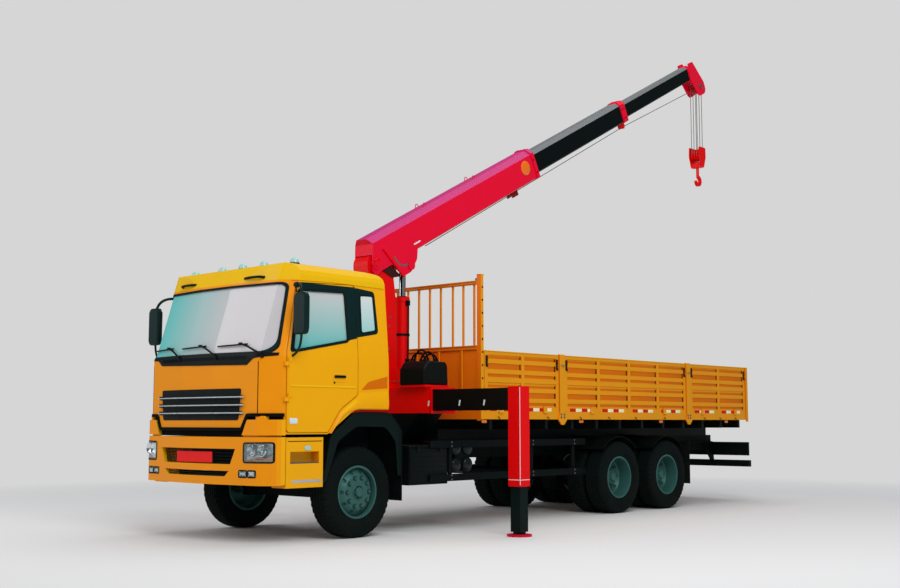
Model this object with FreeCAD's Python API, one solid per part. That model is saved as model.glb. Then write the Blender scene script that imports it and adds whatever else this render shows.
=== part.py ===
import FreeCAD, Part
import math
import os

# A cab-over flatbed truck with a telescopic loader crane behind its cab, in millimetres.
# X points forward, Y to the left, Z up. Heights are from the ground. The X places below are
# from the front axle; each piece is shifted at the end, so that the frame's origin lies on
# the ground at the middle of the overall length.

V = FreeCAD.Vector

# Running gear
WHEELBASE = 5220.0
TANDEM = 1300.0
TYRE_R = 525.0
TYRE_W = 288.0
RIM_R = 292.0
FRONT_WHEEL_Y = 1015.0
TWIN_OUTER_Y = 1090.0
TWIN_PITCH = 335.0
KINGPIN_Y = 850.0
KINGPIN_R = 24.0
SPINDLE_R = 45.0
AXLE_TUBE_R = 70.0
RUN_GAP = 0.3

# Chassis frame
RAIL_Y = 430.0
RAIL_H = 260.0
RAIL_FLANGE = 80.0
RAIL_T = 10.0
RAIL_TOP = 1110.0
FRAME_FRONT = 1180.0
FRAME_REAR = -9200.0
SILL_H = 130.0

# Cab
CAB_REAR = -380.0
CAB_FRONT = 1470.0
SCREEN_TOP_X = 1215.0
SCREEN_TOP_Z = 2900.0
CAB_SIDE_Y = 1235.0
CAB_ROOF_Z = 3140.0
CAB_WALL = 55.0
GLASS_T = 8.0
DOOR_GAP = 8.0
DOOR_SWING = 8.0
DOOR_FRONT = 1165.0
DOOR_REAR = 100.0
DOOR_HINGE_X = DOOR_FRONT - 20
DOOR_HINGE_Y = CAB_SIDE_Y + 8
BELT_Z = 2060.0
ARCH_Z = 1480.0
SKIRT_Z = 1200.0
PANEL_BOTTOM = 1245.0
PANEL_CORNER_BOTTOM = 1400.0
FLOOR_STEP_X = 1095.0
TONGUE_Y = 740.0
TILT_X = 1270.0
TILT_Z = 750.0
TILT_R = 30.0
TILT_ARM_Y = 560.0

# Bumper and steps
BUMPER_FRONT = 1490.0
BUMPER_BOTTOM = 645.0
BUMPER_TOP = 1170.0
CORNER_TOP = 1360.0
CORNER_GAP = 20.0
BUMPER_SIDE_Y = 1240.0
BUMPER_WALL = 50.0
BUMPER_REAR = 1175.0
STEP_FRONT = 1165.0
STEP_REAR = 630.0
STEP_BOTTOM = 615.0
STEP_TOP = 1165.0

# Load bed
BED_FRONT = -2060.0
BED_REAR = -9040.0
BED_SIDE_Y = 1250.0
BED_RAIL_Z = 1372.0
BED_FLOOR_Z = 1472.0
BED_TOP_Z = 2268.0
BED_PANEL_T = 42.0
BED_POST_W = 120.0
BED_POSTS = (-3780.0, -7120.0)
BED_GAP = 8.0
HEADBOARD_TOP = 3180.0
HEADBOARD_POST_TOP = 3250.0
HEADBOARD_MID = 2330.0

# Outriggers
HOUSING_Y = 1055.0
HOUSING_W = 212.0
HOUSING_H = 320.0
BEAM_W = 160.0
BEAM_H = 266.0
BEAM_MID_Z = 1609.0
BEAM_X = (-1434.0, -1664.0)
LEG_Y = 2385.0
LEG_CASE = 180.0
LEG_CASE_WALL = 10.0
LEG_TUBE = 146.0
LEG_TUBE_WALL = 10.0
LEG_TUBE_TOP = 1200.0
LEG_CASE_TOP = 1750.0
LEG_CASE_BOTTOM = 580.0
LEG_LIFT = 500.0
FOOT_R = 148.0
FOOT_T = 24.0

# Crane column and luffing cylinder
SLEW_X = -1450.0
SLEW_R = 290.0
COLUMN_BASE_Z = 1832.0
COLUMN_HALF_Y = 135.0
COLUMN_FRONT = -1140.0
COLUMN_REAR = -1620.0
FOOT_PIN_X = -1200.0
FOOT_PIN_Z = 3400.0
FOOT_PIN_R = 38.0
HEAD_R = 125.0
LUFF_PIN_X = -1865.0
LUFF_PIN_Z = 1945.0
LUFF_PIN_R = 30.0
BARREL_R = 94.0
BARREL_TOP = 3020.0
ROD_R = 45.0

# Boom. Its own axes are u along the boom from the foot pin and v across it, upward.
BOOM_ELEVATION = 27.7
BOOM_V = 112.0
BASE_DEPTH = 460.0
BASE_HALF_Y = 170.0
MID_DEPTH = 352.0
MID_HALF_Y = 132.0
TIP_DEPTH = 268.0
TIP_HALF_Y = 100.0
BOOM_WALL = 12.0
BASE_TUBE_START = 640.0
BASE_END = 3900.0
MID_TAIL = 3300.0
MID_END = 6760.0
TIP_TAIL = 6080.0
TIP_END = 9250.0
EYE_U = 616.0
EYE_V = -267.0
HEAD_PIN_U = 9470.0
HEAD_PIN_V = -230.0
HEAD_PLATE_R = 145.0
HEAD_PLATE_T = 16.0
SHEAVE_R = 100.0
SHEAVE_PITCH = 52.0
SHEAVE_T = 36.0
SHEAVES = 3
FALL_R = 6.0
FALL_SIDES = 8

# Hook block
BLOCK_DROP = 1300.0
BLOCK_HALF_Y = 96.0
HOOK_R = 75.0

os.makedirs("parts", exist_ok=True)

# Rounds are drawn as straight steps: under each radius, the angle one step takes
ROUND_STEPS = ((40.0, 45.0), (100.0, 30.0), (1000.0, 22.5), (1e6, 4.0))


# Shape helpers

def box(x0, x1, y0, y1, z0, z1):
    return Part.makeBox(x1 - x0, y1 - y0, z1 - z0, V(x0, y0, z0))


def rod(r, start, end):
    run = V(*end) - V(*start)
    return Part.makeCylinder(r, run.Length, V(*start), run)


def rod_y(r, y0, y1, x, z):
    return Part.makeCylinder(r, y1 - y0, V(x, y0, z), V(0, 1, 0))


def round_steps(radius, turn):
    """How many straight steps a round of this radius takes through its turn."""
    for limit, step in ROUND_STEPS:
        if radius < limit:
            return max(1, math.ceil(turn / math.radians(step) - 0.01))
    return 1


def rounded_corner(corner, radius, before, after):
    """The points of one round between the two directions that leave its corner."""
    before.normalize()
    after.normalize()
    half = before.getAngle(after) / 2
    bisector = before + after
    bisector.normalize()
    centre = corner + bisector * (radius / math.sin(half))
    first = corner + before * (radius / math.tan(half)) - centre
    last = corner + after * (radius / math.tan(half)) - centre
    turn = math.pi - 2 * half
    steps = round_steps(radius, turn)
    points = []
    for i in range(steps + 1):
        start = math.sin(turn * (1 - i / steps)) / math.sin(turn)
        end = math.sin(turn * i / steps) / math.sin(turn)
        points.append(centre + first * start + last * end)
    return points


def corner_wire(corners, place):
    """A closed outline of lines. Each corner is (a, b) or (a, b, radius of its round)."""
    pts = [V(c[0], c[1], 0) for c in corners]
    outline = []
    for i, p in enumerate(pts):
        if len(corners[i]) < 3:
            outline.append(p)
            continue
        following = pts[(i + 1) % len(pts)]
        outline += rounded_corner(p, corners[i][2], pts[i - 1] - p, following - p)
    spaced = [p for i, p in enumerate(outline) if (p - outline[i - 1]).Length > 1e-6]
    return Part.makePolygon([place(p) for p in spaced + spaced[:1]])


def face_xz(corners, y=0.0):
    return Part.Face(corner_wire(corners, lambda p: V(p.x, y, p.y)))


def plate_xz(corners, y0, y1):
    return face_xz(corners, y0).extrude(V(0, y1 - y0, 0))


def face_yz(corners, x=0.0):
    return Part.Face(corner_wire(corners, lambda p: V(x, p.x, p.y)))


def plate_yz(corners, x0, x1):
    return face_yz(corners, x0).extrude(V(x1 - x0, 0, 0))


def face_xy(corners, z=0.0):
    return Part.Face(corner_wire(corners, lambda p: V(p.x, p.y, z)))


def plate_xy(corners, z0, z1):
    return face_xy(corners, z0).extrude(V(0, 0, z1 - z0))


def bar(r, start, end, sides=12):
    """Rod of flat facets between two points."""
    run = V(*end) - V(*start)
    first = run.cross(V(0, 1, 0) if abs(run.y) < abs(run.z) + abs(run.x) else V(0, 0, 1))
    first.normalize()
    second = run.cross(first)
    second.normalize()
    ring = []
    for i in range(sides):
        angle = 2 * math.pi * (i + 0.5) / sides
        ring.append(V(*start) + first * (r * math.cos(angle)) + second * (r * math.sin(angle)))
    return Part.Face(Part.makePolygon(ring + ring[:1])).extrude(run)


def faceted(corners, sides):
    """A closed form of flat facets round the Y axis. Each corner is (radius, y)."""
    rings = []
    for r, y in corners:
        ring = []
        for i in range(sides):
            angle = 2 * math.pi * (i + 0.5) / sides
            ring.append(V(r * math.cos(angle), y, r * math.sin(angle)))
        rings.append(ring)
    faces = []
    for k, ring in enumerate(rings):
        following = rings[(k + 1) % len(rings)]
        for i in range(sides):
            j = (i + 1) % sides
            loop = [ring[i], ring[j], following[j], following[i]]
            loop = [p for n, p in enumerate(loop) if (p - loop[n - 1]).Length > 1e-6]
            if len(loop) > 2:
                faces.append(Part.Face(Part.makePolygon(loop + loop[:1])))
    shell = Part.makeShell(faces)
    shell.sewShape()
    solid = Part.makeSolid(shell)
    if solid.Volume < 0:
        solid.reverse()
    return solid.removeSplitter()


def both_sides(shape):
    return [shape, shape.mirror(V(0, 0, 0), V(0, 1, 0))]


def right_of(shape):
    return shape.mirror(V(0, 0, 0), V(0, 1, 0))


def moved(shape, x=0.0, y=0.0, z=0.0):
    copy = shape.copy()
    copy.translate(V(x, y, z))
    return copy


def join(*shapes):
    return shapes[0].fuse(list(shapes[1:])).removeSplitter()


def solids_of(*shapes):
    return Part.makeCompound([s for shape in shapes for s in shape.Solids])


# Boom axes: a piece drawn with u as X, v as Z is laid on the boom at its shown elevation

ELEVATION = math.radians(BOOM_ELEVATION)


def boom_point(u, v):
    x = FOOT_PIN_X - u * math.cos(ELEVATION) + v * math.sin(ELEVATION)
    z = FOOT_PIN_Z + u * math.sin(ELEVATION) + v * math.cos(ELEVATION)
    return x, z


def on_boom(shape):
    """Drawn with -X as u and Z as v about the foot pin, then lifted to the elevation."""
    laid = shape.copy()
    laid.rotate(V(0, 0, 0), V(0, 1, 0), BOOM_ELEVATION)
    laid.translate(V(FOOT_PIN_X, 0, FOOT_PIN_Z))
    return laid


def plate_uv(corners, y0, y1):
    return plate_xz([(-c[0],) + tuple(c[1:]) for c in corners], y0, y1)


def rod_uv(r, y0, y1, u, v):
    return rod_y(r, y0, y1, -u, v)


# Wheels

WHEEL_SIDES = 24
HUB_SIDES = 12
TREAD_R = TYRE_R / math.cos(math.pi / WHEEL_SIDES)


def tyre():
    half = TYRE_W / 2
    return faceted([
        (RIM_R + RUN_GAP, -half + 46),
        (TREAD_R - 95, -half),
        (TREAD_R, -half + 24),
        (TREAD_R, half - 24),
        (TREAD_R - 95, half),
        (RIM_R + RUN_GAP, half - 46),
    ], WHEEL_SIDES)


def rim_barrel(flange=16.0, wall=12.0):
    """The ring that carries one tyre, about the tyre's mid plane."""
    half = TYRE_W / 2 - 22
    return faceted([
        (RIM_R - wall, -half),
        (RIM_R + flange, -half),
        (RIM_R, -half + 14),
        (RIM_R, half - 14),
        (RIM_R + flange, half),
        (RIM_R - wall, half),
    ], WHEEL_SIDES)


HUB_R = 95.0
DISC_T = 14.0
DISC_RIM_R = RIM_R - 3
FRONT_DISC_Y = 132.0
FRONT_HUB_IN = -80.0
BORE_R = SPINDLE_R + RUN_GAP


def front_rim():
    """Disc bulging outboard past the flange, with a hub on the spindle."""
    disc = faceted([
        (0, FRONT_DISC_Y),
        (175, FRONT_DISC_Y),
        (215, FRONT_DISC_Y - 22),
        (DISC_RIM_R, 60),
        (DISC_RIM_R, 60 - DISC_T),
        (205, FRONT_DISC_Y - 22 - DISC_T),
        (HUB_R, FRONT_DISC_Y - DISC_T),
        (HUB_R, FRONT_HUB_IN),
        (0, FRONT_HUB_IN),
    ], HUB_SIDES)
    cap = bar(62, (0, FRONT_DISC_Y - 1, 0), (0, FRONT_DISC_Y + 32, 0))
    bore = rod_y(BORE_R, FRONT_HUB_IN - 1, 60, 0, 0)
    return join(rim_barrel(), disc, cap).cut(bore)


TWIN_DISC_Y = -(TWIN_PITCH / 2)
TWIN_HUB_OUT = 20.0
TWIN_HUB_R = 128.0


def twin_rims():
    """Two barrels on discs that meet between the tyres, about the outer tyre's mid plane."""
    inner = moved(rim_barrel(), y=-TWIN_PITCH)
    disc = faceted([
        (0, TWIN_DISC_Y + DISC_T),
        (205, TWIN_DISC_Y + DISC_T),
        (DISC_RIM_R, -70),
        (DISC_RIM_R, -70 - DISC_T),
        (215, TWIN_DISC_Y - 4),
        (DISC_RIM_R, -TWIN_PITCH + 84),
        (DISC_RIM_R, -TWIN_PITCH + 70),
        (205, TWIN_DISC_Y - DISC_T),
        (0, TWIN_DISC_Y - DISC_T),
    ], HUB_SIDES)
    hub = faceted([
        (0, TWIN_DISC_Y),
        (TWIN_HUB_R, TWIN_DISC_Y),
        (TWIN_HUB_R - 20, TWIN_HUB_OUT),
        (0, TWIN_HUB_OUT),
    ], HUB_SIDES)
    bore = rod_y(BORE_R, TWIN_DISC_Y - DISC_T - 1, TWIN_HUB_OUT - 16, 0, 0)
    return join(rim_barrel(), inner, disc, hub).cut(bore)


# Steering knuckle at the left wheel: two ears about the beam's end, pin and spindle

BEAM_EYE_R = 52.0
BEAM_EYE_H = 140.0
EAR_T = 38.0


def knuckle():
    low = TYRE_R - BEAM_EYE_H / 2 - RUN_GAP
    high = TYRE_R + BEAM_EYE_H / 2 + RUN_GAP
    back = KINGPIN_Y + BEAM_EYE_R + 8
    ears = [box(-45, 45, KINGPIN_Y - 40, back + 22, high, high + EAR_T),
            box(-45, 45, KINGPIN_Y - 40, back + 22, low - EAR_T, low)]
    web = box(-55, 55, back, back + 22, low - EAR_T, high + EAR_T)
    pin = rod(KINGPIN_R, (0, KINGPIN_Y, low - EAR_T), (0, KINGPIN_Y, high + EAR_T))
    spindle = rod_y(SPINDLE_R, back, FRONT_WHEEL_Y + 59, 0, TYRE_R)
    arm = box(-200, -40, KINGPIN_Y - 38, KINGPIN_Y + 2, low - EAR_T, low - 6)
    return join(ears[0], ears[1], web, pin, spindle, arm)


# Chassis

def rail():
    """One channel, open towards the other rail."""
    outer = box(FRAME_REAR, FRAME_FRONT, RAIL_Y - RAIL_FLANGE, RAIL_Y,
                RAIL_TOP - RAIL_H, RAIL_TOP)
    hollow = box(FRAME_REAR - 1, FRAME_FRONT + 1, RAIL_Y - RAIL_FLANGE - 1, RAIL_Y - RAIL_T,
                 RAIL_TOP - RAIL_H + RAIL_T, RAIL_TOP - RAIL_T)
    return outer.cut(hollow)


CROSS_X = (560.0, -700.0, -2400.0, -3900.0, -5870.0, -7400.0, -9150.0)
CAB_REST_Z = SKIRT_Z + 250.0


def frame():
    rails = both_sides(rail())
    middle = RAIL_TOP - RAIL_H / 2
    cross = []
    for x in CROSS_X:
        cross.append(box(x - 40, x + 40, -RAIL_Y + RAIL_T, RAIL_Y - RAIL_T,
                         middle - 90, middle + 90))
    tilt_tube = rod_y(TILT_R, -TILT_ARM_Y - 30, TILT_ARM_Y + 30, TILT_X, TILT_Z)
    horns = both_sides(plate_xz([
        (FRAME_FRONT - 160, RAIL_TOP - 60),
        (FRAME_FRONT, RAIL_TOP - 60),
        (TILT_X + 50, TILT_Z + 40, 30),
        (TILT_X + 50, TILT_Z - 92, 30),
        (TILT_X - 50, TILT_Z - 92, 30),
        (FRAME_FRONT - 160, RAIL_TOP - RAIL_H - 40),
    ], RAIL_Y - RAIL_T, RAIL_Y + 14))
    bracket = both_sides(box(TILT_X - 40, BUMPER_FRONT - BUMPER_WALL - 14, RAIL_Y - 40,
                             RAIL_Y - RAIL_T + 1, TILT_Z - 90, TILT_Z - 20))
    rest = both_sides(box(CAB_REAR + 40, CAB_REAR + 120, RAIL_Y - 80, RAIL_Y, RAIL_TOP,
                          ARCH_Z - RUN_GAP))
    return join(*rails, *cross, tilt_tube, *horns, *bracket, *rest)


NOSE_Z = 600.0
NOSE_R = 71.0
NOSE_REACH = 300.0


def engine():
    """Plain block for the engine, with gearbox and shafts along the middle line."""
    block = box(-450, 500, -300, 300, 640, SKIRT_Z - 12)
    mounts = both_sides(box(-300, -200, 299, RAIL_Y - RAIL_T, 900, 1000))
    mounts += both_sides(box(250, 350, 299, RAIL_Y - RAIL_T, 900, 1000))
    gearbox = box(-1150, -449, -190, 190, 610, 880)
    shaft = bar(55, (-1149, 0, 740), (NOSE_REACH + 3 - WHEELBASE, 0, NOSE_Z))
    last = bar(50, (-WHEELBASE - NOSE_REACH - RUN_GAP, 0, NOSE_Z),
               (NOSE_REACH + RUN_GAP - WHEELBASE - TANDEM, 0, NOSE_Z))
    return solids_of(join(block, gearbox, shaft, *mounts), last)


REAR_AXLES = (-WHEELBASE, -WHEELBASE - TANDEM)
BEAM_STEP_Y = KINGPIN_Y - 80
SPRING_Y = 470.0
BANJO_R = 215.0


def leaf_pack(x, length, height, seat, leaves=5, longest_low=False):
    """Stack of leaves that get shorter downward, or upward; seat is its underside."""
    pack = []
    thick = height / leaves
    for i in range(leaves):
        half = length / 2 * (1 - 0.13 * (i if longest_low else leaves - 1 - i))
        pack.append(box(x - half, x + half, SPRING_Y, SPRING_Y + 80,
                        seat + thick * i, seat + thick * (i + 1)))
    return pack


def axles():
    """Front beam and two banjo housings with the springs that seat on them."""
    beam = join(
        box(-45, 45, -BEAM_STEP_Y, BEAM_STEP_Y, TYRE_R - 90, TYRE_R + 20),
        *both_sides(box(-45, 45, BEAM_STEP_Y - 1, KINGPIN_Y - BEAM_EYE_R + 10,
                        TYRE_R - BEAM_EYE_H / 2 + 10, TYRE_R + 20)))
    eye = rod(BEAM_EYE_R, (0, KINGPIN_Y, TYRE_R - BEAM_EYE_H / 2),
              (0, KINGPIN_Y, TYRE_R + BEAM_EYE_H / 2))
    bore = rod(KINGPIN_R + RUN_GAP, (0, KINGPIN_Y, 0), (0, KINGPIN_Y, 2 * TYRE_R))
    seat = TYRE_R + 20
    hangers = []
    for x in (-640.0, 640.0 - 40):
        hangers.append(box(x, x + 40, SPRING_Y, SPRING_Y + 80, seat + 60, RAIL_TOP - 120))
        hangers.append(box(x, x + 40, RAIL_Y + RUN_GAP, SPRING_Y, RAIL_TOP - RAIL_H + 20,
                           RAIL_TOP - 120))
    front = join(beam, *[e.cut(b) for e, b in zip(both_sides(eye), both_sides(bore))],
                 *sum([both_sides(s) for s in leaf_pack(0, 1280, 80, seat)], []),
                 *sum([both_sides(h) for h in hangers], []))
    rear = []
    for x in REAR_AXLES:
        tube = bar(AXLE_TUBE_R, (x, -600, TYRE_R), (x, 600, TYRE_R))
        ends = both_sides(rod_y(SPINDLE_R, 590, TWIN_OUTER_Y, x, TYRE_R))
        banjo = faceted([(0, -150), (BANJO_R - 60, -150), (BANJO_R, -90), (BANJO_R, 90),
                         (BANJO_R - 60, 150), (0, 150)], HUB_SIDES)
        nose = bar(NOSE_R, (x - (NOSE_REACH if x == REAR_AXLES[0] else 100), 0, NOSE_Z),
                   (x + NOSE_REACH, 0, NOSE_Z))
        rear += [tube, *ends, moved(banjo, x=x, z=TYRE_R), nose]
    middle = -WHEELBASE - TANDEM / 2
    rear_seat = TYRE_R + AXLE_TUBE_R - 10
    spring = sum([both_sides(s) for s in
                  leaf_pack(middle, TANDEM + 160, 130, rear_seat, 6, True)], [])
    saddle = both_sides(box(middle - 110, middle + 110, RAIL_Y + RUN_GAP, SPRING_Y + 80,
                            rear_seat + 130, RAIL_TOP - RAIL_H + 90))
    links = both_sides(box(REAR_AXLES[1] + 30, REAR_AXLES[0] - 30, SPRING_Y + 10, SPRING_Y + 60,
                           TYRE_R - 60, TYRE_R - 10))
    return solids_of(front, join(*rear, *spring, *saddle, *links))


# Cab outline, as three profiles that are extruded and intersected

def cab_side_profile():
    return [
        (CAB_FRONT - 10, SKIRT_Z, 30),
        (CAB_FRONT, BELT_Z, 300),
        (SCREEN_TOP_X, SCREEN_TOP_Z, 60),
        (1080, CAB_ROOF_Z - 10, 140),
        (250, CAB_ROOF_Z + 10, 2500),
        (CAB_REAR, CAB_ROOF_Z - 50, 120),
        (CAB_REAR - 20, ARCH_Z, 20),
        (150, ARCH_Z, 260),
        (560, SKIRT_Z, 60),
    ]


def cab_front_profile():
    top = CAB_SIDE_Y - 75
    return [
        (-CAB_SIDE_Y, SKIRT_Z - 200),
        (CAB_SIDE_Y, SKIRT_Z - 200),
        (CAB_SIDE_Y + 4, BELT_Z, 900),
        (top, CAB_ROOF_Z - 20, 150),
        (0, CAB_ROOF_Z + 30, 6000),
        (-top, CAB_ROOF_Z - 20, 150),
        (-CAB_SIDE_Y - 4, BELT_Z, 900),
    ]


def cab_plan_profile():
    return [
        (CAB_REAR - 60, -CAB_SIDE_Y - 20, 60),
        (1140, -CAB_SIDE_Y - 20, 200),
        (CAB_FRONT - 90, -1010, 120),
        (CAB_FRONT + 40, 0, 3500),
        (CAB_FRONT - 90, 1010, 120),
        (1140, CAB_SIDE_Y + 20, 200),
        (CAB_REAR - 60, CAB_SIDE_Y + 20, 60),
    ]


def inset(face, depth):
    return face.makeOffset2D(-depth, 2) if depth else face


def cab_form(depth):
    """The cab's outer form, or the same form with every wall moved in by depth."""
    side = inset(face_xz(cab_side_profile(), -1500), depth).extrude(V(0, 3000, 0))
    front = inset(face_yz(cab_front_profile(), -1000), depth).extrude(V(3000, 0, 0))
    low_plan = inset(face_xy(cab_plan_profile(), BELT_Z), depth).extrude(V(0, 0, -1300))
    lean = (SCREEN_TOP_X - CAB_FRONT) / (SCREEN_TOP_Z - BELT_Z)
    high_plan = inset(face_xy(cab_plan_profile(), BELT_Z), depth).extrude(
        V(lean * 1300, 0, 1300))
    return side.common(front).common(low_plan.fuse(high_plan).removeSplitter())


def bumper_corner_clearance(grow):
    """Room above the bumper's raised corners, at both ends of the front panel."""
    corners = [
        (TONGUE_Y - grow, SKIRT_Z - 100),
        (TONGUE_Y + 80 - grow, PANEL_CORNER_BOTTOM + grow),
        (CAB_SIDE_Y + 100, PANEL_CORNER_BOTTOM + grow),
        (CAB_SIDE_Y + 100, SKIRT_Z - 100),
    ]
    return both_sides(plate_yz(corners, DOOR_FRONT + 8 - grow, CAB_FRONT + 200))


def door_outline(gap):
    """The door's edge seen from its side; gap draws it in all round."""
    return [
        (DOOR_FRONT - gap, SKIRT_Z + 12 + gap, 40),
        (DOOR_FRONT - gap, BELT_Z + 30, 200),
        (990 - gap, 2895 - gap, 60),
        (DOOR_REAR + gap, 2935 - gap, 60),
        (DOOR_REAR + gap, 1640 + gap, 60),
        (365 + gap, 1475 + gap, 200),
        (555 + gap, SKIRT_Z + 12 + gap, 30),
    ]


DOOR_WINDOW = [
    (1075, 2125, 30),
    (960, 2800, 30),
    (285, 2822, 30),
    (262, 2275, 30),
]
QUARTER_WINDOW = [
    (32, 2372, 25),
    (32, 2812, 25),
    (-165, 2818, 25),
    (-190, 2412, 25),
]
WINDSCREEN = [
    (-1150, 2095, 90),
    (1150, 2095, 90),
    (1095, 2885, 60),
    (-1095, 2885, 60),
]
REAR_WINDOW = [
    (-520, 2330, 40),
    (520, 2330, 40),
    (520, 2790, 40),
    (-520, 2790, 40),
]


def window_face(corners, plane, shrink=0.0):
    face = face_xz(corners, 0) if plane == "xz" else face_yz(corners, 0)
    return inset(face, shrink)


def side_band(inner_front):
    """What lies outboard of the side wall's inner face, down past the skirt."""
    return box(CAB_REAR - 100, CAB_FRONT + 100, 700, 1500, 900, 3300).cut(inner_front)


DOOR_HINGE_Z = (1560.0, 1950.0)
DOOR_HINGE_R = 10.0
DOOR_HINGE_H = 45.0


def door_hinges(x0, x1, y0, lift):
    """Knuckles on the door's hinge axis, each on a leaf from x0 to x1 inboard to y0."""
    knuckles = []
    for z in DOOR_HINGE_Z:
        low = z + lift
        knuckles.append(rod(DOOR_HINGE_R, (DOOR_HINGE_X, DOOR_HINGE_Y, low),
                            (DOOR_HINGE_X, DOOR_HINGE_Y, low + DOOR_HINGE_H)))
        knuckles.append(box(x0, x1, y0, DOOR_HINGE_Y + 4, low, low + DOOR_HINGE_H))
    return knuckles


def cab_pieces():
    """Shell, glass and the two doors, all from the same form."""
    outer = cab_form(0)
    inner = cab_form(CAB_WALL)
    inner = inner.cut(bumper_corner_clearance(CAB_WALL))
    outer = outer.cut(bumper_corner_clearance(0))
    low_front = join(box(DOOR_FRONT + 8, CAB_FRONT + 200, -1500, 1500, 900, PANEL_BOTTOM),
                     box(FLOOR_STEP_X, CAB_FRONT, -1080, 1080, 900, PANEL_BOTTOM))
    outer = outer.cut(low_front)
    inner = inner.cut(moved(low_front, z=CAB_WALL))
    shell = outer.cut(inner)

    inner_front = inset(face_yz(cab_front_profile(), -1000), CAB_WALL).extrude(V(3000, 0, 0))
    below = box(-1000, 2000, -CAB_SIDE_Y + CAB_WALL, CAB_SIDE_Y - CAB_WALL, 800, 1400)
    band = side_band(join(inner_front, below))
    opening = plate_xz(door_outline(0), 700, 1500).common(moved(band, y=-DOOR_SWING))
    door = plate_xz(door_outline(DOOR_GAP), 700, 1500).common(band).common(outer)

    pane_band = cab_form(12).cut(cab_form(12 + GLASS_T))
    door_hole = window_face(DOOR_WINDOW, "xz").extrude(V(0, 1600, 0))
    door_pane = window_face(DOOR_WINDOW, "xz", RUN_GAP).extrude(V(0, 1600, 0)).common(pane_band)
    quarter_hole = window_face(QUARTER_WINDOW, "xz").extrude(V(0, 1600, 0))
    quarter_pane = window_face(QUARTER_WINDOW, "xz", RUN_GAP).extrude(V(0, 1600, 0))
    quarter_pane = quarter_pane.common(pane_band)
    screen_hole = moved(window_face(WINDSCREEN, "yz").extrude(V(1000, 0, 0)), x=900)
    screen = moved(window_face(WINDSCREEN, "yz", RUN_GAP).extrude(V(1000, 0, 0)), x=900)
    screen = screen.common(pane_band)
    rear_hole = moved(window_face(REAR_WINDOW, "yz").extrude(V(400, 0, 0)), x=CAB_REAR - 200)
    rear_pane = moved(window_face(REAR_WINDOW, "yz", RUN_GAP).extrude(V(400, 0, 0)),
                      x=CAB_REAR - 200).common(pane_band)

    holes = both_sides(opening) + both_sides(quarter_hole) + [screen_hole, rear_hole]
    shell = shell.cut(holes)
    arms = both_sides(cab_arm())
    straps = sum([both_sides(k) for k in door_hinges(DOOR_HINGE_X, DOOR_FRONT + 30,
                                                     CAB_SIDE_Y - 35, 0)], [])
    shell = join(shell, *arms, *straps)
    leaves = door_hinges(DOOR_HINGE_X - 45, DOOR_HINGE_X, CAB_SIDE_Y - 25,
                         DOOR_HINGE_H + RUN_GAP)
    strap_rooms = [box(DOOR_HINGE_X - DOOR_HINGE_R - 5, DOOR_FRONT + 5, 1100, 1300,
                       z - RUN_GAP, z + DOOR_HINGE_H + RUN_GAP) for z in DOOR_HINGE_Z]
    door = join(door.cut([door_hole, *strap_rooms]), *leaves)
    return {
        "shell": shell,
        "door": door,
        "door_pane": door_pane,
        "panes": solids_of(screen, rear_pane, *both_sides(quarter_pane)),
    }


def cab_arm():
    """Goose-neck arm from the tilt tube back and up to the cab's floor."""
    plate = plate_xz([
        (TILT_X - 350, SKIRT_Z + 20),
        (TILT_X - 350, TILT_Z + 60, 120),
        (TILT_X - 110, TILT_Z - 55, 80),
        (TILT_X + 55, TILT_Z - 55, 54),
        (TILT_X + 55, TILT_Z + 55, 54),
        (TILT_X - 100, TILT_Z + 65, 80),
        (TILT_X - 240, TILT_Z + 200, 80),
        (TILT_X - 240, SKIRT_Z + 20),
    ], TILT_ARM_Y - 12, TILT_ARM_Y + 12)
    return plate.cut(rod_y(TILT_R + RUN_GAP, TILT_ARM_Y - 30, TILT_ARM_Y + 30, TILT_X, TILT_Z))


GRILLE_HALF = 755.0
GRILLE_LOW = 1355.0
GRILLE_HIGH = 1705.0
SLATS = 3


def grille():
    """Dark backing let into the front panel, with slats standing proud of it."""
    back = cab_form(-6).cut(cab_form(RUN_GAP - 0.6))
    plate = plate_yz([(-GRILLE_HALF + 40, GRILLE_LOW, 20), (GRILLE_HALF - 40, GRILLE_LOW, 20),
                      (GRILLE_HALF, GRILLE_HIGH, 20), (-GRILLE_HALF, GRILLE_HIGH, 20)],
                     CAB_FRONT - 300, CAB_FRONT + 200)
    backing = back.common(plate)
    slab = cab_form(-34).cut(cab_form(-5))
    slats = []
    for i in range(SLATS):
        z = GRILLE_LOW + 60 + i * 88
        reach = GRILLE_HALF + 20
        slats.append(slab.common(box(CAB_FRONT - 300, CAB_FRONT + 200, -reach, reach, z, z + 42)))
    return join(backing, *slats)


SEAT_W = 500.0
SEAT_X = 330.0
SEAT_Z = 1720.0


def seat(y):
    cushion = plate_xz([
        (SEAT_X - 260, SEAT_Z, 30), (SEAT_X + 260, SEAT_Z - 10, 40),
        (SEAT_X + 270, SEAT_Z + 130, 50), (SEAT_X - 260, SEAT_Z + 110, 30),
    ], y - SEAT_W / 2, y + SEAT_W / 2)
    back = plate_xz([
        (SEAT_X - 270, SEAT_Z + 60, 20), (SEAT_X - 130, SEAT_Z + 60, 20),
        (SEAT_X - 190, SEAT_Z + 860, 50), (SEAT_X - 330, SEAT_Z + 860, 50),
    ], y - SEAT_W / 2 + 10, y + SEAT_W / 2 - 10)
    pedestal = box(SEAT_X - 180, SEAT_X + 160, y - 170, y + 170, SKIRT_Z, SEAT_Z + 5)
    return join(cushion, back, pedestal).common(cab_form(CAB_WALL + RUN_GAP))


WHEEL_HUB = (860.0, 520.0, 2010.0)


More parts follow.
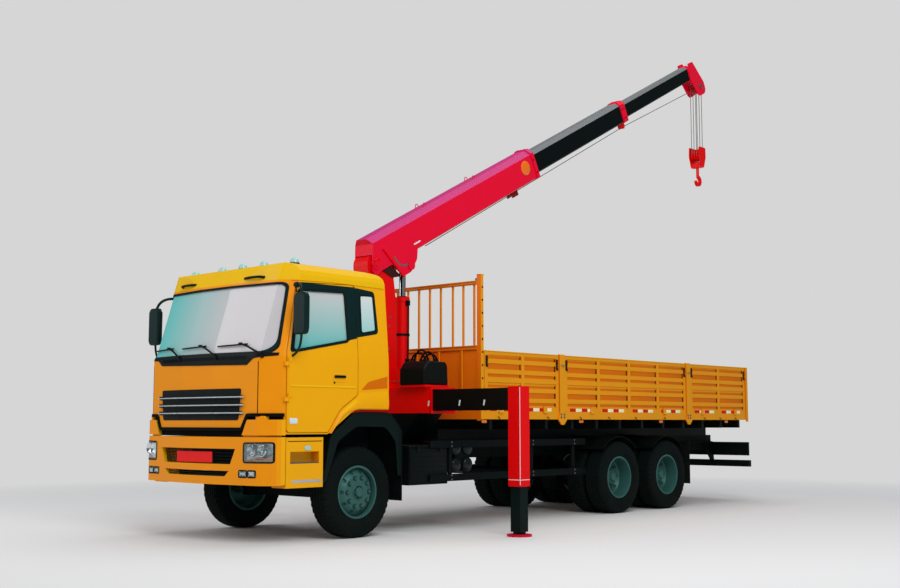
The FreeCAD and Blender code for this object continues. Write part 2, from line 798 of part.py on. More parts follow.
def dashboard():
    fascia = plate_xz([
        (1500, 1640), (1500, 2060), (1120, 2060, 60), (960, 1960, 60), (1000, 1640, 60),
    ], -1120, 1120).common(cab_form(CAB_WALL + RUN_GAP))
    hub = V(*WHEEL_HUB)
    lean = V(-math.sin(math.radians(35)), 0, math.cos(math.radians(35)))
    ring = faceted([(211, -12), (239, -12), (239, 12), (211, 12)], HUB_SIDES)
    ring.rotate(V(0, 0, 0), V(1, 0, 0), 90)
    ring.rotate(V(0, 0, 0), V(0, 1, 0), -35)
    ring.translate(hub)
    spoke = Part.makeBox(30, 440, 14, V(-15, -220, -7))
    spoke.rotate(V(0, 0, 0), V(0, 1, 0), -35)
    spoke.translate(hub)
    column = bar(34, tuple(hub), tuple(hub - lean * 260))
    return join(fascia, ring, spoke, column)


# Bumper, lamps and step panels

def bumper_plan():
    return [
        (BUMPER_REAR, -BUMPER_SIDE_Y),
        (1260, -BUMPER_SIDE_Y, 150),
        (BUMPER_FRONT - 90, -1030, 150),
        (BUMPER_FRONT + 40, 0, 3500),
        (BUMPER_FRONT - 90, 1030, 150),
        (1260, BUMPER_SIDE_Y, 150),
        (BUMPER_REAR, BUMPER_SIDE_Y),
    ]


def bumper_front_outline():
    return [
        (-BUMPER_SIDE_Y - 5, BUMPER_BOTTOM, 30),
        (BUMPER_SIDE_Y + 5, BUMPER_BOTTOM, 30),
        (BUMPER_SIDE_Y + 5, BUMPER_TOP),
        (-BUMPER_SIDE_Y - 5, BUMPER_TOP),
    ]


INTAKE_HIGH = [(-625, 870), (625, 870), (700, 1040), (-700, 1040)]
INTAKE_LOW = [(-540, 735), (540, 735), (605, 797), (-605, 797)]
HEADLAMP = [(830, 895, 20), (1190, 895, 20), (1190, 1110, 20), (830, 1105, 20)]
FOG_LAMP = [(765, 735), (880, 735), (880, 805), (765, 805)]
TURN_LAMP = [(900, 735), (1010, 735), (1010, 805), (900, 805)]


def bumper_skin(out, back):
    plan = face_xy(bumper_plan(), 500)
    outer = plan.makeOffset2D(out) if out else plan
    inner = plan.makeOffset2D(-back)
    inner_solid = inner.extrude(V(0, 0, 1200)).fuse(
        moved(inner.extrude(V(0, 0, 1200)), x=-100))
    return outer.extrude(V(0, 0, 1200)).cut(inner_solid)


def through_front(corners):
    return moved(face_yz(corners, 0).extrude(V(800, 0, 0)), x=BUMPER_REAR - 50)


def bumper():
    skin = bumper_skin(0, BUMPER_WALL).common(moved(
        face_yz(bumper_front_outline(), 0).extrude(V(1200, 0, 0)), x=BUMPER_REAR - 20))
    cuts = [through_front(INTAKE_HIGH), through_front(INTAKE_LOW)]
    for lamp in (HEADLAMP, FOG_LAMP, TURN_LAMP):
        cuts += both_sides(through_front(lamp))
    skin = skin.cut(cuts)
    return solids_of(skin, *both_sides(step_panel()))


def corner_panels():
    """Raised corners over the bumper's ends, hung from the cab on a bracket each."""
    outline = [
        (TONGUE_Y + 55, BUMPER_TOP + CORNER_GAP),
        (BUMPER_SIDE_Y + 5, BUMPER_TOP + CORNER_GAP),
        (BUMPER_SIDE_Y + 5, CORNER_TOP, 20),
        (TONGUE_Y + 130, CORNER_TOP, 20),
    ]
    front = moved(face_yz(outline).extrude(V(1200, 0, 0)), x=BUMPER_REAR - 20)
    hanger = box(BUMPER_REAR + 15, BUMPER_FRONT, 980, 1080, CORNER_TOP - 60,
                 PANEL_CORNER_BOTTOM - RUN_GAP)
    hanger = hanger.common(moved(face_xy(bumper_plan(), 500).makeOffset2D(-20).extrude(
        V(0, 0, 1200))))
    return both_sides(join(bumper_skin(0, BUMPER_WALL).common(front), hanger))


def lamp(corners, front):
    block = bumper_skin(front, BUMPER_WALL - 8)
    return block.common(moved(inset(face_yz(corners, 0), RUN_GAP).extrude(V(800, 0, 0)),
                              x=BUMPER_REAR - 40))


def front_lamps():
    lamps = []
    for corners in (HEADLAMP, FOG_LAMP, TURN_LAMP):
        lamps += both_sides(lamp(corners, 4))
    return lamps


def step_panel():
    """Box panel behind the bumper's end with two treads let into it."""
    outer = box(STEP_REAR, STEP_FRONT, 1000, BUMPER_SIDE_Y - 2, STEP_BOTTOM, STEP_TOP)
    tread = box(STEP_REAR + 60, STEP_FRONT - 60, 1110, 1400, 880, 1010)
    hollow = box(STEP_REAR + 30, STEP_FRONT - 30, 900, 1060, STEP_BOTTOM + 30, STEP_TOP - 30)
    carrier = box(STEP_REAR + 200, STEP_REAR + 260, RAIL_Y + RUN_GAP, 1070, 900, 980)
    return join(outer.cut(hollow).cut(tread), carrier)


# Guards, tanks and mudguards

FLAP_X = -640.0


def mudguards():
    """Front arch liner with its rear flap, and a guard over each rear twin."""
    path = [
        (FLAP_X, 700), (FLAP_X, 1250, 150), (-450, 1440, 150), (110, 1440, 180),
        (475, 1180, 150), (585, 640, 60),
    ]
    outer = face_xz(path, 640)
    liner = outer.cut(outer.makeOffset2D(-10))
    low = box(FLAP_X - 50, 700, 600, 1300, 500, 760)
    liner = liner.extrude(V(0, 560, 0)).cut(low)
    flap = box(FLAP_X - 12, FLAP_X, 780, 1215, 400, 1240)
    stay = box(FLAP_X - 40, FLAP_X - 12, RAIL_Y + RUN_GAP, 900, 900, 960)
    front = join(liner, flap, stay)
    rear = []
    for x in REAR_AXLES:
        arch = Part.makeCylinder(TYRE_R + 75, 620, V(x, 610, TYRE_R), V(0, 1, 0)).cut(
            Part.makeCylinder(TYRE_R + 65, 640, V(x, 600, TYRE_R), V(0, 1, 0)))
        rear.append(arch.common(box(x - 420, x + 420, 600, 1300, TYRE_R + 300, 1200)))
        rear.append(box(x - 30, x + 30, RAIL_Y + RUN_GAP, 640, TYRE_R + 570, TYRE_R + 610))
    return solids_of(*both_sides(front), *both_sides(join(*rear)))


def tanks():
    """Fuel tank on the right; battery box and two air tanks on the left."""
    low, high = 560, 1060
    fuel = plate_yz([(-1035, low, 90), (-500, low, 90), (-500, high, 90), (-1035, high, 90)],
                    -3200, -2100)
    fuel_strap = box(-2950, -2890, -560, -RAIL_Y, 880, 1020)
    fuel_strap2 = box(-2410, -2350, -560, -RAIL_Y, 880, 1020)
    battery = box(-1650, -950, 500, 1035, 560, 1030)
    shelf = box(-1650, -950, RAIL_Y + RUN_GAP, 520, 870, 1030)
    air = []
    for z in (1000.0, 790.0):
        for x in (-1830.0, -2050.0):
            air.append(bar(95, (x, 470, z), (x, 1020, z), HUB_SIDES))
    carrier = box(-2160, -1720, RAIL_Y + RUN_GAP, RAIL_Y + 85, 870, 1000)
    return solids_of(join(fuel, fuel_strap, fuel_strap2), join(battery, shelf),
                     join(carrier, *air, box(-2060, -1820, RAIL_Y + 84, 1010, 780, 1010)))


GUARD_Y = 1050.0
GUARD_FRONT = -1300.0
GUARD_REAR = -4560.0
GUARD_POSTS = (-1692.0, -3350.0, -4300.0)


def guards():
    """Side rails between the axles, and the under-run bar at the tail."""
    pieces = []
    for z in (1010.0, 590.0):
        pieces.append(box(GUARD_REAR, GUARD_FRONT, GUARD_Y, GUARD_Y + 24, z, z + 90))
    for x in GUARD_POSTS:
        pieces.append(box(x - 30, x + 30, GUARD_Y - 24, GUARD_Y, 590, 1100))
        pieces.append(box(x - 25, x + 25, RAIL_Y + RUN_GAP, GUARD_Y, 1010, 1060))
    side = join(*pieces)
    bar = box(FRAME_REAR - 60, FRAME_REAR + 30, -1180, 1180, 570, 680)
    drop = both_sides(plate_xz([
        (FRAME_REAR - 60, 660), (FRAME_REAR + 30, 660), (FRAME_REAR + 300, 1000),
        (FRAME_REAR - 10, 1000),
    ], RAIL_Y + RUN_GAP, RAIL_Y + 30))
    tail_bar = box(FRAME_REAR - 40, FRAME_REAR, -1160, 1160, 760, 990)
    return solids_of(*both_sides(side), join(bar, tail_bar, *drop))


def tail_lamps():
    return both_sides(box(FRAME_REAR - 62, FRAME_REAR - 40, 620, 1120, 800, 950))


# Load bed

HEADBOARD_T = 60.0
BED_FLOOR_T = 30.0
BED_RAIL_W = 60.0
BED_BEARERS = 12
DECK_T = 6.0
DECK_GAP = 10.0
FLOOR_FRONT = BED_FRONT - HEADBOARD_T


def bed_floor():
    """Floor on cross bearers and two sills that lie on the chassis rails."""
    floor = box(BED_REAR, FLOOR_FRONT, -BED_SIDE_Y, BED_SIDE_Y, BED_FLOOR_Z - BED_FLOOR_T,
                BED_FLOOR_Z)
    rails = both_sides(box(BED_REAR, FLOOR_FRONT, BED_SIDE_Y - BED_RAIL_W, BED_SIDE_Y,
                           BED_RAIL_Z, BED_FLOOR_Z))
    ends = [box(x, x + BED_RAIL_W, -BED_SIDE_Y, BED_SIDE_Y, BED_RAIL_Z, BED_FLOOR_Z)
            for x in (BED_REAR, FLOOR_FRONT - BED_RAIL_W)]
    bearers = []
    for i in range(BED_BEARERS):
        x = FLOOR_FRONT - 200 - i * (FLOOR_FRONT - BED_REAR - 400) / (BED_BEARERS - 1)
        bearers.append(box(x - 30, x + 30, BED_RAIL_W - BED_SIDE_Y, BED_SIDE_Y - BED_RAIL_W,
                           RAIL_TOP + SILL_H, BED_FLOOR_Z - BED_FLOOR_T + 1))
    sills = both_sides(box(BED_REAR, FLOOR_FRONT, RAIL_Y - RAIL_FLANGE, RAIL_Y, RAIL_TOP,
                           RAIL_TOP + SILL_H + 1))
    inner = BED_SIDE_Y - BED_PANEL_T - DECK_GAP
    deck = box(BED_REAR + BED_PANEL_T + DECK_GAP, FLOOR_FRONT - DECK_GAP, -inner, inner,
               BED_FLOOR_Z - 1, BED_FLOOR_Z + DECK_T)
    return join(floor, deck, *rails, *ends, *bearers, *sills)


HEADBOARD_BARS = (-1110.0, -919.0, -732.0, -513.0, -310.0, -105.0,
                  105.0, 310.0, 513.0, 732.0, 919.0, 1110.0)


def headboard():
    """Front frame of the bed with its bars between two posts."""
    x0, x1 = BED_FRONT - HEADBOARD_T, BED_FRONT
    panel = box(x0 + 15, x1 - 15, -BED_SIDE_Y + 60, BED_SIDE_Y - 60, BED_FLOOR_Z, HEADBOARD_MID)
    foot = box(x0, x1, -BED_SIDE_Y + 60, BED_SIDE_Y - 60, BED_RAIL_Z, BED_FLOOR_Z + 1)
    mid = box(x0, x1, -BED_SIDE_Y + 60, BED_SIDE_Y - 60, HEADBOARD_MID - 60, HEADBOARD_MID)
    top = box(x0, x1, -BED_SIDE_Y + 60, BED_SIDE_Y - 60, HEADBOARD_TOP - 50, HEADBOARD_TOP)
    bars = []
    for y in HEADBOARD_BARS:
        bars.append(box(x0 + 18, x1 - 18, y - 11, y + 11, HEADBOARD_MID - 1, HEADBOARD_TOP - 49))
    posts = both_sides(plate_xz([
        (x0, BED_RAIL_Z - 20), (x1, BED_RAIL_Z - 20),
        (x1, HEADBOARD_POST_TOP), (x0 + 10, HEADBOARD_POST_TOP),
    ], BED_SIDE_Y - 70, BED_SIDE_Y))
    return join(panel, foot, mid, top, *bars, *posts)


def bed_posts():
    """Fixed posts between the drop sides and at the bed's rear corners."""
    fixed = []
    for x in BED_POSTS:
        fixed += both_sides(plate_xz([
            (x - BED_POST_W / 2 - 40, BED_RAIL_Z, 5), (x - 30, BED_RAIL_Z - 75, 10),
            (x + 30, BED_RAIL_Z - 75, 10), (x + BED_POST_W / 2 + 40, BED_RAIL_Z, 5),
            (x + BED_POST_W / 2, BED_FLOOR_Z - 20), (x + BED_POST_W / 2, BED_TOP_Z),
            (x - BED_POST_W / 2, BED_TOP_Z), (x - BED_POST_W / 2, BED_FLOOR_Z - 20),
        ], BED_SIDE_Y, BED_SIDE_Y + 16))
        fixed += both_sides(box(x - BED_POST_W / 2, x + BED_POST_W / 2, BED_SIDE_Y - 42,
                                BED_SIDE_Y, BED_FLOOR_Z, BED_TOP_Z))
    rear = zip(both_sides(box(BED_REAR, BED_REAR + 60, BED_SIDE_Y - BED_PANEL_T, BED_SIDE_Y + 1,
                              BED_FLOOR_Z, BED_TOP_Z)),
               both_sides(box(BED_REAR, BED_REAR + 60, BED_SIDE_Y, BED_SIDE_Y + 16,
                              BED_RAIL_Z - 30, BED_TOP_Z)))
    rear = [join(inner, outer) for inner, outer in rear]
    sides = []
    for k in (0, 1):
        for i in range(len(BED_POSTS)):
            sides.append(join(fixed[4 * i + k], fixed[4 * i + 2 + k]))
        sides.append(rear[k])
    return solids_of(*sides)


BED_BAYS = {
    "front": (FLOOR_FRONT - BED_GAP, BED_POSTS[0] + BED_POST_W / 2 + BED_GAP, 3),
    "middle": (BED_POSTS[0] - BED_POST_W / 2 - BED_GAP,
               BED_POSTS[1] + BED_POST_W / 2 + BED_GAP, 5),
    "rear": (BED_POSTS[1] - BED_POST_W / 2 - BED_GAP, BED_REAR + 60 + BED_GAP, 3),
}
PANEL_LOW = BED_FLOOR_Z + RUN_GAP
PANEL_HEIGHT = BED_TOP_Z - PANEL_LOW
PANEL_RIB = 64.0
PANEL_RIM = 55.0
HINGE_OUT = 14.0
HINGE_DROP = 10.0
HINGE_R = 9.0
HINGE_LUG = 80.0
HINGE_SHARES = (0.2, 0.8)
CORRUGATIONS = (0.15, 0.32, 0.62, 0.79)


def drop_panel(length, ribs):
    """Corrugated panel with its hinge lugs, drawn along X; outer face at y = 0, foot at z = 0."""
    high = PANEL_HEIGHT
    pieces = [box(0, length, -BED_PANEL_T, -12, 0, high)]
    for z in (0, high * 0.48, high - PANEL_RIM):
        pieces.append(box(0, length, -BED_PANEL_T, 0, z, z + PANEL_RIM))
    for i in range(ribs):
        x = (length - PANEL_RIB) * i / (ribs - 1)
        pieces.append(box(x, x + PANEL_RIB, -BED_PANEL_T, 0, 0, high))
    for share in CORRUGATIONS:
        pieces.append(box(20, length - 20, -BED_PANEL_T, -3, high * share, high * share + 60))
    for share in HINGE_SHARES:
        x = length * share - HINGE_LUG / 2
        pieces.append(box(x, x + HINGE_LUG, -2, HINGE_OUT, 12, 70))
        pieces.append(box(x, x + HINGE_LUG, HINGE_OUT - HINGE_R, HINGE_OUT, -HINGE_DROP, 13))
        pieces.append(rod(HINGE_R, (x, HINGE_OUT, -HINGE_DROP),
                          (x + HINGE_LUG, HINGE_OUT, -HINGE_DROP)))
    return join(*pieces)


def drop_side(bay):
    x_high, x_low, ribs = BED_BAYS[bay]
    return moved(drop_panel(x_high - x_low, ribs), x=x_low, y=BED_SIDE_Y, z=PANEL_LOW)


def tailgate():
    width = 2 * (BED_SIDE_Y - BED_RAIL_W)
    panel = drop_panel(width, 4)
    panel.rotate(V(0, 0, 0), V(0, 0, 1), 90)
    return moved(panel, x=BED_REAR, y=-width / 2, z=PANEL_LOW)


# Crane base and outriggers

BEAM_GAP = 6.0
MOUTH = 90.0


def beam_room(x, gap, y0, y1):
    """Room for an outrigger's beam, wider than the beam by gap on every face."""
    return box(x - BEAM_W / 2 - gap, x + BEAM_W / 2 + gap, y0, y1,
               BEAM_MID_Z - BEAM_H / 2 - gap, BEAM_MID_Z + BEAM_H / 2 + gap)


def crane_base():
    """Two beam housings side by side across the frame, with the slewing ring's pedestal."""
    low = BEAM_MID_Z - HOUSING_H / 2
    high = BEAM_MID_Z + HOUSING_H / 2
    front, back = BEAM_X[0] + HOUSING_W / 2, BEAM_X[1] - HOUSING_W / 2
    tubes = [box(x - HOUSING_W / 2, x + HOUSING_W / 2, -HOUSING_Y, HOUSING_Y, low, high)
             for x in BEAM_X]
    web = box(BEAM_X[1], BEAM_X[0], -HOUSING_Y + 120, HOUSING_Y - 120, low, high)
    cheeks = both_sides(plate_yz([
        (RAIL_Y - 70, RAIL_TOP), (RAIL_Y + 90, RAIL_TOP), (RAIL_Y + 420, low + 10),
        (0, low + 10),
    ], back, front))
    ring = Part.makeCylinder(SLEW_R, COLUMN_BASE_Z - RUN_GAP - high + 20,
                             V(SLEW_X, 0, high - 20))
    rooms = []
    for x in BEAM_X:
        rooms.append(beam_room(x, BEAM_GAP, -HOUSING_Y + MOUTH, HOUSING_Y - MOUTH))
        rooms.append(beam_room(x, RUN_GAP, -HOUSING_Y - 1, HOUSING_Y + 1))
    return join(*tubes, web, *cheeks, ring).cut(rooms)


def crane_controls():
    """Valve bank under a rounded cover, on each side of the base."""
    low = BEAM_MID_Z + HOUSING_H / 2
    cover = plate_xz([(-1270, low, 20), (-1690, low, 20), (-1690, low + 300, 60),
                      (-1330, low + 330, 80), (-1270, low + 250, 60)], 640, 960)
    return solids_of(*both_sides(cover))


def outrigger(x):
    """Left beam that slides out of its housing, with the case of its leg at the end."""
    beam = box(x - BEAM_W / 2, x + BEAM_W / 2, 1260 - HOUSING_Y - 20, LEG_Y - LEG_CASE / 2 + 1,
               BEAM_MID_Z - BEAM_H / 2, BEAM_MID_Z + BEAM_H / 2)
    beam = beam.cut(box(x - BEAM_W / 2 + 10, x + BEAM_W / 2 - 10, 0, LEG_Y - LEG_CASE / 2 - 9,
                        BEAM_MID_Z - BEAM_H / 2 + 10, BEAM_MID_Z + BEAM_H / 2 - 10))
    half = LEG_CASE / 2
    case = box(x - half, x + half, LEG_Y - half, LEG_Y + half, LEG_CASE_BOTTOM, LEG_CASE_TOP)
    top = LEG_CASE_TOP - LEG_CASE_WALL
    for bore, low in ((half - LEG_CASE_WALL, LEG_CASE_BOTTOM + MOUTH),
                      (LEG_TUBE / 2 + RUN_GAP, LEG_CASE_BOTTOM - 1)):
        case = case.cut(box(x - bore, x + bore, LEG_Y - bore, LEG_Y + bore, low, top))
    return join(beam, case)


def leg(x, lift):
    half = LEG_TUBE / 2
    bore = half - LEG_TUBE_WALL
    tube = box(x - half, x + half, LEG_Y - half, LEG_Y + half, FOOT_T + 30, LEG_TUBE_TOP)
    tube = tube.cut(box(x - bore, x + bore, LEG_Y - bore, LEG_Y + bore, FOOT_T + 60,
                        LEG_TUBE_TOP + 1))
    collar = bar(75, (x, LEG_Y, FOOT_T), (x, LEG_Y, FOOT_T + 31))
    foot = bar(FOOT_R, (x, LEG_Y, 0), (x, LEG_Y, FOOT_T), WHEEL_SIDES)
    return moved(join(tube, collar, foot), z=lift)


# Crane column, luffing cylinder, boom and hook

def column():
    body = plate_xz([
        (COLUMN_FRONT + 20, COLUMN_BASE_Z + 28), (COLUMN_FRONT + 20, 2250, 200),
        (FOOT_PIN_X + HEAD_R, FOOT_PIN_Z + HEAD_R, HEAD_R - 2),
        (FOOT_PIN_X - HEAD_R, FOOT_PIN_Z + HEAD_R, HEAD_R - 2),
        (COLUMN_REAR + 60, FOOT_PIN_Z - 120, 80), (COLUMN_REAR, 2900, 100),
        (COLUMN_REAR, COLUMN_BASE_Z + 28),
    ], -COLUMN_HALF_Y, COLUMN_HALF_Y)
    body = body.cut(rod_y(FOOT_PIN_R + RUN_GAP, -300, 300, FOOT_PIN_X, FOOT_PIN_Z))
    flange = Part.makeCylinder(SLEW_R, 30, V(SLEW_X, 0, COLUMN_BASE_Z))
    skirt = bar(SLEW_R - 40, (SLEW_X, 0, COLUMN_BASE_Z + 29), (SLEW_X, 0, COLUMN_BASE_Z + 200),
                HUB_SIDES)
    ears = both_sides(plate_xz([
        (COLUMN_REAR + 40, COLUMN_BASE_Z + 20), (COLUMN_REAR + 40, LUFF_PIN_Z + 260),
        (LUFF_PIN_X + 130, LUFF_PIN_Z + 95), (LUFF_PIN_X + 110, LUFF_PIN_Z + 62),
        (LUFF_PIN_X - 60, LUFF_PIN_Z + 62, 60), (LUFF_PIN_X - 60, LUFF_PIN_Z - 62, 60),
    ], 52, 78))
    pin = rod_y(LUFF_PIN_R, -92, 92, LUFF_PIN_X, LUFF_PIN_Z)
    return join(body, flange, skirt, *ears, pin)


EYE_X, EYE_Z = boom_point(EYE_U, EYE_V)


def along_cylinder(shape):
    """Drawn upright from the lower pin, then leaned to the line between both pins."""
    lean = math.degrees(math.atan2(EYE_X - LUFF_PIN_X, EYE_Z - LUFF_PIN_Z))
    laid = shape.copy()
    laid.rotate(V(0, 0, 0), V(0, 1, 0), lean)
    laid.translate(V(LUFF_PIN_X, 0, LUFF_PIN_Z))
    return laid


BARREL_BASE = 95.0
BARREL_LENGTH = BARREL_TOP - LUFF_PIN_Z
EYE_DISTANCE = math.hypot(EYE_X - LUFF_PIN_X, EYE_Z - LUFF_PIN_Z)


def luff_barrel():
    tube = Part.makeCylinder(BARREL_R, BARREL_LENGTH - BARREL_BASE, V(0, 0, BARREL_BASE))
    gland = Part.makeCylinder(BARREL_R + 8, 60, V(0, 0, BARREL_LENGTH - 60))
    hollow = Part.makeCylinder(ROD_R + RUN_GAP, BARREL_LENGTH, V(0, 0, BARREL_BASE + 30))
    eye = rod_y(58, -48, 48, 0, 0)
    neck = box(-40, 40, -48, 48, 0, BARREL_BASE + 5)
    barrel = join(tube, gland, eye, neck).cut(hollow)
    return along_cylinder(barrel.cut(rod_y(LUFF_PIN_R + RUN_GAP, -100, 100, 0, 0)))


ROD_LENGTH = 1070.0


def luff_rod():
    stem = Part.makeCylinder(ROD_R, ROD_LENGTH - 50, V(0, 0, EYE_DISTANCE - ROD_LENGTH))
    eye = rod_y(70, -60, 60, 0, EYE_DISTANCE)
    pin = rod_y(30, -BASE_HALF_Y + BOOM_WALL + 2, BASE_HALF_Y - BOOM_WALL - 2, 0, EYE_DISTANCE)
    return along_cylinder(join(stem, eye, pin))


def boom_section(depth, half, wall_out=0.0):
    """Six-sided outline: flat underside, upright sides and bevels to a narrow top."""
    bevel = 0.45 * half
    low = BOOM_V - depth / 2 - wall_out
    high = BOOM_V + depth / 2 + wall_out
    side = half + wall_out
    return [(-side + 20, low), (side - 20, low), (side, low + 20), (side, high - bevel),
            (side - bevel, high), (-side + bevel, high), (-side, high - bevel),
            (-side, low + 20)]


def boom_tube(depth, half, u0, u1, wall=BOOM_WALL):
    outer = face_yz(boom_section(depth, half), -u1).extrude(V(u1 - u0, 0, 0))
    inner = face_yz(boom_section(depth, half, -wall), -u1 - 1).extrude(V(u1 - u0 + 2, 0, 0))
    return outer.cut(inner)


def boom_collar(depth, half, u0, u1, out=12.0):
    outer = face_yz(boom_section(depth, half, out), -u1).extrude(V(u1 - u0, 0, 0))
    inner = face_yz(boom_section(depth, half, -BOOM_WALL), -u1 - 1).extrude(
        V(u1 - u0 + 2, 0, 0))
    return outer.cut(inner)


def slide_pads(depth, half, outer_depth, outer_half, u0, u1, carried_inside):
    """Ring of wear pads that fills the space between two sections of the boom."""
    inner_out = RUN_GAP if carried_inside else -1.0
    outer_in = -BOOM_WALL + 1.0 if carried_inside else -BOOM_WALL - RUN_GAP
    ring = face_yz(boom_section(outer_depth, outer_half, outer_in), -u1)
    hole = face_yz(boom_section(depth, half, inner_out), -u1 - 1)
    return ring.extrude(V(u1 - u0, 0, 0)).cut(hole.extrude(V(u1 - u0 + 2, 0, 0)))


EAVE = BOOM_V + BASE_DEPTH / 2 - 0.45 * BASE_HALF_Y
CHIN_V = 132.0
PAD_LENGTH = 110.0
GUIDE_U = 3335.0
ROOT_END = [(45.0, 380.0), (75.0, EAVE), (-52.0, 30.0), (-149.0, -150.0)]


def ahead_of_root(wall):
    """What lies ahead of the base section's upright end, drawn in by wall."""
    edge = [(u + wall, v) for u, v in ROOT_END]
    return plate_uv([*edge, (-500, ROOT_END[-1][1]), (-500, ROOT_END[0][1])], -300, 300)


def hood_form(wall):
    """The base section run out over the foot pin to its upright end."""
    run = face_yz(boom_section(BASE_DEPTH, BASE_HALF_Y, -wall), -BASE_TUBE_START).extrude(
        V(BASE_TUBE_START + 200, 0, 0))
    return run.cut(ahead_of_root(wall))


def boom_base():
    low = BOOM_V - BASE_DEPTH / 2
    tube = boom_tube(BASE_DEPTH, BASE_HALF_Y, BASE_TUBE_START, BASE_END)
    hood = hood_form(0).cut(hood_form(BOOM_WALL))
    end_wall = hood.common(ahead_of_root(BOOM_WALL)).cut(
        box(-500, 300, -400, 400, low - 10, CHIN_V))
    roof = hood.cut(box(-BASE_TUBE_START - 1, 300, -400, 400, low - 10, EAVE))
    cheek = plate_uv([
        ROOT_END[1], ROOT_END[2], (-100, -62, 30), (-60, -150, 60),
        (86, low), (300, low, 20), (395, -345, 40), (575, -345, 60),
        (760, -235, 100), (840, low + 10),
        (BASE_TUBE_START + 200, low + 30), (BASE_TUBE_START + 200, EAVE),
    ], BASE_HALF_Y - BOOM_WALL, BASE_HALF_Y)
    inner_y = BASE_HALF_Y - BOOM_WALL
    bosses = both_sides(rod_uv(60, COLUMN_HALF_Y + RUN_GAP, inner_y + 1, 0, 0))
    outer_boss = both_sides(rod_uv(70, BASE_HALF_Y - 1, BASE_HALF_Y + 14, 0, 0))
    pin = rod_uv(FOOT_PIN_R, -BASE_HALF_Y - 10, BASE_HALF_Y + 10, 0, 0)
    eye_boss = both_sides(rod_uv(62, BASE_HALF_Y - 1, BASE_HALF_Y + 12, EYE_U, EYE_V))
    collar = boom_collar(BASE_DEPTH, BASE_HALF_Y, BASE_END - 70, BASE_END)
    guide = both_sides(plate_uv([
        (GUIDE_U - 85, low + 5), (GUIDE_U + 85, low + 5),
        (GUIDE_U + 45, low - 75, 20), (GUIDE_U - 45, low - 75, 20),
    ], 30, 42))
    roller = bar(22, (-GUIDE_U, -52, low - 45), (-GUIDE_U, 52, low - 45))
    pads = slide_pads(MID_DEPTH, MID_HALF_Y, BASE_DEPTH, BASE_HALF_Y,
                      BASE_END - PAD_LENGTH, BASE_END, True)
    return on_boom(join(tube, roof, end_wall, *both_sides(cheek), *bosses, *outer_boss, pin,
                        *eye_boss, collar, pads, *guide, roller))


def boom_mid():
    tube = boom_tube(MID_DEPTH, MID_HALF_Y, MID_TAIL, MID_END)
    collar = boom_collar(MID_DEPTH, MID_HALF_Y, MID_END - 140, MID_END)
    tail = slide_pads(MID_DEPTH, MID_HALF_Y, BASE_DEPTH, BASE_HALF_Y,
                      MID_TAIL, MID_TAIL + PAD_LENGTH, False)
    nose = slide_pads(TIP_DEPTH, TIP_HALF_Y, MID_DEPTH, MID_HALF_Y,
                      MID_END - PAD_LENGTH, MID_END, True)
    return on_boom(join(tube, collar, tail, nose))


def sheave(y, turn=0.0):
    """A grooved wheel on the pin, its facets turned so that one stands upright."""
    half = SHEAVE_T / 2
    groove = SHEAVE_R / math.cos(math.pi / HUB_SIDES)
    wheel = faceted([(0, -half), (SHEAVE_R + 20, -half), (groove, -FALL_R - 2),
                     (groove, FALL_R + 2), (SHEAVE_R + 20, half), (0, half)], HUB_SIDES)
    wheel.rotate(V(0, 0, 0), V(0, 1, 0), turn)
    return moved(wheel, y=y)


def sheave_places():
    first = -(SHEAVES - 1) / 2 * SHEAVE_PITCH
    return [first + i * SHEAVE_PITCH for i in range(SHEAVES)]


def boom_tip():
    low = BOOM_V - TIP_DEPTH / 2
    high = BOOM_V + TIP_DEPTH / 2
    tube = boom_tube(TIP_DEPTH, TIP_HALF_Y, TIP_TAIL, TIP_END)
    cheek = plate_uv([
        (TIP_END - 60, low - 10), (TIP_END - 20, high + 40, 15), (TIP_END + 150, high + 30, 30),
        (HEAD_PIN_U + HEAD_PLATE_R, HEAD_PIN_V + 60, 90),
        (HEAD_PIN_U + HEAD_PLATE_R, HEAD_PIN_V - HEAD_PLATE_R, HEAD_PLATE_R - 40),
        (HEAD_PIN_U - HEAD_PLATE_R, HEAD_PIN_V - HEAD_PLATE_R, HEAD_PLATE_R - 40),
    ], TIP_HALF_Y - 2, TIP_HALF_Y + HEAD_PLATE_T - 2)
    end_plate = boom_collar(TIP_DEPTH, TIP_HALF_Y, TIP_END - 70, TIP_END - 10, 10)
    pin = rod_uv(26, -TIP_HALF_Y - HEAD_PLATE_T - 12, TIP_HALF_Y + HEAD_PLATE_T + 12,
                 HEAD_PIN_U, HEAD_PIN_V)
    wheels = [moved(sheave(y, -BOOM_ELEVATION), x=-HEAD_PIN_U, z=HEAD_PIN_V)
              for y in sheave_places()]
    spacer = plate_uv([(TIP_END + 60, high - 40), (TIP_END + 140, high - 60),
                       (TIP_END + 140, high - 80), (TIP_END + 60, high - 60)],
                      -TIP_HALF_Y, TIP_HALF_Y)
    tail = slide_pads(TIP_DEPTH, TIP_HALF_Y, MID_DEPTH, MID_HALF_Y,
                      TIP_TAIL, TIP_TAIL + PAD_LENGTH, False)
    return on_boom(join(tube, tail, *both_sides(cheek), end_plate, pin, *wheels, spacer))


HEAD_PIN_X, HEAD_PIN_Z = boom_point(HEAD_PIN_U, HEAD_PIN_V)
BLOCK_Z = HEAD_PIN_Z - BLOCK_DROP


def hoist_falls():
    """The parallel falls of the hoist rope between the head's sheaves and the block's."""
    falls = []
    for y in sheave_places():
        for side in (-1, 1):
            x = HEAD_PIN_X + side * (SHEAVE_R + FALL_R + RUN_GAP)
            falls.append(bar(FALL_R / math.cos(math.pi / FALL_SIDES),
                             (x, y, BLOCK_Z), (x, y, HEAD_PIN_Z), FALL_SIDES))
    return solids_of(*falls)


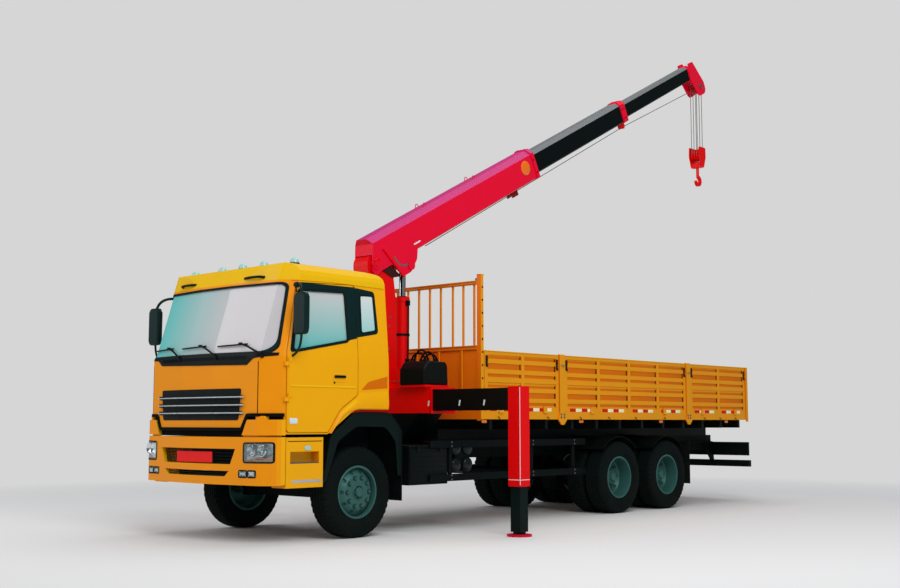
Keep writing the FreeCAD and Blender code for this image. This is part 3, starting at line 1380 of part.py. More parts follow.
def hook_block():
    wheels = [moved(sheave(y), x=HEAD_PIN_X, z=BLOCK_Z) for y in sheave_places()]
    pin = rod_y(24, -BLOCK_HALF_Y - 16, BLOCK_HALF_Y + 16, HEAD_PIN_X, BLOCK_Z)
    cheek = plate_xz([
        (HEAD_PIN_X - 110, BLOCK_Z + 145, 20), (HEAD_PIN_X + 110, BLOCK_Z + 145, 20),
        (HEAD_PIN_X + 120, BLOCK_Z - 30, 60), (HEAD_PIN_X + 50, BLOCK_Z - 235, 30),
        (HEAD_PIN_X - 50, BLOCK_Z - 235, 30), (HEAD_PIN_X - 120, BLOCK_Z - 30, 60),
    ], BLOCK_HALF_Y - 2, BLOCK_HALF_Y + 14)
    yoke = box(HEAD_PIN_X - 55, HEAD_PIN_X + 55, -BLOCK_HALF_Y, BLOCK_HALF_Y,
               BLOCK_Z - 235, BLOCK_Z - 150)
    yoke = yoke.cut(rod(22 + RUN_GAP, (HEAD_PIN_X, 0, BLOCK_Z - 300),
                        (HEAD_PIN_X, 0, BLOCK_Z - 100)))
    return join(*wheels, pin, *both_sides(cheek), yoke)


HOOK_TOP = BLOCK_Z - 144.0
HOOK_T = 26.0
HOOK_STEPS = 18


def hook():
    """Forged hook with its shank and nut; the throat opens forward."""
    centre_z = BLOCK_Z - 235 - 250
    shank = rod(22, (HEAD_PIN_X, 0, centre_z + HOOK_R + 60), (HEAD_PIN_X, 0, HOOK_TOP))
    nut = rod(42, (HEAD_PIN_X, 0, BLOCK_Z - 149.7), (HEAD_PIN_X, 0, BLOCK_Z - 128))
    outer = []
    inner = []
    for i in range(HOOK_STEPS + 1):
        angle = math.radians(87 + 272 * i / HOOK_STEPS)
        taper = 1 if i < HOOK_STEPS - 3 else (HOOK_STEPS - i + 3) / 6
        for side, r in ((outer, HOOK_R + HOOK_T * taper), (inner, HOOK_R - HOOK_T * taper)):
            side.append((HEAD_PIN_X + r * math.cos(angle), centre_z + r * math.sin(angle)))
    bend = plate_xz(outer + inner[::-1], -HOOK_T + 2, HOOK_T - 2)
    neck = bar(28, (HEAD_PIN_X, 0, centre_z + HOOK_R - 10), (HEAD_PIN_X, 0, BLOCK_Z - 250))
    return join(bend, neck, shank, nut)


# Mirrors and roof lamps

MIRROR_X = 1105.0
MIRROR_Y = 1400.0
MIRROR_FEET = ((930, 2850), (1085, 2035))
ROOF_LAMP_X = 840.0
ROOF_LAMPS = (-950.0, -400.0, 0.0, 400.0, 950.0)


def mirror():
    """Bent tube from two feet on the door's front edge, with the mirror head on it."""
    head = plate_xy([(MIRROR_X - 35, MIRROR_Y - 105, 30), (MIRROR_X + 45, MIRROR_Y - 105, 40),
                     (MIRROR_X + 45, MIRROR_Y + 105, 40), (MIRROR_X - 35, MIRROR_Y + 105, 30)],
                    2290, 2750)
    ends = []
    for (x, z), bend_z in zip(MIRROR_FEET, (2840, 2120)):
        knee = (MIRROR_X, MIRROR_Y, bend_z)
        ends.append(bar(15, (x, CAB_SIDE_Y - 85, z), knee))
        ends.append(bar(15, knee, (MIRROR_X, MIRROR_Y, 2500)))
    return join(head, *ends).cut(cab_form(-RUN_GAP))


def roof_lamps():
    skin = cab_form(-RUN_GAP)
    lamps = []
    for y in ROOF_LAMPS:
        lamps.append(bar(48, (ROOF_LAMP_X, y, CAB_ROOF_Z - 40),
                         (ROOF_LAMP_X, y, CAB_ROOF_Z + 50)).cut(skin))
    return lamps


# All nodes, on the common frame

CAB = cab_pieces()

NODES = {
    "frame": frame(),
    "engine": engine(),
    "axles": axles(),
    "bumper": bumper(),
    "lamps": solids_of(*front_lamps(), *tail_lamps()),
    "mudguards": mudguards(),
    "tanks": tanks(),
    "guards": guards(),
    "bed_floor": bed_floor(),
    "headboard": headboard(),
    "bed_posts": bed_posts(),
    "crane_base": crane_base(),
    "crane_controls": crane_controls(),
    "cab_shell": CAB["shell"],
    "cab_glass": CAB["panes"],
    "corner_panels": solids_of(*corner_panels()),
    "grille": grille(),
    "seats": solids_of(seat(520), seat(-520)),
    "dashboard": dashboard(),
    "roof_lamps": solids_of(*roof_lamps()),
    "mirror_left": mirror(),
    "mirror_right": right_of(mirror()),
    "door_left": CAB["door"],
    "door_left_glass": CAB["door_pane"],
    "door_right": right_of(CAB["door"]),
    "door_right_glass": right_of(CAB["door_pane"]),
    "knuckle_left": knuckle(),
    "knuckle_right": right_of(knuckle()),
    "column": column(),
    "boom_base": boom_base(),
    "boom_mid": boom_mid(),
    "boom_tip": boom_tip(),
    "hoist_falls": hoist_falls(),
    "hook_block": hook_block(),
    "hook": hook(),
    "luff_barrel": luff_barrel(),
    "luff_rod": luff_rod(),
    "outrigger_left": outrigger(BEAM_X[0]),
    "leg_left": leg(BEAM_X[0], 0.0),
    "outrigger_right": right_of(outrigger(BEAM_X[1])),
    "leg_right": right_of(leg(BEAM_X[1], LEG_LIFT)),
    "tailgate": tailgate(),
}
FRONT_TYRE = moved(tyre(), y=FRONT_WHEEL_Y, z=TYRE_R)
FRONT_RIM = moved(front_rim(), y=FRONT_WHEEL_Y, z=TYRE_R)
TWIN_TYRES = moved(solids_of(tyre(), moved(tyre(), y=-TWIN_PITCH)), y=TWIN_OUTER_Y, z=TYRE_R)
TWIN_RIMS = moved(twin_rims(), y=TWIN_OUTER_Y, z=TYRE_R)
for axle_name, axle_x, axle_tyre, axle_rim in (
    ("front", 0.0, FRONT_TYRE, FRONT_RIM),
    ("mid", REAR_AXLES[0], TWIN_TYRES, TWIN_RIMS),
    ("rear", REAR_AXLES[1], TWIN_TYRES, TWIN_RIMS),
):
    NODES["tyre_" + axle_name + "_left"] = moved(axle_tyre, x=axle_x)
    NODES["tyre_" + axle_name + "_right"] = moved(right_of(axle_tyre), x=axle_x)
    NODES["rim_" + axle_name + "_left"] = moved(axle_rim, x=axle_x)
    NODES["rim_" + axle_name + "_right"] = moved(right_of(axle_rim), x=axle_x)
for bay_name in BED_BAYS:
    NODES["side_" + bay_name + "_left"] = drop_side(bay_name)
    NODES["side_" + bay_name + "_right"] = right_of(drop_side(bay_name))

EXTENT = Part.makeCompound(list(NODES.values())).BoundBox
ORIGIN_X = (EXTENT.XMin + EXTENT.XMax) / 2

for node_name, node_shape in NODES.items():
    placed = moved(node_shape, x=-ORIGIN_X)
    if not placed.isValid():
        print("not valid:", node_name)
    placed.exportStep("parts/" + node_name + ".step")
print("nodes", len(NODES), "origin", round(ORIGIN_X, 3), "box", EXTENT)
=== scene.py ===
"""Looks of a cab-over flatbed truck with a telescopic loader crane, built round its CAD frame.

Lengths are metres. The truck's own axes are X forward from the front axle, Y to the left and
Z up from the ground; the frame's origin lies SHIFT further back, at the middle of the length.
"""

import logging
import math
from dataclasses import dataclass, field
from enum import Enum

import bpy
import numpy as np
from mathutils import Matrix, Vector

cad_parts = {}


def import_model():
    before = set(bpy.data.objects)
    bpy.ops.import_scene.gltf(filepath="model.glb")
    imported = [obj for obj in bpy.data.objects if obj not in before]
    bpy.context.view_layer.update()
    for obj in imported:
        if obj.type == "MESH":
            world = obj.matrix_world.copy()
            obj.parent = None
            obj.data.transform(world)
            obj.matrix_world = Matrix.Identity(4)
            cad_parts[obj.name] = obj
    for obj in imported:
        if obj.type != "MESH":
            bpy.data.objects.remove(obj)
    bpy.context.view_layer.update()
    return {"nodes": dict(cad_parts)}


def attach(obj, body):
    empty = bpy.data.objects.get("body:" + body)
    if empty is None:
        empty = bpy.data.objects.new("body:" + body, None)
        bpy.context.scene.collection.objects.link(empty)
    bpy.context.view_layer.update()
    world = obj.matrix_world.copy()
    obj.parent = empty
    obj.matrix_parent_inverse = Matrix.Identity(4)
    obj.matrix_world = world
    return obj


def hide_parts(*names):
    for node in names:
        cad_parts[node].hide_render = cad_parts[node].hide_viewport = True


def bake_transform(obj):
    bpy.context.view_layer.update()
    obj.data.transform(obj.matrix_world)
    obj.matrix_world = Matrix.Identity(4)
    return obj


LOG = logging.getLogger("truck")

SHIFT = 4.173968
TAU = 2.0 * math.pi

Array = np.ndarray
Colour = tuple[float, float, float, float]


class Side(Enum):
    """Side of the truck, with the sign of its Y."""

    LEFT = 1.0
    RIGHT = -1.0

    @property
    def word(self) -> str:
        """Lower-case name used in node and body names."""
        return self.name.lower()


def rgb(red: int, green: int, blue: int) -> Colour:
    """Turn display values of 0 to 255 into linear light.

    Args:
        red: Red on the display.
        green: Green on the display.
        blue: Blue on the display.

    Returns:
        The linear colour with alpha 1.
    """
    shown = np.array([red, green, blue]) / 255.0
    linear = np.where(shown <= 0.04045, shown / 12.92, ((shown + 0.055) / 1.055) ** 2.4)
    return (float(linear[0]), float(linear[1]), float(linear[2]), 1.0)


# Surfaces


@dataclass
class Surface:
    """Points and faces of a mesh in the truck's own axes.

    Attributes:
        points: Rows of x, y, z.
        faces: Arrays of point numbers, one row a face; arrays may differ in width.
    """

    points: Array
    faces: list[Array] = field(default_factory=list)

    def moved(self, x: float = 0.0, y: float = 0.0, z: float = 0.0) -> "Surface":
        """Return a copy shifted by x, y and z."""
        return Surface(self.points + np.array([x, y, z]), self.faces)

    def scaled(self, x: float = 1.0, y: float = 1.0, z: float = 1.0) -> "Surface":
        """Return a copy scaled about the origin, turned outward again if it was mirrored."""
        faces = self.faces
        if x * y * z < 0:
            faces = [f[:, ::-1] for f in faces]
        return Surface(self.points * np.array([x, y, z]), faces)

    def rotated(self, axis: int, degrees: float) -> "Surface":
        """Return a copy turned about a coordinate axis.

        Args:
            axis: 0 for X, 1 for Y, 2 for Z.
            degrees: Right-handed angle.

        Returns:
            The turned copy.
        """
        first, second = ((1, 2), (2, 0), (0, 1))[axis]
        angle = math.radians(degrees)
        points = self.points.copy()
        a, b = self.points[:, first], self.points[:, second]
        points[:, first] = a * math.cos(angle) - b * math.sin(angle)
        points[:, second] = a * math.sin(angle) + b * math.cos(angle)
        return Surface(points, self.faces)

    def repeated(self, offsets: Array) -> "Surface":
        """Return one surface made of a copy at each row of offsets."""
        offsets = np.asarray(offsets, float).reshape(-1, 3)
        count = len(self.points)
        points = (self.points[None] + offsets[:, None]).reshape(-1, 3)
        steps = np.arange(len(offsets)) * count
        faces = [(f[None] + steps[:, None, None]).reshape(-1, f.shape[1]) for f in self.faces]
        return Surface(points, faces)

    def outward(self) -> "Surface":
        """Return the surface with its faces turned outward, by the sign of its volume."""
        volume = 0.0
        for f in self.faces:
            first = self.points[f[:, 0]]
            for k in range(1, f.shape[1] - 1):
                second, third = self.points[f[:, k]], self.points[f[:, k + 1]]
                volume += float(np.einsum("ij,ij->", first, np.cross(second, third)))
        if volume < 0:
            return Surface(self.points, [f[:, ::-1] for f in self.faces])
        return self


def merged(*surfaces: Surface) -> Surface:
    """Put several surfaces into one.

    Args:
        *surfaces: The surfaces.

    Returns:
        One surface with all points and faces.
    """
    faces, start = [], 0
    for s in surfaces:
        faces += [f + start for f in s.faces]
        start += len(s.points)
    return Surface(np.concatenate([s.points for s in surfaces]), faces)


def net(points: Array, wrap_u: bool = False, wrap_v: bool = False) -> Surface:
    """Join a grid of points into quads.

    Args:
        points: Array of shape (u, v, 3).
        wrap_u: Join the last row to the first.
        wrap_v: Join the last column to the first.

    Returns:
        The surface; a quad has corners (i, j), (i+1, j), (i+1, j+1), (i, j+1).
    """
    nu, nv = points.shape[:2]
    i, j = np.meshgrid(np.arange(nu if wrap_u else nu - 1),
                       np.arange(nv if wrap_v else nv - 1), indexing="ij")
    i, j = i.ravel(), j.ravel()
    after, beside = (i + 1) % nu, (j + 1) % nv
    quads = np.stack([i * nv + j, after * nv + j, after * nv + beside, i * nv + beside], axis=1)
    return Surface(points.reshape(-1, 3), [quads])


def sweep(rings: Array, closed: bool = False) -> Surface:
    """Skin a run of rings, with a flat cap on each open end.

    Args:
        rings: Array of shape (ring, point, 3).
        closed: Join the last ring to the first instead of capping.

    Returns:
        A closed surface that faces outward.
    """
    surface = net(rings, wrap_u=closed, wrap_v=True)
    if not closed:
        count = rings.shape[1]
        first = np.arange(count)[None]
        last = (np.arange(count) + (len(rings) - 1) * count)[None]
        surface.faces += [first[:, ::-1], last]
    return surface.outward()


def turned(profile: list[tuple[float, float]], axis: int = 1, segments: int = 48,
           closed: bool = True) -> Surface:
    """Turn a profile round a coordinate axis through the origin.

    A point of radius r and place a along the axis goes to (r cos t, r sin t) across it, for t
    round the full circle.

    Args:
        profile: Pairs of radius and place along the axis.
        axis: 0 for X, 1 for Y, 2 for Z.
        segments: Steps round the circle.
        closed: Join the profile's end to its start.

    Returns:
        The turned surface.
    """
    pairs = np.asarray(profile, float)
    t = np.linspace(0.0, TAU, segments, endpoint=False)
    points = np.empty((segments, len(pairs), 3))
    points[..., axis] = pairs[None, :, 1]
    points[..., (axis + 1) % 3] = np.cos(t)[:, None] * pairs[None, :, 0]
    points[..., (axis + 2) % 3] = np.sin(t)[:, None] * pairs[None, :, 0]
    surface = net(points, wrap_u=True, wrap_v=closed)
    return surface.outward() if closed else surface


def rounded(width: float, height: float, radius: float, steps: int = 5) -> Array:
    """Outline of a rectangle with round corners, about the origin.

    Args:
        width: Size along the first axis.
        height: Size along the second axis.
        radius: Corner radius.
        steps: Points in each corner.

    Returns:
        Array of (first, second) pairs, anticlockwise.
    """
    t = np.linspace(0.0, math.pi / 2, steps)
    quarter = np.stack([np.cos(t), np.sin(t)], axis=1) * radius
    corner = np.array([width / 2 - radius, height / 2 - radius])
    turns = [np.array([[1, 0], [0, 1]]), np.array([[0, -1], [1, 0]]),
             np.array([[-1, 0], [0, -1]]), np.array([[0, 1], [-1, 0]])]
    places = [(1, 1), (-1, 1), (-1, -1), (1, -1)]
    return np.concatenate([quarter @ t.T + corner * p for t, p in zip(turns, places)])


def plate(outline: Array, axis: int, low: float, high: float, bevel: float = 0.0) -> Surface:
    """Thicken a flat outline along an axis, with its edges drawn in at both faces.

    Args:
        outline: Pairs on the two axes that follow the given one in x, y, z, x order.
        axis: 0 for X, 1 for Y, 2 for Z.
        low: First face along the axis.
        high: Second face along the axis.
        bevel: How far the edges are drawn in.

    Returns:
        A closed surface.
    """
    outline = np.asarray(outline, float)
    centre = outline.mean(axis=0)
    reach = np.abs(outline - centre).max(axis=0)
    drawn = centre + (outline - centre) * (1 - bevel / np.maximum(reach, bevel + 1e-4))
    levels = [(drawn, low), (outline, low + bevel), (outline, high - bevel), (drawn, high)]
    if bevel <= 0:
        levels = [(outline, low), (outline, high)]
    rings = np.empty((len(levels), len(outline), 3))
    for k, (shape, place) in enumerate(levels):
        rings[k, :, axis] = place
        rings[k, :, (axis + 1) % 3] = shape[:, 0]
        rings[k, :, (axis + 2) % 3] = shape[:, 1]
    return sweep(rings)


def block(low: tuple[float, float, float], high: tuple[float, float, float],
          radius: float = 0.004) -> Surface:
    """Box with its upright edges rounded and its other edges drawn in.

    Args:
        low: Lowest corner.
        high: Highest corner.
        radius: Size of the rounds.

    Returns:
        A closed surface.
    """
    a, b = np.array(low, float), np.array(high, float)
    size, centre = b - a, (a + b) / 2
    radius = min(radius, 0.45 * float(size.min()))
    outline = rounded(size[0], size[1], radius, 3) + centre[:2]
    return plate(outline, 2, a[2], b[2], radius * 0.6)


def tube(path: Array, radius: float, up: tuple[float, float, float] = (0.0, 0.0, 1.0),
         sides: int = 10) -> Surface:
    """Round tube along a path, its rings square to the path's direction.

    Args:
        path: Rows of x, y, z.
        radius: Radius of the tube.
        up: A direction that the path never takes, from which each ring's axes come.
        sides: Points in a ring.

    Returns:
        A closed surface.
    """
    path = np.asarray(path, float)
    along = np.gradient(path, axis=0)
    along /= np.linalg.norm(along, axis=1, keepdims=True)
    across = np.cross(along, np.array(up))
    across /= np.linalg.norm(across, axis=1, keepdims=True)
    other = np.cross(along, across)
    t = np.linspace(0.0, TAU, sides, endpoint=False)
    rings = path[:, None] + radius * (np.cos(t)[None, :, None] * across[:, None]
                                      + np.sin(t)[None, :, None] * other[:, None])
    return sweep(rings)


def bow(points: list[tuple[float, float, float]], steps: int = 24) -> Array:
    """Smooth path through the weights of a Bezier curve of any degree.

    Args:
        points: Control points; the path starts at the first and ends at the last.
        steps: Rows of the path.

    Returns:
        Rows of x, y, z.
    """
    weights = np.asarray(points, float)
    degree = len(weights) - 1
    t = np.linspace(0.0, 1.0, steps)[:, None]
    powers = np.arange(degree + 1)[None]
    choose = np.array([math.comb(degree, k) for k in range(degree + 1)])
    return (choose * t ** powers * (1 - t) ** (degree - powers)) @ weights


def place(name: str, surface: Surface, body: str, look: bpy.types.Material, slot: str = "",
          smooth: float = 0.6, bevel: float = 0.0) -> bpy.types.Object:
    """Make an object of a surface and let it ride on a body.

    Args:
        name: Name of the piece.
        surface: Its shape in the truck's own axes.
        body: Body that it moves with, or nothing if it stretches between two.
        look: Its material.
        slot: Material slot of the record it takes its finish from; not used.
        smooth: Largest angle, in radians, between faces that shade as one.
        bevel: Width of a bevel modifier, or 0 for none.

    Returns:
        The new object.
    """
    points = surface.points + np.array([SHIFT, 0.0, 0.0])
    mesh = bpy.data.meshes.new(name)
    mesh.from_pydata(points.tolist(), [], [row for f in surface.faces for row in f.tolist()])
    mesh.validate()
    mesh.update()
    mesh.shade_smooth()
    mesh.set_sharp_from_angle(angle=smooth)
    mesh.materials.append(look)
    piece = bpy.data.objects.new(name, mesh)
    bpy.context.scene.collection.objects.link(piece)
    if bevel > 0:
        edge = piece.modifiers.new("edge", "BEVEL")
        edge.width = bevel
        edge.segments = 2
        edge.limit_method = "ANGLE"
    if body:
        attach(piece, body)
    LOG.info("%s: %d faces on %s", name, len(mesh.polygons), body)
    return piece


# Shader helpers


class Nodes:
    """Short way to add and link nodes of one tree."""

    def __init__(self, tree: bpy.types.NodeTree) -> None:
        """Keep the tree and start it empty.

        Args:
            tree: Node tree of a material or group.
        """
        self.tree = tree
        tree.nodes.clear()

    def add(self, kind: str, inputs: dict | None = None, **settings) -> bpy.types.Node:
        """Add a node.

        Args:
            kind: Its type name.
            inputs: Values or sockets by input name or number.
            **settings: Properties of the node.

        Returns:
            The node.
        """
        node = self.tree.nodes.new(kind)
        for key, value in settings.items():
            setattr(node, key, value)
        for key, value in (inputs or {}).items():
            if isinstance(value, bpy.types.NodeSocket):
                self.tree.links.new(value, node.inputs[key])
            else:
                node.inputs[key].default_value = value
        return node

    def math(self, operation: str, *values) -> bpy.types.NodeSocket:
        """Add a math node and return its result."""
        node = self.add("ShaderNodeMath", dict(enumerate(values)), operation=operation)
        return node.outputs[0]

    def mix(self, share, first, second) -> bpy.types.NodeSocket:
        """Mix two colours by share and return the result."""
        node = self.add("ShaderNodeMix", {0: share, 6: first, 7: second}, data_type="RGBA")
        return node.outputs[2]

    def span(self, value, low: float, high: float, to_low: float = 0.0,
             to_high: float = 1.0) -> bpy.types.NodeSocket:
        """Map low..high to to_low..to_high, clamped, and return the result."""
        node = self.add("ShaderNodeMapRange", {0: value, 1: low, 2: high, 3: to_low, 4: to_high})
        return node.outputs[0]


def group(name: str, inputs: list[tuple[str, str, object]],
          outputs: list[tuple[str, str]]) -> tuple[bpy.types.NodeTree, Nodes, dict, object]:
    """Start a shader node group.

    Args:
        name: Name of the group.
        inputs: Name, socket type and default of each input.
        outputs: Name and socket type of each output.

    Returns:
        The tree, its node helper, its input sockets by name and its output node.
    """
    tree = bpy.data.node_groups.new(name, "ShaderNodeTree")
    nodes = Nodes(tree)
    for label, kind, default in inputs:
        socket = tree.interface.new_socket(name=label, in_out="INPUT", socket_type=kind)
        socket.default_value = default
    for label, kind in outputs:
        tree.interface.new_socket(name=label, in_out="OUTPUT", socket_type=kind)
    start = nodes.add("NodeGroupInput")
    end = nodes.add("NodeGroupOutput")
    return tree, nodes, {s.name: s for s in start.outputs if s.name}, end


FLOAT, COLOUR, NORMAL = "NodeSocketFloat", "NodeSocketColor", "NodeSocketVector"


class Effects:
    """Node groups for what several finishes share: tone, road dust, fine bumps, zones and painted light by
    facing.
    """

    def __init__(self) -> None:
        """Build every group."""
        self.tone = self._tone()
        self.dust = self._dust()
        self.grain = self._grain()
        self.zone = self._zone()
        self.facing = self._facing()

    @staticmethod
    def _tone() -> bpy.types.NodeTree:
        """Vary a colour's value in large soft clouds and small specks."""
        tree, n, given, end = group(
            "tone", [("Colour", COLOUR, (0.5, 0.5, 0.5, 1)), ("Amount", FLOAT, 0.06),
                     ("Scale", FLOAT, 1.5)], [("Colour", COLOUR), ("Cloud", FLOAT)])
        place_at = n.add("ShaderNodeTexCoord").outputs["Object"]
        cloud = n.add("ShaderNodeTexNoise", {"Vector": place_at, "Scale": given["Scale"],
                                             "Detail": 5.0, "Roughness": 0.6}).outputs[0]
        speck = n.add("ShaderNodeTexNoise", {"Vector": place_at, "Scale": 60.0,
                                             "Detail": 2.0}).outputs[0]
        both = n.math("MULTIPLY_ADD", speck, 0.3, cloud)
        swing = n.math("MULTIPLY", n.math("SUBTRACT", both, 0.65), given["Amount"])
        value = n.math("ADD", 1.0, n.math("MULTIPLY", swing, 2.0))
        shifted = n.add("ShaderNodeHueSaturation", {"Value": value, "Color": given["Colour"]})
        n.tree.links.new(shifted.outputs[0], end.inputs["Colour"])
        n.tree.links.new(cloud, end.inputs["Cloud"])
        return tree

    @staticmethod
    def _dust() -> bpy.types.NodeTree:
        """Mask of road dust: strong near the ground, broken up by noise, gone at a height."""
        tree, n, given, end = group(
            "dust", [("Height", FLOAT, 1.2), ("Amount", FLOAT, 0.5)], [("Mask", FLOAT)])
        place_at = n.add("ShaderNodeTexCoord").outputs["Object"]
        z = n.add("ShaderNodeSeparateXYZ", {0: place_at}).outputs[2]
        low = n.add("ShaderNodeMapRange", {0: z, 1: 0.0, 2: given["Height"], 3: 1.0,
                                           4: 0.0}).outputs[0]
        noise = n.add("ShaderNodeTexNoise", {"Vector": place_at, "Scale": 7.0, "Detail": 8.0,
                                             "Roughness": 0.7}).outputs[0]
        broken = n.math("MULTIPLY", low, n.span(noise, 0.35, 0.7))
        n.tree.links.new(n.math("MULTIPLY", broken, given["Amount"]), end.inputs["Mask"])
        return tree

    @staticmethod
    def _grain() -> bpy.types.NodeTree:
        """Normal with fine grain, as of sprayed paint, cast iron or moulded plastic."""
        tree, n, given, end = group(
            "grain", [("Scale", FLOAT, 300.0), ("Strength", FLOAT, 0.05),
                      ("Distance", FLOAT, 0.001)], [("Normal", NORMAL), ("Height", FLOAT)])
        place_at = n.add("ShaderNodeTexCoord").outputs["Object"]
        noise = n.add("ShaderNodeTexNoise", {"Vector": place_at, "Scale": given["Scale"],
                                             "Detail": 3.0}).outputs[0]
        bump = n.add("ShaderNodeBump", {"Strength": given["Strength"], "Height": noise,
                                        "Distance": given["Distance"]})
        n.tree.links.new(bump.outputs[0], end.inputs["Normal"])
        n.tree.links.new(noise, end.inputs["Height"])
        return tree

    @staticmethod
    def _facing() -> bpy.types.NodeTree:
        """0 for faces square to a direction, 1 for faces turned to it, soft between; the finishes paint
        light and shade with it.
        """
        tree, n, given, end = group("facing", [("Direction", NORMAL, (0, 0, 1))],
                                    [("Share", FLOAT)])
        normal = n.add("ShaderNodeTexCoord").outputs["Normal"]
        turn = n.add("ShaderNodeVectorMath", {0: normal, 1: given["Direction"]},
                     operation="DOT_PRODUCT").outputs["Value"]
        n.tree.links.new(n.span(turn, 0.15, 0.65), end.inputs["Share"])
        return tree

    @staticmethod
    def _zone() -> bpy.types.NodeTree:
        """1 where a place lies between two distances along a direction, else 0."""
        tree, n, given, end = group(
            "zone", [("Direction", NORMAL, (1, 0, 0)), ("From", FLOAT, 0.0),
                     ("To", FLOAT, 1.0)], [("Mask", FLOAT)])
        place_at = n.add("ShaderNodeTexCoord").outputs["Object"]
        along = n.add("ShaderNodeVectorMath", {0: place_at, 1: given["Direction"]},
                      operation="DOT_PRODUCT").outputs["Value"]
        inside = n.math("MULTIPLY", n.math("GREATER_THAN", along, given["From"]),
                        n.math("LESS_THAN", along, given["To"]))
        n.tree.links.new(inside, end.inputs["Mask"])
        return tree


@dataclass(frozen=True)
class Zone:
    """A stretch of a piece with its own colour.

    Attributes:
        colour: Linear colour inside the stretch.
        direction: Unit direction in the frame's axes.
        start: Lower distance along it.
        end: Upper distance along it.
    """

    colour: Colour
    direction: tuple[float, float, float]
    start: float
    end: float


@dataclass(frozen=True)
class Finish:
    """An opaque finish.

    Attributes:
        name: Name of the material.
        colour: Linear base colour.
        roughness: Roughness of clean surface.
        metallic: Metal share.
        coat: Clear coat weight.
        shine: Strength of the plain reflection.
        upper: Colour that faces turned up shift to, a painted highlight.
        ahead: Colour that faces turned forward shift to, a painted shade.
        tone: Swing of the tone effect.
        dust: Strength of road dust.
        dust_height: Height where dust ends.
        grain: Strength of the grain.
        grain_scale: Scale of the grain.
        zones: Stretches with their own colour.
    """

    name: str
    colour: Colour
    roughness: float = 0.4
    metallic: float = 0.0
    coat: float = 0.0
    shine: float = 0.25
    upper: Colour | None = None
    ahead: Colour | None = None
    tone: float = 0.05
    dust: float = 0.35
    dust_height: float = 1.1
    grain: float = 0.05
    grain_scale: float = 260.0
    zones: tuple[Zone, ...] = ()

    def build(self, effects: Effects) -> bpy.types.Material:
        """Make the material.

        Args:
            effects: The shared node groups.

        Returns:
            The material.
        """
        look = bpy.data.materials.new(self.name)
        look.use_nodes = True
        n = Nodes(look.node_tree)
        colour = self.colour
        # Painted light: faces turned up shift to the upper colour as a painted highlight, faces turned
        # forward to the ahead colour as a painted shade.
        for shift, direction in ((self.upper, (0.0, 0.0, 1.0)), (self.ahead, (1.0, 0.0, 0.0))):
            if shift is not None:
                facing = n.add("ShaderNodeGroup", node_tree=effects.facing)
                facing.inputs["Direction"].default_value = direction
                colour = n.mix(facing.outputs[0], colour, shift)
        for zone in self.zones:
            mask = n.add("ShaderNodeGroup", node_tree=effects.zone)
            mask.inputs["Direction"].default_value = zone.direction
            mask.inputs["From"].default_value = zone.start
            mask.inputs["To"].default_value = zone.end
            colour = n.mix(mask.outputs[0], colour, zone.colour)
        tone = n.add("ShaderNodeGroup", {}, node_tree=effects.tone)
        if isinstance(colour, bpy.types.NodeSocket):
            n.tree.links.new(colour, tone.inputs["Colour"])
        else:
            tone.inputs["Colour"].default_value = colour
        tone.inputs["Amount"].default_value = self.tone
        dust = n.add("ShaderNodeGroup", node_tree=effects.dust)
        dust.inputs["Amount"].default_value = self.dust
        dust.inputs["Height"].default_value = self.dust_height
        grain = n.add("ShaderNodeGroup", node_tree=effects.grain)
        grain.inputs["Strength"].default_value = self.grain
        grain.inputs["Scale"].default_value = self.grain_scale
        base = n.mix(dust.outputs[0], tone.outputs[0], rgb(58, 56, 50))
        rough = n.math("MULTIPLY_ADD", dust.outputs[0], 0.5, self.roughness)
        rough = n.math("MULTIPLY_ADD", tone.outputs["Cloud"], 0.08, rough)
        shader = n.add("ShaderNodeBsdfPrincipled", {
            "Base Color": base, "Roughness": rough, "Metallic": self.metallic,
            "Coat Weight": self.coat, "Coat Roughness": 0.08, "Specular IOR Level": self.shine,
            "Normal": grain.outputs["Normal"]})
        n.add("ShaderNodeOutputMaterial", {0: shader.outputs[0]})
        return look


@dataclass(frozen=True)
class Pane:
    """A tinted glass under a painted reflection that changes from one colour to another.

    Attributes:
        name: Name of the material.
        tint: Colour of what shows through.
        first: Colour of the painted reflection where it starts.
        last: Colour of the painted reflection where it ends.
        cover: Share of the painted reflection.
        direction: Direction in which it changes.
        start: Distance along it where the change starts.
        end: Distance along it where the change ends.
    """

    name: str
    tint: Colour
    first: Colour
    last: Colour
    cover: float
    direction: tuple[float, float, float]
    start: float
    end: float

    def build(self, effects: Effects) -> bpy.types.Material:
        """Make the material.

        Args:
            effects: The shared node groups.

        Returns:
            The material.
        """
        look = bpy.data.materials.new(self.name)
        look.use_nodes = True
        n = Nodes(look.node_tree)
        place_at = n.add("ShaderNodeTexCoord").outputs["Object"]
        along = n.add("ShaderNodeVectorMath", {0: place_at, 1: self.direction},
                      operation="DOT_PRODUCT").outputs["Value"]
        colour = n.mix(n.span(along, self.start, self.end), self.first, self.last)
        tone = n.add("ShaderNodeGroup", {"Colour": colour}, node_tree=effects.tone)
        tone.inputs["Amount"].default_value = 0.04
        through = n.add("ShaderNodeBsdfTransparent", {0: self.tint})
        # Opaque layer graded from one colour to another: a painted reflection over the glass.
        painted_reflection = n.add("ShaderNodeBsdfPrincipled", {
            "Base Color": tone.outputs[0], "Roughness": 0.08, "Specular IOR Level": 0.3,
            "Coat Weight": 0.3, "Coat Roughness": 0.02})
        edge = n.add("ShaderNodeFresnel", {"IOR": 1.45}).outputs[0]
        share = n.math("ADD", n.math("MULTIPLY", edge, 0.5), self.cover)
        both = n.add("ShaderNodeMixShader", {0: share, 1: through.outputs[0],
                                             2: painted_reflection.outputs[0]})
        n.add("ShaderNodeOutputMaterial", {0: both.outputs[0]})
        return look


YELLOW = rgb(232, 164, 0)
# Painted shade for the yellow paint's faces turned forward.
YELLOW_SHADE = rgb(230, 140, 0)
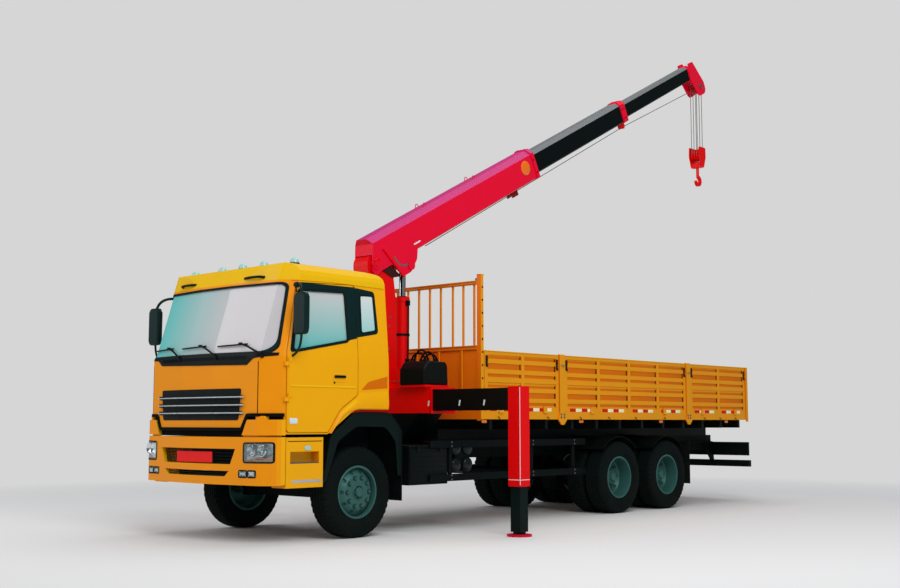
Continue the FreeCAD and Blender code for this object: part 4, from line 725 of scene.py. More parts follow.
# Painted highlight for the yellow paints' faces turned up.
YELLOW_HIGHLIGHT = rgb(226, 196, 6)
CRIMSON = rgb(224, 0, 46)
# Painted highlight for the crimson boom's faces turned up.
CRIMSON_HIGHLIGHT = rgb(186, 40, 112)
RED = rgb(222, 0, 4)
BLACK = rgb(2, 11, 11)
COAL = rgb(6, 9, 10)
PALE = rgb(206, 210, 212)
# Painted highlight for the black sections' faces turned up.
BLACK_HIGHLIGHT = rgb(108, 112, 114)
TEAL_GREY = rgb(52, 98, 93)

ALONG_BOOM = (-math.cos(math.radians(27.7)), 0.0, math.sin(math.radians(27.7)))
FOOT_PIN = (SHIFT - 1.2, 3.4)
PIN_ALONG = FOOT_PIN[0] * ALONG_BOOM[0] + FOOT_PIN[1] * ALONG_BOOM[2]


def boom_zone(colour: Colour, start: float, end: float) -> Zone:
    """Stretch of the boom between two distances from its foot pin."""
    return Zone(colour, ALONG_BOOM, PIN_ALONG + start, PIN_ALONG + end)


# In each finish, upper is a painted highlight on faces turned up and ahead is a painted shade on faces
# turned forward.
FINISHES = (
    Finish("cab_paint", YELLOW, 0.36, coat=0.06, shine=0.12, upper=YELLOW_HIGHLIGHT, ahead=YELLOW_SHADE,
           dust=0.08, grain=0.02,
           zones=(Zone(rgb(224, 176, 0), (0.0, 0.0, 1.0), 2.925, 3.4),)),
    Finish("bed_paint", rgb(222, 146, 2), 0.5, shine=0.15, upper=YELLOW_HIGHLIGHT, ahead=rgb(226, 112, 4),
           tone=0.09, dust=0.08),
    Finish("bed_under", rgb(222, 146, 2), 0.5, shine=0.15, upper=YELLOW_HIGHLIGHT, tone=0.09, dust=0.2,
           zones=(Zone(BLACK, (0.0, 0.0, 1.0), -1.0, 1.371),)),
    # Darker orange for painted shade in the drop sides' recesses and under the door's crease.
    Finish("bed_painted_shade", rgb(208, 104, 0), 0.6, shine=0.1, tone=0.1, dust=0.1),
    Finish("boom_paint", CRIMSON, 0.34, coat=0.05, shine=0.12, upper=CRIMSON_HIGHLIGHT, dust=0.0),
    Finish("column_paint", RED, 0.34, coat=0.05, shine=0.12, dust=0.0),
    Finish("base_paint", rgb(240, 2, 2), 0.36, coat=0.04, shine=0.12, dust=0.1,
           zones=(Zone(BLACK, (0.0, 0.0, 1.0), -1.0, 1.447),)),
    Finish("dark_red", rgb(128, 6, 22), 0.4, shine=0.2, dust=0.0),
    Finish("mid_paint", BLACK, 0.35, coat=0.06, shine=0.1, upper=BLACK_HIGHLIGHT, dust=0.0,
           zones=(boom_zone(CRIMSON, 6.61, 6.9),)),
    Finish("tip_paint", BLACK, 0.35, coat=0.06, shine=0.1, upper=BLACK_HIGHLIGHT, dust=0.0,
           zones=(boom_zone(CRIMSON, 9.17, 12.0),)),
    Finish("frame_paint", BLACK, 0.55, shine=0.1, dust=0.12),
    Finish("arm_paint", COAL, 0.4, shine=0.1, dust=0.03, zones=(
        Zone(RED, (0.0, 1.0, 0.0), 2.294, 3.0), Zone(RED, (0.0, 1.0, 0.0), -3.0, -2.294))),
    Finish("leg_paint", rgb(2, 18, 17), 0.4, shine=0.1, dust=0.05, zones=(
        Zone(rgb(206, 8, 52), (0.0, 0.0, 1.0), -0.1, 0.026),)),
    Finish("rubber", rgb(4, 15, 14), 0.75, shine=0.1, tone=0.1, dust=0.12, grain=0.3, grain_scale=180.0),
    Finish("rim_paint", TEAL_GREY, 0.4, metallic=0.25, dust=0.1),
    Finish("rim_dark", rgb(10, 22, 22), 0.45, dust=0.2),
    Finish("plastic", rgb(3, 14, 13), 0.45, shine=0.12, dust=0.05, grain=0.2),
    Finish("mirror_plastic", rgb(3, 34, 32), 0.4, shine=0.15, dust=0.0, grain=0.15),
    Finish("grille_black", rgb(3, 12, 12), 0.4, shine=0.12, dust=0.02),
    Finish("chrome", rgb(222, 228, 232), 0.12, metallic=1.0, dust=0.0, grain=0.0),
    Finish("steel", rgb(128, 130, 134), 0.4, metallic=0.9, dust=0.1),
    Finish("dash_plastic", rgb(52, 54, 58), 0.6, dust=0.0, grain=0.25),
    Finish("notch_brown", rgb(52, 14, 8), 0.6, dust=0.0),
    Finish("seal_rubber", rgb(6, 26, 26), 0.6, shine=0.1, dust=0.15, grain=0.15),
    Finish("border_black", rgb(5, 34, 34), 0.3, shine=0.12, coat=0.15, dust=0.1, grain=0.0),
    # Black for gaps and slots, and for painted shadow at the rear end of the drop sides' windows.
    Finish("gap_and_shade_black", rgb(10, 10, 10), 0.8, shine=0.08, dust=0.2),
    Finish("silver", rgb(186, 196, 200), 0.35, metallic=0.5, dust=0.15),
    Finish("lens_amber", rgb(232, 112, 8), 0.18, coat=0.9, dust=0.1, grain=0.02),
    Finish("lens_teal", rgb(150, 200, 198), 0.2, coat=0.8, dust=0.0, grain=0.02),
    Finish("lens_red", rgb(190, 14, 16), 0.18, coat=0.9, dust=0.15, grain=0.02),
    Finish("lens_clear", rgb(208, 218, 222), 0.14, coat=1.0, dust=0.1, grain=0.02),
    Finish("strip_red", rgb(200, 8, 10), 0.4, shine=0.1, dust=0.05),
    Finish("strip_white", rgb(236, 230, 186), 0.4, shine=0.1, dust=0.05),
    Finish("latch_dark", rgb(64, 48, 24), 0.5, metallic=0.5, dust=0.3),
    Finish("bar_bronze", rgb(190, 112, 16), 0.45, coat=0.2, dust=0.2),
    Finish("knob_teal", rgb(40, 120, 128), 0.35, coat=0.4, dust=0.1),
    Finish("plate_red", rgb(222, 0, 0), 0.5, shine=0.08, coat=0.3, dust=0.15),
    Finish("tank_black", rgb(14, 30, 30), 0.3, shine=0.12, coat=0.2, dust=0.15),
    Finish("rubber_hose", rgb(9, 12, 12), 0.6, shine=0.1, dust=0.2, grain=0.15),
    Finish("wire_rope", rgb(112, 110, 104), 0.45, metallic=0.85, dust=0.0, grain=0.1),
    Finish("liner_green", rgb(6, 24, 22), 0.55, shine=0.1, dust=0.15, grain=0.25),
    Finish("seat_cloth", rgb(58, 66, 70), 0.85, dust=0.0, grain=0.5, grain_scale=420.0),
    Finish("curtain_cloth", rgb(206, 210, 204), 0.9, dust=0.0, grain=0.4, grain_scale=600.0),
    Finish("lamp_white", rgb(216, 222, 226), 0.3, shine=0.3, dust=0.05),
)
PANES = (
    Pane("screen_glass", rgb(110, 170, 170), rgb(78, 204, 200), rgb(206, 202, 204), 0.82,
         (0.0, 1.0, 0.0), -1.15, 0.35),
    Pane("door_glass", rgb(90, 150, 150), rgb(84, 196, 192), rgb(204, 212, 212), 0.8,
         (0.0, 0.0, 1.0), 2.1, 2.78),
    Pane("lamp_glass", rgb(236, 242, 242), rgb(206, 222, 224), rgb(226, 230, 232), 0.12,
         (0.0, 0.0, 1.0), 0.9, 1.1),
)

NODE_LOOKS = {
    "frame_paint": ("frame", "engine", "axles", "mudguards", "tanks", "guards", "knuckle_left",
                    "knuckle_right"),
    "cab_paint": ("cab_shell", "door_left", "door_right", "bumper", "corner_panels"),
    "bed_under": ("bed_floor",),
    "bed_paint": ("headboard", "bed_posts", "tailgate", "side_front_left", "side_middle_left",
                  "side_rear_left", "side_front_right", "side_middle_right",
                  "side_rear_right"),
    "base_paint": ("crane_base",),
    "column_paint": ("column", "luff_barrel", "hook_block", "hook"),
    "boom_paint": ("boom_base",),
    "mid_paint": ("boom_mid",),
    "tip_paint": ("boom_tip",),
    "arm_paint": ("outrigger_left", "outrigger_right"),
    "leg_paint": ("leg_left", "leg_right"),
    "rubber": ("tyre_front_left", "tyre_front_right", "tyre_mid_left", "tyre_mid_right",
               "tyre_rear_left", "tyre_rear_right"),
    "rim_paint": ("rim_front_left", "rim_front_right", "rim_mid_left", "rim_mid_right",
                  "rim_rear_left", "rim_rear_right"),
    "plastic": ("crane_controls",),
    "mirror_plastic": ("mirror_left", "mirror_right"),
    "grille_black": ("grille",),
    "chrome": ("luff_rod",),
    "steel": ("hoist_falls",),
    "dash_plastic": ("dashboard", "seats"),
    "lamp_white": ("lamps", "roof_lamps"),
    "screen_glass": ("cab_glass",),
    "door_glass": ("door_left_glass", "door_right_glass"),
}


@dataclass
class Palette:
    """All materials by name."""

    effects: Effects
    looks: dict[str, bpy.types.Material] = field(default_factory=dict)

    def build(self) -> None:
        """Make every material."""
        for finish in (*FINISHES, *PANES):
            self.looks[finish.name] = finish.build(self.effects)
            LOG.info("finish %s", finish.name)

    def dress(self, nodes: dict[str, bpy.types.Object]) -> None:
        """Give every CAD node its material.

        Args:
            nodes: CAD objects by name.
        """
        for look, names in NODE_LOOKS.items():
            for name in names:
                mesh = nodes[name].data
                mesh.materials.clear()
                mesh.materials.append(self.looks[look])
        LOG.info("dressed %d nodes", sum(len(names) for names in NODE_LOOKS.values()))


# Outlines and skins


def rounded_outline(corners: list[tuple[float, ...]], steps: int = 5) -> Array:
    """Closed outline with round corners, each round drawn in the same number of steps.

    On a round of turn T about centre C, point i is C + A sin(T(1-i/n))/sin T + B sin(T i/n)/sin T,
    with A and B the spokes to its ends.

    Args:
        corners: Rows of (a, b, radius).
        steps: Straight steps in a round.

    Returns:
        Array of (a, b) pairs.
    """
    table = np.asarray(corners, float)
    point, radius = table[:, :2], np.maximum(table[:, 2:3], 1e-5)
    before, after = np.roll(point, 1, 0) - point, np.roll(point, -1, 0) - point
    before /= np.linalg.norm(before, axis=1, keepdims=True)
    after /= np.linalg.norm(after, axis=1, keepdims=True)
    half = np.arccos(np.clip((before * after).sum(1, keepdims=True), -1, 1)) / 2
    spoke = before + after
    spoke /= np.linalg.norm(spoke, axis=1, keepdims=True)
    centre = point + spoke * radius / np.sin(half)
    first = point + before * radius / np.tan(half) - centre
    last = point + after * radius / np.tan(half) - centre
    turn = math.pi - 2 * half
    t = np.linspace(0.0, 1.0, steps + 1)[None, :, None]
    turn = turn[:, None]
    run = (centre[:, None] + first[:, None] * np.sin(turn * (1 - t)) / np.sin(turn)
           + last[:, None] * np.sin(turn * t) / np.sin(turn))
    return run.reshape(-1, 2)


class Facing(Enum):
    """Which face of the cab a skin lies on."""

    FRONT = "front"
    LEFT = "left"


@dataclass
class CabForm:
    """The cab's outer form as three outlines: its side, its front and its plan.

    Attributes:
        side_line: (x, z, radius) corners of the side view's front edge, from the foot up.
        front_line: (y, z) points of the front view's left edge, from the foot up.
        plan_line: (x, y, radius) corners of the plan's left front.
        belt: Height above which the plan leans back.
        lean: How far the plan goes back for each metre above the belt.
    """

    side_line: tuple = ((1.46, 1.20, 0.01), (1.47, 2.06, 0.3), (1.215, 2.90, 0.06),
                        (1.08, 3.13, 0.14), (0.25, 3.15, 0.01))
    front_line: tuple = ((1.235, 1.0, 0.01), (1.239, 2.06, 0.9), (1.16, 3.12, 0.15),
                         (0.0, 3.17, 0.01))
    plan_line: tuple = ((1.38, -1.01, 0.01), (1.51, 0.0, 3.5), (1.38, 1.01, 0.12),
                        (1.14, 1.255, 0.2), (-0.4, 1.255, 0.01))
    belt: float = 2.06
    lean: float = -0.30357

    def _chain(self, line: tuple, steps: int = 8) -> Array:
        """Draw an open run of corners with its rounds."""
        loop = [*line, (line[-1][0] - 5.0, line[0][1] - 5.0, 0.01)]
        return rounded_outline(loop, steps)[:-(steps + 1)]

    def _half_plan(self) -> Array:
        """Draw the plan's left half, from the middle of the front back."""
        plan = self._chain(self.plan_line)
        return plan[plan[:, 1] >= 0.0]

    def front_x(self, y: Array, z: Array) -> Array:
        """Find where the front face stands.

        Args:
            y: Places across.
            z: Heights.

        Returns:
            The X of the front face.
        """
        side, plan = self._chain(self.side_line), self._half_plan()
        by_side = np.interp(z, side[:, 1], side[:, 0])
        by_plan = np.interp(np.abs(y), plan[:, 1], plan[:, 0])
        return np.minimum(by_side, by_plan + self.lean * np.maximum(z - self.belt, 0.0))

    def side_y(self, x: Array, z: Array) -> Array:
        """Find where the left face stands.

        Args:
            x: Places along.
            z: Heights.

        Returns:
            The Y of the left face.
        """
        front, plan = self._chain(self.front_line), self._half_plan()
        by_front = np.interp(z, front[:, 1], front[:, 0])
        level = x - self.lean * np.maximum(z - self.belt, 0.0)
        by_plan = np.interp(-level, -plan[:, 0], plan[:, 1])
        return np.minimum(by_front, by_plan)

    def lay(self, flat: Array, lift: Array | float, facing: Facing) -> Array:
        """Lay flat points on the cab.

        Args:
            flat: Array of (across, z) pairs: y on the front, x on the side.
            lift: Distance off the face.
            facing: The face.

        Returns:
            Array of x, y, z.
        """
        across, z = flat[..., 0], flat[..., 1]
        if facing is Facing.FRONT:
            return np.stack([self.front_x(across, z) + lift, across, z], axis=-1)
        return np.stack([across, self.side_y(across, z) + lift, z], axis=-1)

    def band(self, outer: Array, inner: Array, facing: Facing, lift: float = 0.004,
             sink: float = 0.006) -> Surface:
        """Flat ring between two outlines of as many points, laid on a face.

        Args:
            outer: Outer outline.
            inner: Inner outline.
            facing: The face.
            lift: How far it stands off.
            sink: How far it goes in.

        Returns:
            A closed ring.
        """
        rings = np.stack([self.lay(inner, -sink, facing), self.lay(inner, lift, facing),
                          self.lay(outer, lift, facing), self.lay(outer, -sink, facing)], axis=1)
        return sweep(rings, closed=True)

    def patch(self, first: Array, second: Array, facing: Facing, lift: Array | float = 0.004,
              sink: float = 0.006, across: int = 6) -> Surface:
        """Flat skin ruled between two lines of as many points, laid on a face.

        Point (i, j) is the blend of the i-th points of both lines by j/n, so the skin follows
        the face in both directions.

        Args:
            first: First line.
            second: Second line.
            facing: The face.
            lift: How far it stands off; one value, or one for each step across.
            sink: How far it goes in.
            across: Steps between the lines.

        Returns:
            A closed plate.
        """
        share = np.linspace(0.0, 1.0, across + 1)[None, :, None]
        flat = first[:, None] * (1 - share) + second[:, None] * share
        top = self.lay(flat, lift, facing)
        low = self.lay(flat, -sink, facing)
        return sweep(np.concatenate([top, low[:, ::-1]], axis=1))

    def stripe(self, line: Array, width: float, facing: Facing, lift: float = 0.002,
               sink: float = 0.004) -> Surface:
        """Narrow strip along a line on a face.

        Args:
            line: The line's middle.
            width: Width of the strip.
            facing: The face.
            lift: How far it stands off.
            sink: How far it goes in.

        Returns:
            A closed strip.
        """
        along = np.gradient(line, axis=0)
        along /= np.linalg.norm(along, axis=1, keepdims=True)
        normal = np.stack([-along[:, 1], along[:, 0]], axis=1) * width / 2
        return self.patch(line + normal, line - normal, facing, lift, sink, 1)


def run_of(points: list[tuple[float, ...]], spacing: float = 0.05) -> Array:
    """Points at even steps along a run of straight lines.

    Args:
        points: The run's corners.
        spacing: Longest step.

    Returns:
        Rows of as many numbers as a corner has.
    """
    table = np.asarray(points, float)
    length = np.concatenate([[0.0], np.cumsum(np.linalg.norm(np.diff(table, axis=0), axis=1))])
    count = max(2, int(math.ceil(length[-1] / spacing)) + 1)
    at = np.linspace(0.0, length[-1], count)
    return np.stack([np.interp(at, length, column) for column in table.T], axis=1)


def resampled(outline: Array, spacing: float) -> Array:
    """Closed outline with points put into its long edges.

    Args:
        outline: Rows of (a, b).
        spacing: Longest step.

    Returns:
        The same outline with more points.
    """
    after = np.roll(outline, -1, 0)
    length = np.linalg.norm(after - outline, axis=1)
    counts = np.maximum(1, np.ceil(length / spacing).astype(int))
    index = np.repeat(np.arange(len(outline)), counts)
    first = np.repeat(np.cumsum(counts) - counts, counts)
    share = ((np.arange(len(index)) - first) / counts[index])[:, None]
    return outline[index] * (1 - share) + after[index] * share


def matched(outline: Array, guide: Array) -> Array:
    """Points of an outline in the directions, from its middle, of a guide's points.

    Args:
        outline: Closed outline that its middle sees in full.
        guide: Closed outline round it.

    Returns:
        As many points as the guide has, on the outline.
    """
    fine = resampled(outline, 0.004)
    centre = (fine.min(0) + fine.max(0)) / 2
    away = fine - centre
    angle = np.arctan2(away[:, 1], away[:, 0])
    reach = np.hypot(away[:, 0], away[:, 1])
    want = np.arctan2(guide[:, 1] - centre[1], guide[:, 0] - centre[0])
    order = np.argsort(angle)
    found = np.interp(want, angle[order], reach[order], period=TAU)
    return centre + np.stack([np.cos(want), np.sin(want)], axis=1) * found[:, None]


def spread(line: Array, count: int) -> Array:
    """Take a number of points evenly along an open line."""
    length = np.concatenate([[0.0], np.cumsum(np.linalg.norm(np.diff(line, axis=0), axis=1))])
    at = np.linspace(0.0, length[-1], count)
    return np.stack([np.interp(at, length, column) for column in line.T], axis=1)


def both(surface: Surface) -> Surface:
    """Put a surface and its mirror image across the truck into one."""
    return merged(surface, surface.scaled(y=-1.0))


def sided(surface: Surface, side: Side) -> Surface:
    """Return a surface drawn on the left for the given side."""
    return surface if side is Side.LEFT else surface.scaled(y=-1.0)


def nut(radius: float, height: float, axis: int = 1, low: float = 0.0) -> Surface:
    """Six-sided nut with a round washer under it, standing along an axis."""
    t = np.arange(6) * TAU / 6
    hexagon = np.stack([np.cos(t), np.sin(t)], axis=1) * radius
    ring = np.linspace(0.0, TAU, 12, endpoint=False)
    washer = np.stack([np.cos(ring), np.sin(ring)], axis=1) * radius * 1.3
    return merged(plate(hexagon, axis, low, low + height, radius * 0.12),
                  plate(washer, axis, low - 0.001, low + height * 0.18))


def ring_of(radius: float, count: int, axis: int = 1, start: float = 0.0) -> Array:
    """Places spread evenly round a circle across an axis.

    Args:
        radius: Radius of the circle.
        count: How many places.
        axis: 0 for X, 1 for Y, 2 for Z.
        start: Angle of the first place.

    Returns:
        Rows of x, y, z.
    """
    t = np.arange(count) * TAU / count + start
    places = np.zeros((count, 3))
    places[:, (axis + 1) % 3] = radius * np.cos(t)
    places[:, (axis + 2) % 3] = radius * np.sin(t)
    return places


# Wheels


class Axle(Enum):
    """Axles with the X of each."""

    FRONT = 0.0
    MID = -5.22
    REAR = -6.52

    @property
    def word(self) -> str:
        """Lower-case name used in node and body names."""
        return self.name.lower()


@dataclass
class Wheels:
    """Tyres with a zigzag rib tread, and dished steel wheels with nuts and hand holes.

    Attributes:
        palette: Materials.
        radius: Tyre radius.
        front_y: Middle of a front tyre.
        outer_y: Middle of a twin's outer tyre.
        pitch: Distance between twins.
        periods: Zigzags round the tyre.
        groove: Depth of the tread's grooves.
    """

    palette: "Palette"
    radius: float = 0.525
    front_y: float = 1.015
    outer_y: float = 1.09
    pitch: float = 0.335
    periods: int = 44
    groove: float = 0.013
    steps: int = 6

    def tyre(self) -> Surface:
        """Tyre about its own middle.

        Column k has a place y and a radius r. Over the tread, y also swings by a zigzag
        w |2 frac(p t) - 1| round the tyre, and the groove columns lie deeper. The shoulder
        columns dip once in each zigzag, which cuts the lugs.

        Returns:
            A closed surface.
        """
        r = self.radius
        ribs = []
        for middle in (-0.072, -0.024, 0.024, 0.072):
            ribs += [(middle - 0.006, r, 0.0, 1.0), (middle - 0.0035, r - self.groove, 0.0, 1.0),
                     (middle + 0.0035, r - self.groove, 0.0, 1.0), (middle + 0.006, r, 0.0, 1.0)]
        half = [(0.103, r - 0.001, 0.0, 0.6), (0.106, r - 0.002, 1.0, 0.0),
                (0.124, r - 0.010, 1.0, 0.0), (0.134, r - 0.030, 0.8, 0.0),
                (0.137, r - 0.036, 0.0, 0.0), (0.141, r - 0.062, 0.0, 0.0),
                (0.144, r - 0.100, 0.0, 0.0), (0.1425, r - 0.125, 0.0, 0.0),
                (0.144, r - 0.128, 0.0, 0.0), (0.144, r - 0.134, 0.0, 0.0),
                (0.140, r - 0.137, 0.0, 0.0), (0.132, r - 0.170, 0.0, 0.0),
                (0.127, r - 0.174, 0.0, 0.0), (0.123, r - 0.200, 0.0, 0.0),
                (0.112, r - 0.214, 0.0, 0.0), (0.098, r - 0.2325, 0.0, 0.0)]
        left = [(-y, a, lug, zig) for y, a, lug, zig in reversed(half)]
        table = np.array(left + ribs + half)
        count = self.periods * self.steps
        t = np.arange(count) * TAU / count
        phase = (np.arange(count) % self.steps) / self.steps
        swing = 0.011 * (np.abs(2 * phase - 1) - 0.5)
        turnover = np.where(table[:, 0] < 0, (phase[:, None] + 0.5) % 1.0, phase[:, None])
        dips = np.where(turnover < 2.0 / self.steps, 0.012, 0.0)
        y = table[None, :, 0] + swing[:, None] * table[None, :, 3]
        radius = table[None, :, 1] - dips * table[None, :, 2]
        points = np.stack([radius * np.cos(t)[:, None], y * np.ones((count, 1)),
                           radius * np.sin(t)[:, None]], axis=-1)
        return net(points, wrap_u=True, wrap_v=True).outward()

    def _disc(self, table: list[tuple[float, float]], holes: int, hole_at: float,
              hole: float, depth: float) -> Surface:
        """Wheel disc with pressed hand holes.

        At radius r and angle t the face stands at profile(r) less depth inside each hole, where
        a hole is the circle about (hole_at, k TAU / holes).

        Args:
            table: (radius, y) pairs from the middle out.
            holes: How many holes.
            hole_at: Radius of their middles.
            hole: Radius of a hole.
            depth: How deep each is.

        Returns:
            A closed shell.
        """
        profile = np.asarray(table, float)
        radii = np.unique(np.concatenate([profile[:, 0], np.linspace(
            hole_at - hole * 1.25, hole_at + hole * 1.25, 13)]))
        count = holes * 20
        t = np.arange(count) * TAU / count
        face = np.interp(radii, profile[:, 0], profile[:, 1])
        near = (t * holes / TAU + 0.5) % 1.0 - 0.5
        away = np.hypot(radii[None] - hole_at, near[:, None] * TAU / holes * radii[None])
        sunk = depth * np.clip((hole * 1.08 - away) / (hole * 0.16), 0.0, 1.0)
        y = face[None] - sunk
        top = np.stack([radii[None] * np.cos(t)[:, None], y, radii[None] * np.sin(t)[:, None]],
                       axis=-1)
        low = top.copy()
        low[..., 1] = np.minimum(face[None] - depth - 0.004, y - 0.006)
        return net(np.concatenate([top, low[:, ::-1]], axis=1), True, True).outward()

    def _barrel(self) -> Surface:
        """Ring that carries one tyre, with a rolled flange at each edge."""
        return turned([(0.279, -0.121), (0.300, -0.124), (0.308, -0.119), (0.303, -0.112),
                       (0.292, -0.106), (0.290, 0.106), (0.303, 0.112), (0.308, 0.119),
                       (0.300, 0.124), (0.283, 0.121), (0.279, 0.105)], 1, 64)

    def front_rim(self) -> Surface:
        """Bulged disc, its ring of nuts, and the hub's cap, about the tyre's middle."""
        disc = self._disc([(0.060, 0.126), (0.135, 0.132), (0.188, 0.128), (0.205, 0.118),
                           (0.225, 0.098), (0.262, 0.066), (0.281, 0.052)], 10, 0.232, 0.021, 0.03)
        nuts = nut(0.0165, 0.026, 1, 0.131).repeated(ring_of(0.1675, 10, 1, 0.31))
        caps = turned([(0.0, 0.160), (0.006, 0.160), (0.010, 0.157), (0.010, 0.150),
                       (0.0, 0.150)], 1, 10).repeated(ring_of(0.1675, 10, 1, 0.31))
        hub = turned([(0.0, 0.168), (0.040, 0.168), (0.052, 0.163), (0.056, 0.156),
                      (0.058, 0.140), (0.080, 0.138), (0.084, 0.134), (0.084, 0.120),
                      (0.0, 0.120)], 1, 40)
        bolts = nut(0.007, 0.008, 1, 0.139).repeated(ring_of(0.070, 8, 1))
        inner = turned([(0.062, -0.078), (0.092, -0.078), (0.095, 0.110), (0.062, 0.112)], 1, 32)
        return merged(self._barrel(), disc, nuts, caps, hub, bolts, inner)

    def twin_rim(self) -> Surface:
        """Two barrels, the deep dish between them, nuts and the planet hub."""
        middle = -self.pitch / 2
        disc = self._disc([(0.085, middle + 0.014), (0.205, middle + 0.014),
                           (0.225, middle + 0.028), (0.258, middle + 0.072),
                           (0.281, middle + 0.098)], 10, 0.240, 0.020, 0.03)
        inner = self._disc([(0.085, middle - 0.002), (0.205, middle - 0.002),
                            (0.281, middle - 0.085)], 10, 0.240, 0.020, 0.012)
        nuts = nut(0.0165, 0.026, 1, middle + 0.013).repeated(ring_of(0.1675, 10, 1, 0.31))
        hub = turned([(0.0, 0.030), (0.045, 0.030), (0.060, 0.024), (0.066, 0.012),
                      (0.070, -0.004), (0.098, -0.010), (0.106, -0.022), (0.112, middle + 0.02),
                      (0.126, middle + 0.012), (0.126, middle - 0.03), (0.0, middle - 0.03)],
                     1, 40)
        bolts = nut(0.009, 0.010, 1, -0.008).repeated(ring_of(0.085, 10, 1))
        return merged(self._barrel(), self._barrel().moved(y=-self.pitch), disc, inner, nuts,
                      hub, bolts)

    def dark(self, face: float, rings: list[tuple[float, float, float]]) -> Surface:
        """Painted shadow rings behind the nuts, and painted shadow bands of the disc, about the tyre's
        middle.

        Args:
            face: Y of the disc behind the nuts.
            rings: Inner radius, outer radius and Y of each band.

        Returns:
            The dark parts.
        """
        washers = turned([(0.0, 0.0035), (0.028, 0.003), (0.030, -0.002), (0.0, -0.002)], 1,
                         16).moved(y=face).repeated(ring_of(0.1675, 10, 1, 0.31))
        bands = [turned([(a, y + 0.002), (b, y + 0.002), (b, y - 0.004), (a, y - 0.004)], 1, 48)
                 for a, b, y in rings]
        return merged(washers, *bands)

    def build(self) -> None:
        """Set a tyre piece and a wheel piece on each of the six wheel bodies."""
        tyre, looks = self.tyre(), self.palette.looks
        twins = merged(tyre, tyre.moved(y=-self.pitch))
        rims = {True: self.front_rim(), False: self.twin_rim()}
        middle = -self.pitch / 2 + 0.014
        # Dark rings behind the nuts and bands at the disc's hub and rim edges are painted shadow.
        darks = {True: self.dark(0.131, [(0.059, 0.074, 0.1395), (0.262, 0.279, 0.060)]),
                 False: self.dark(middle, [(0.127, 0.138, middle), (0.205, 0.2055, middle)])}
        for side in Side:
            for axle in Axle:
                front = axle is Axle.FRONT
                name = f"{axle.word}_{side.word}"
                y = self.front_y if front else self.outer_y
                place(f"rim_shadows_{name}", sided(darks[front].moved(
                    axle.value, y, self.radius), side), f"wheel_{name}", looks["rim_dark"],
                    "wheel_paint")
                for kind, shape, look in (("tyre", tyre if front else twins, "rubber"),
                                          ("rim", rims[front], "rim_paint")):
                    put = sided(shape.moved(axle.value, y, self.radius), side)
                    piece = place(f"{kind}_set_{name}", put, f"wheel_{name}", looks[look],
                                  "tyre" if kind == "tyre" else "wheel_paint", 0.5)
                    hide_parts(f"{kind}_{name}")


# Cab


def shrunk(outline: Array, by: float) -> Array:
    """Draw an anticlockwise or clockwise outline in by a distance, along each point's normal."""
    before, after = np.roll(outline, 1, 0), np.roll(outline, -1, 0)
    along = after - before
    along /= np.maximum(np.linalg.norm(along, axis=1, keepdims=True), 1e-9)
    normal = np.stack([-along[:, 1], along[:, 0]], axis=1)
    a, b = outline[:, 0], outline[:, 1]
    area = float((a * np.roll(b, -1) - b * np.roll(a, -1)).sum())
    return outline + normal * by * (1.0 if area > 0 else -1.0)


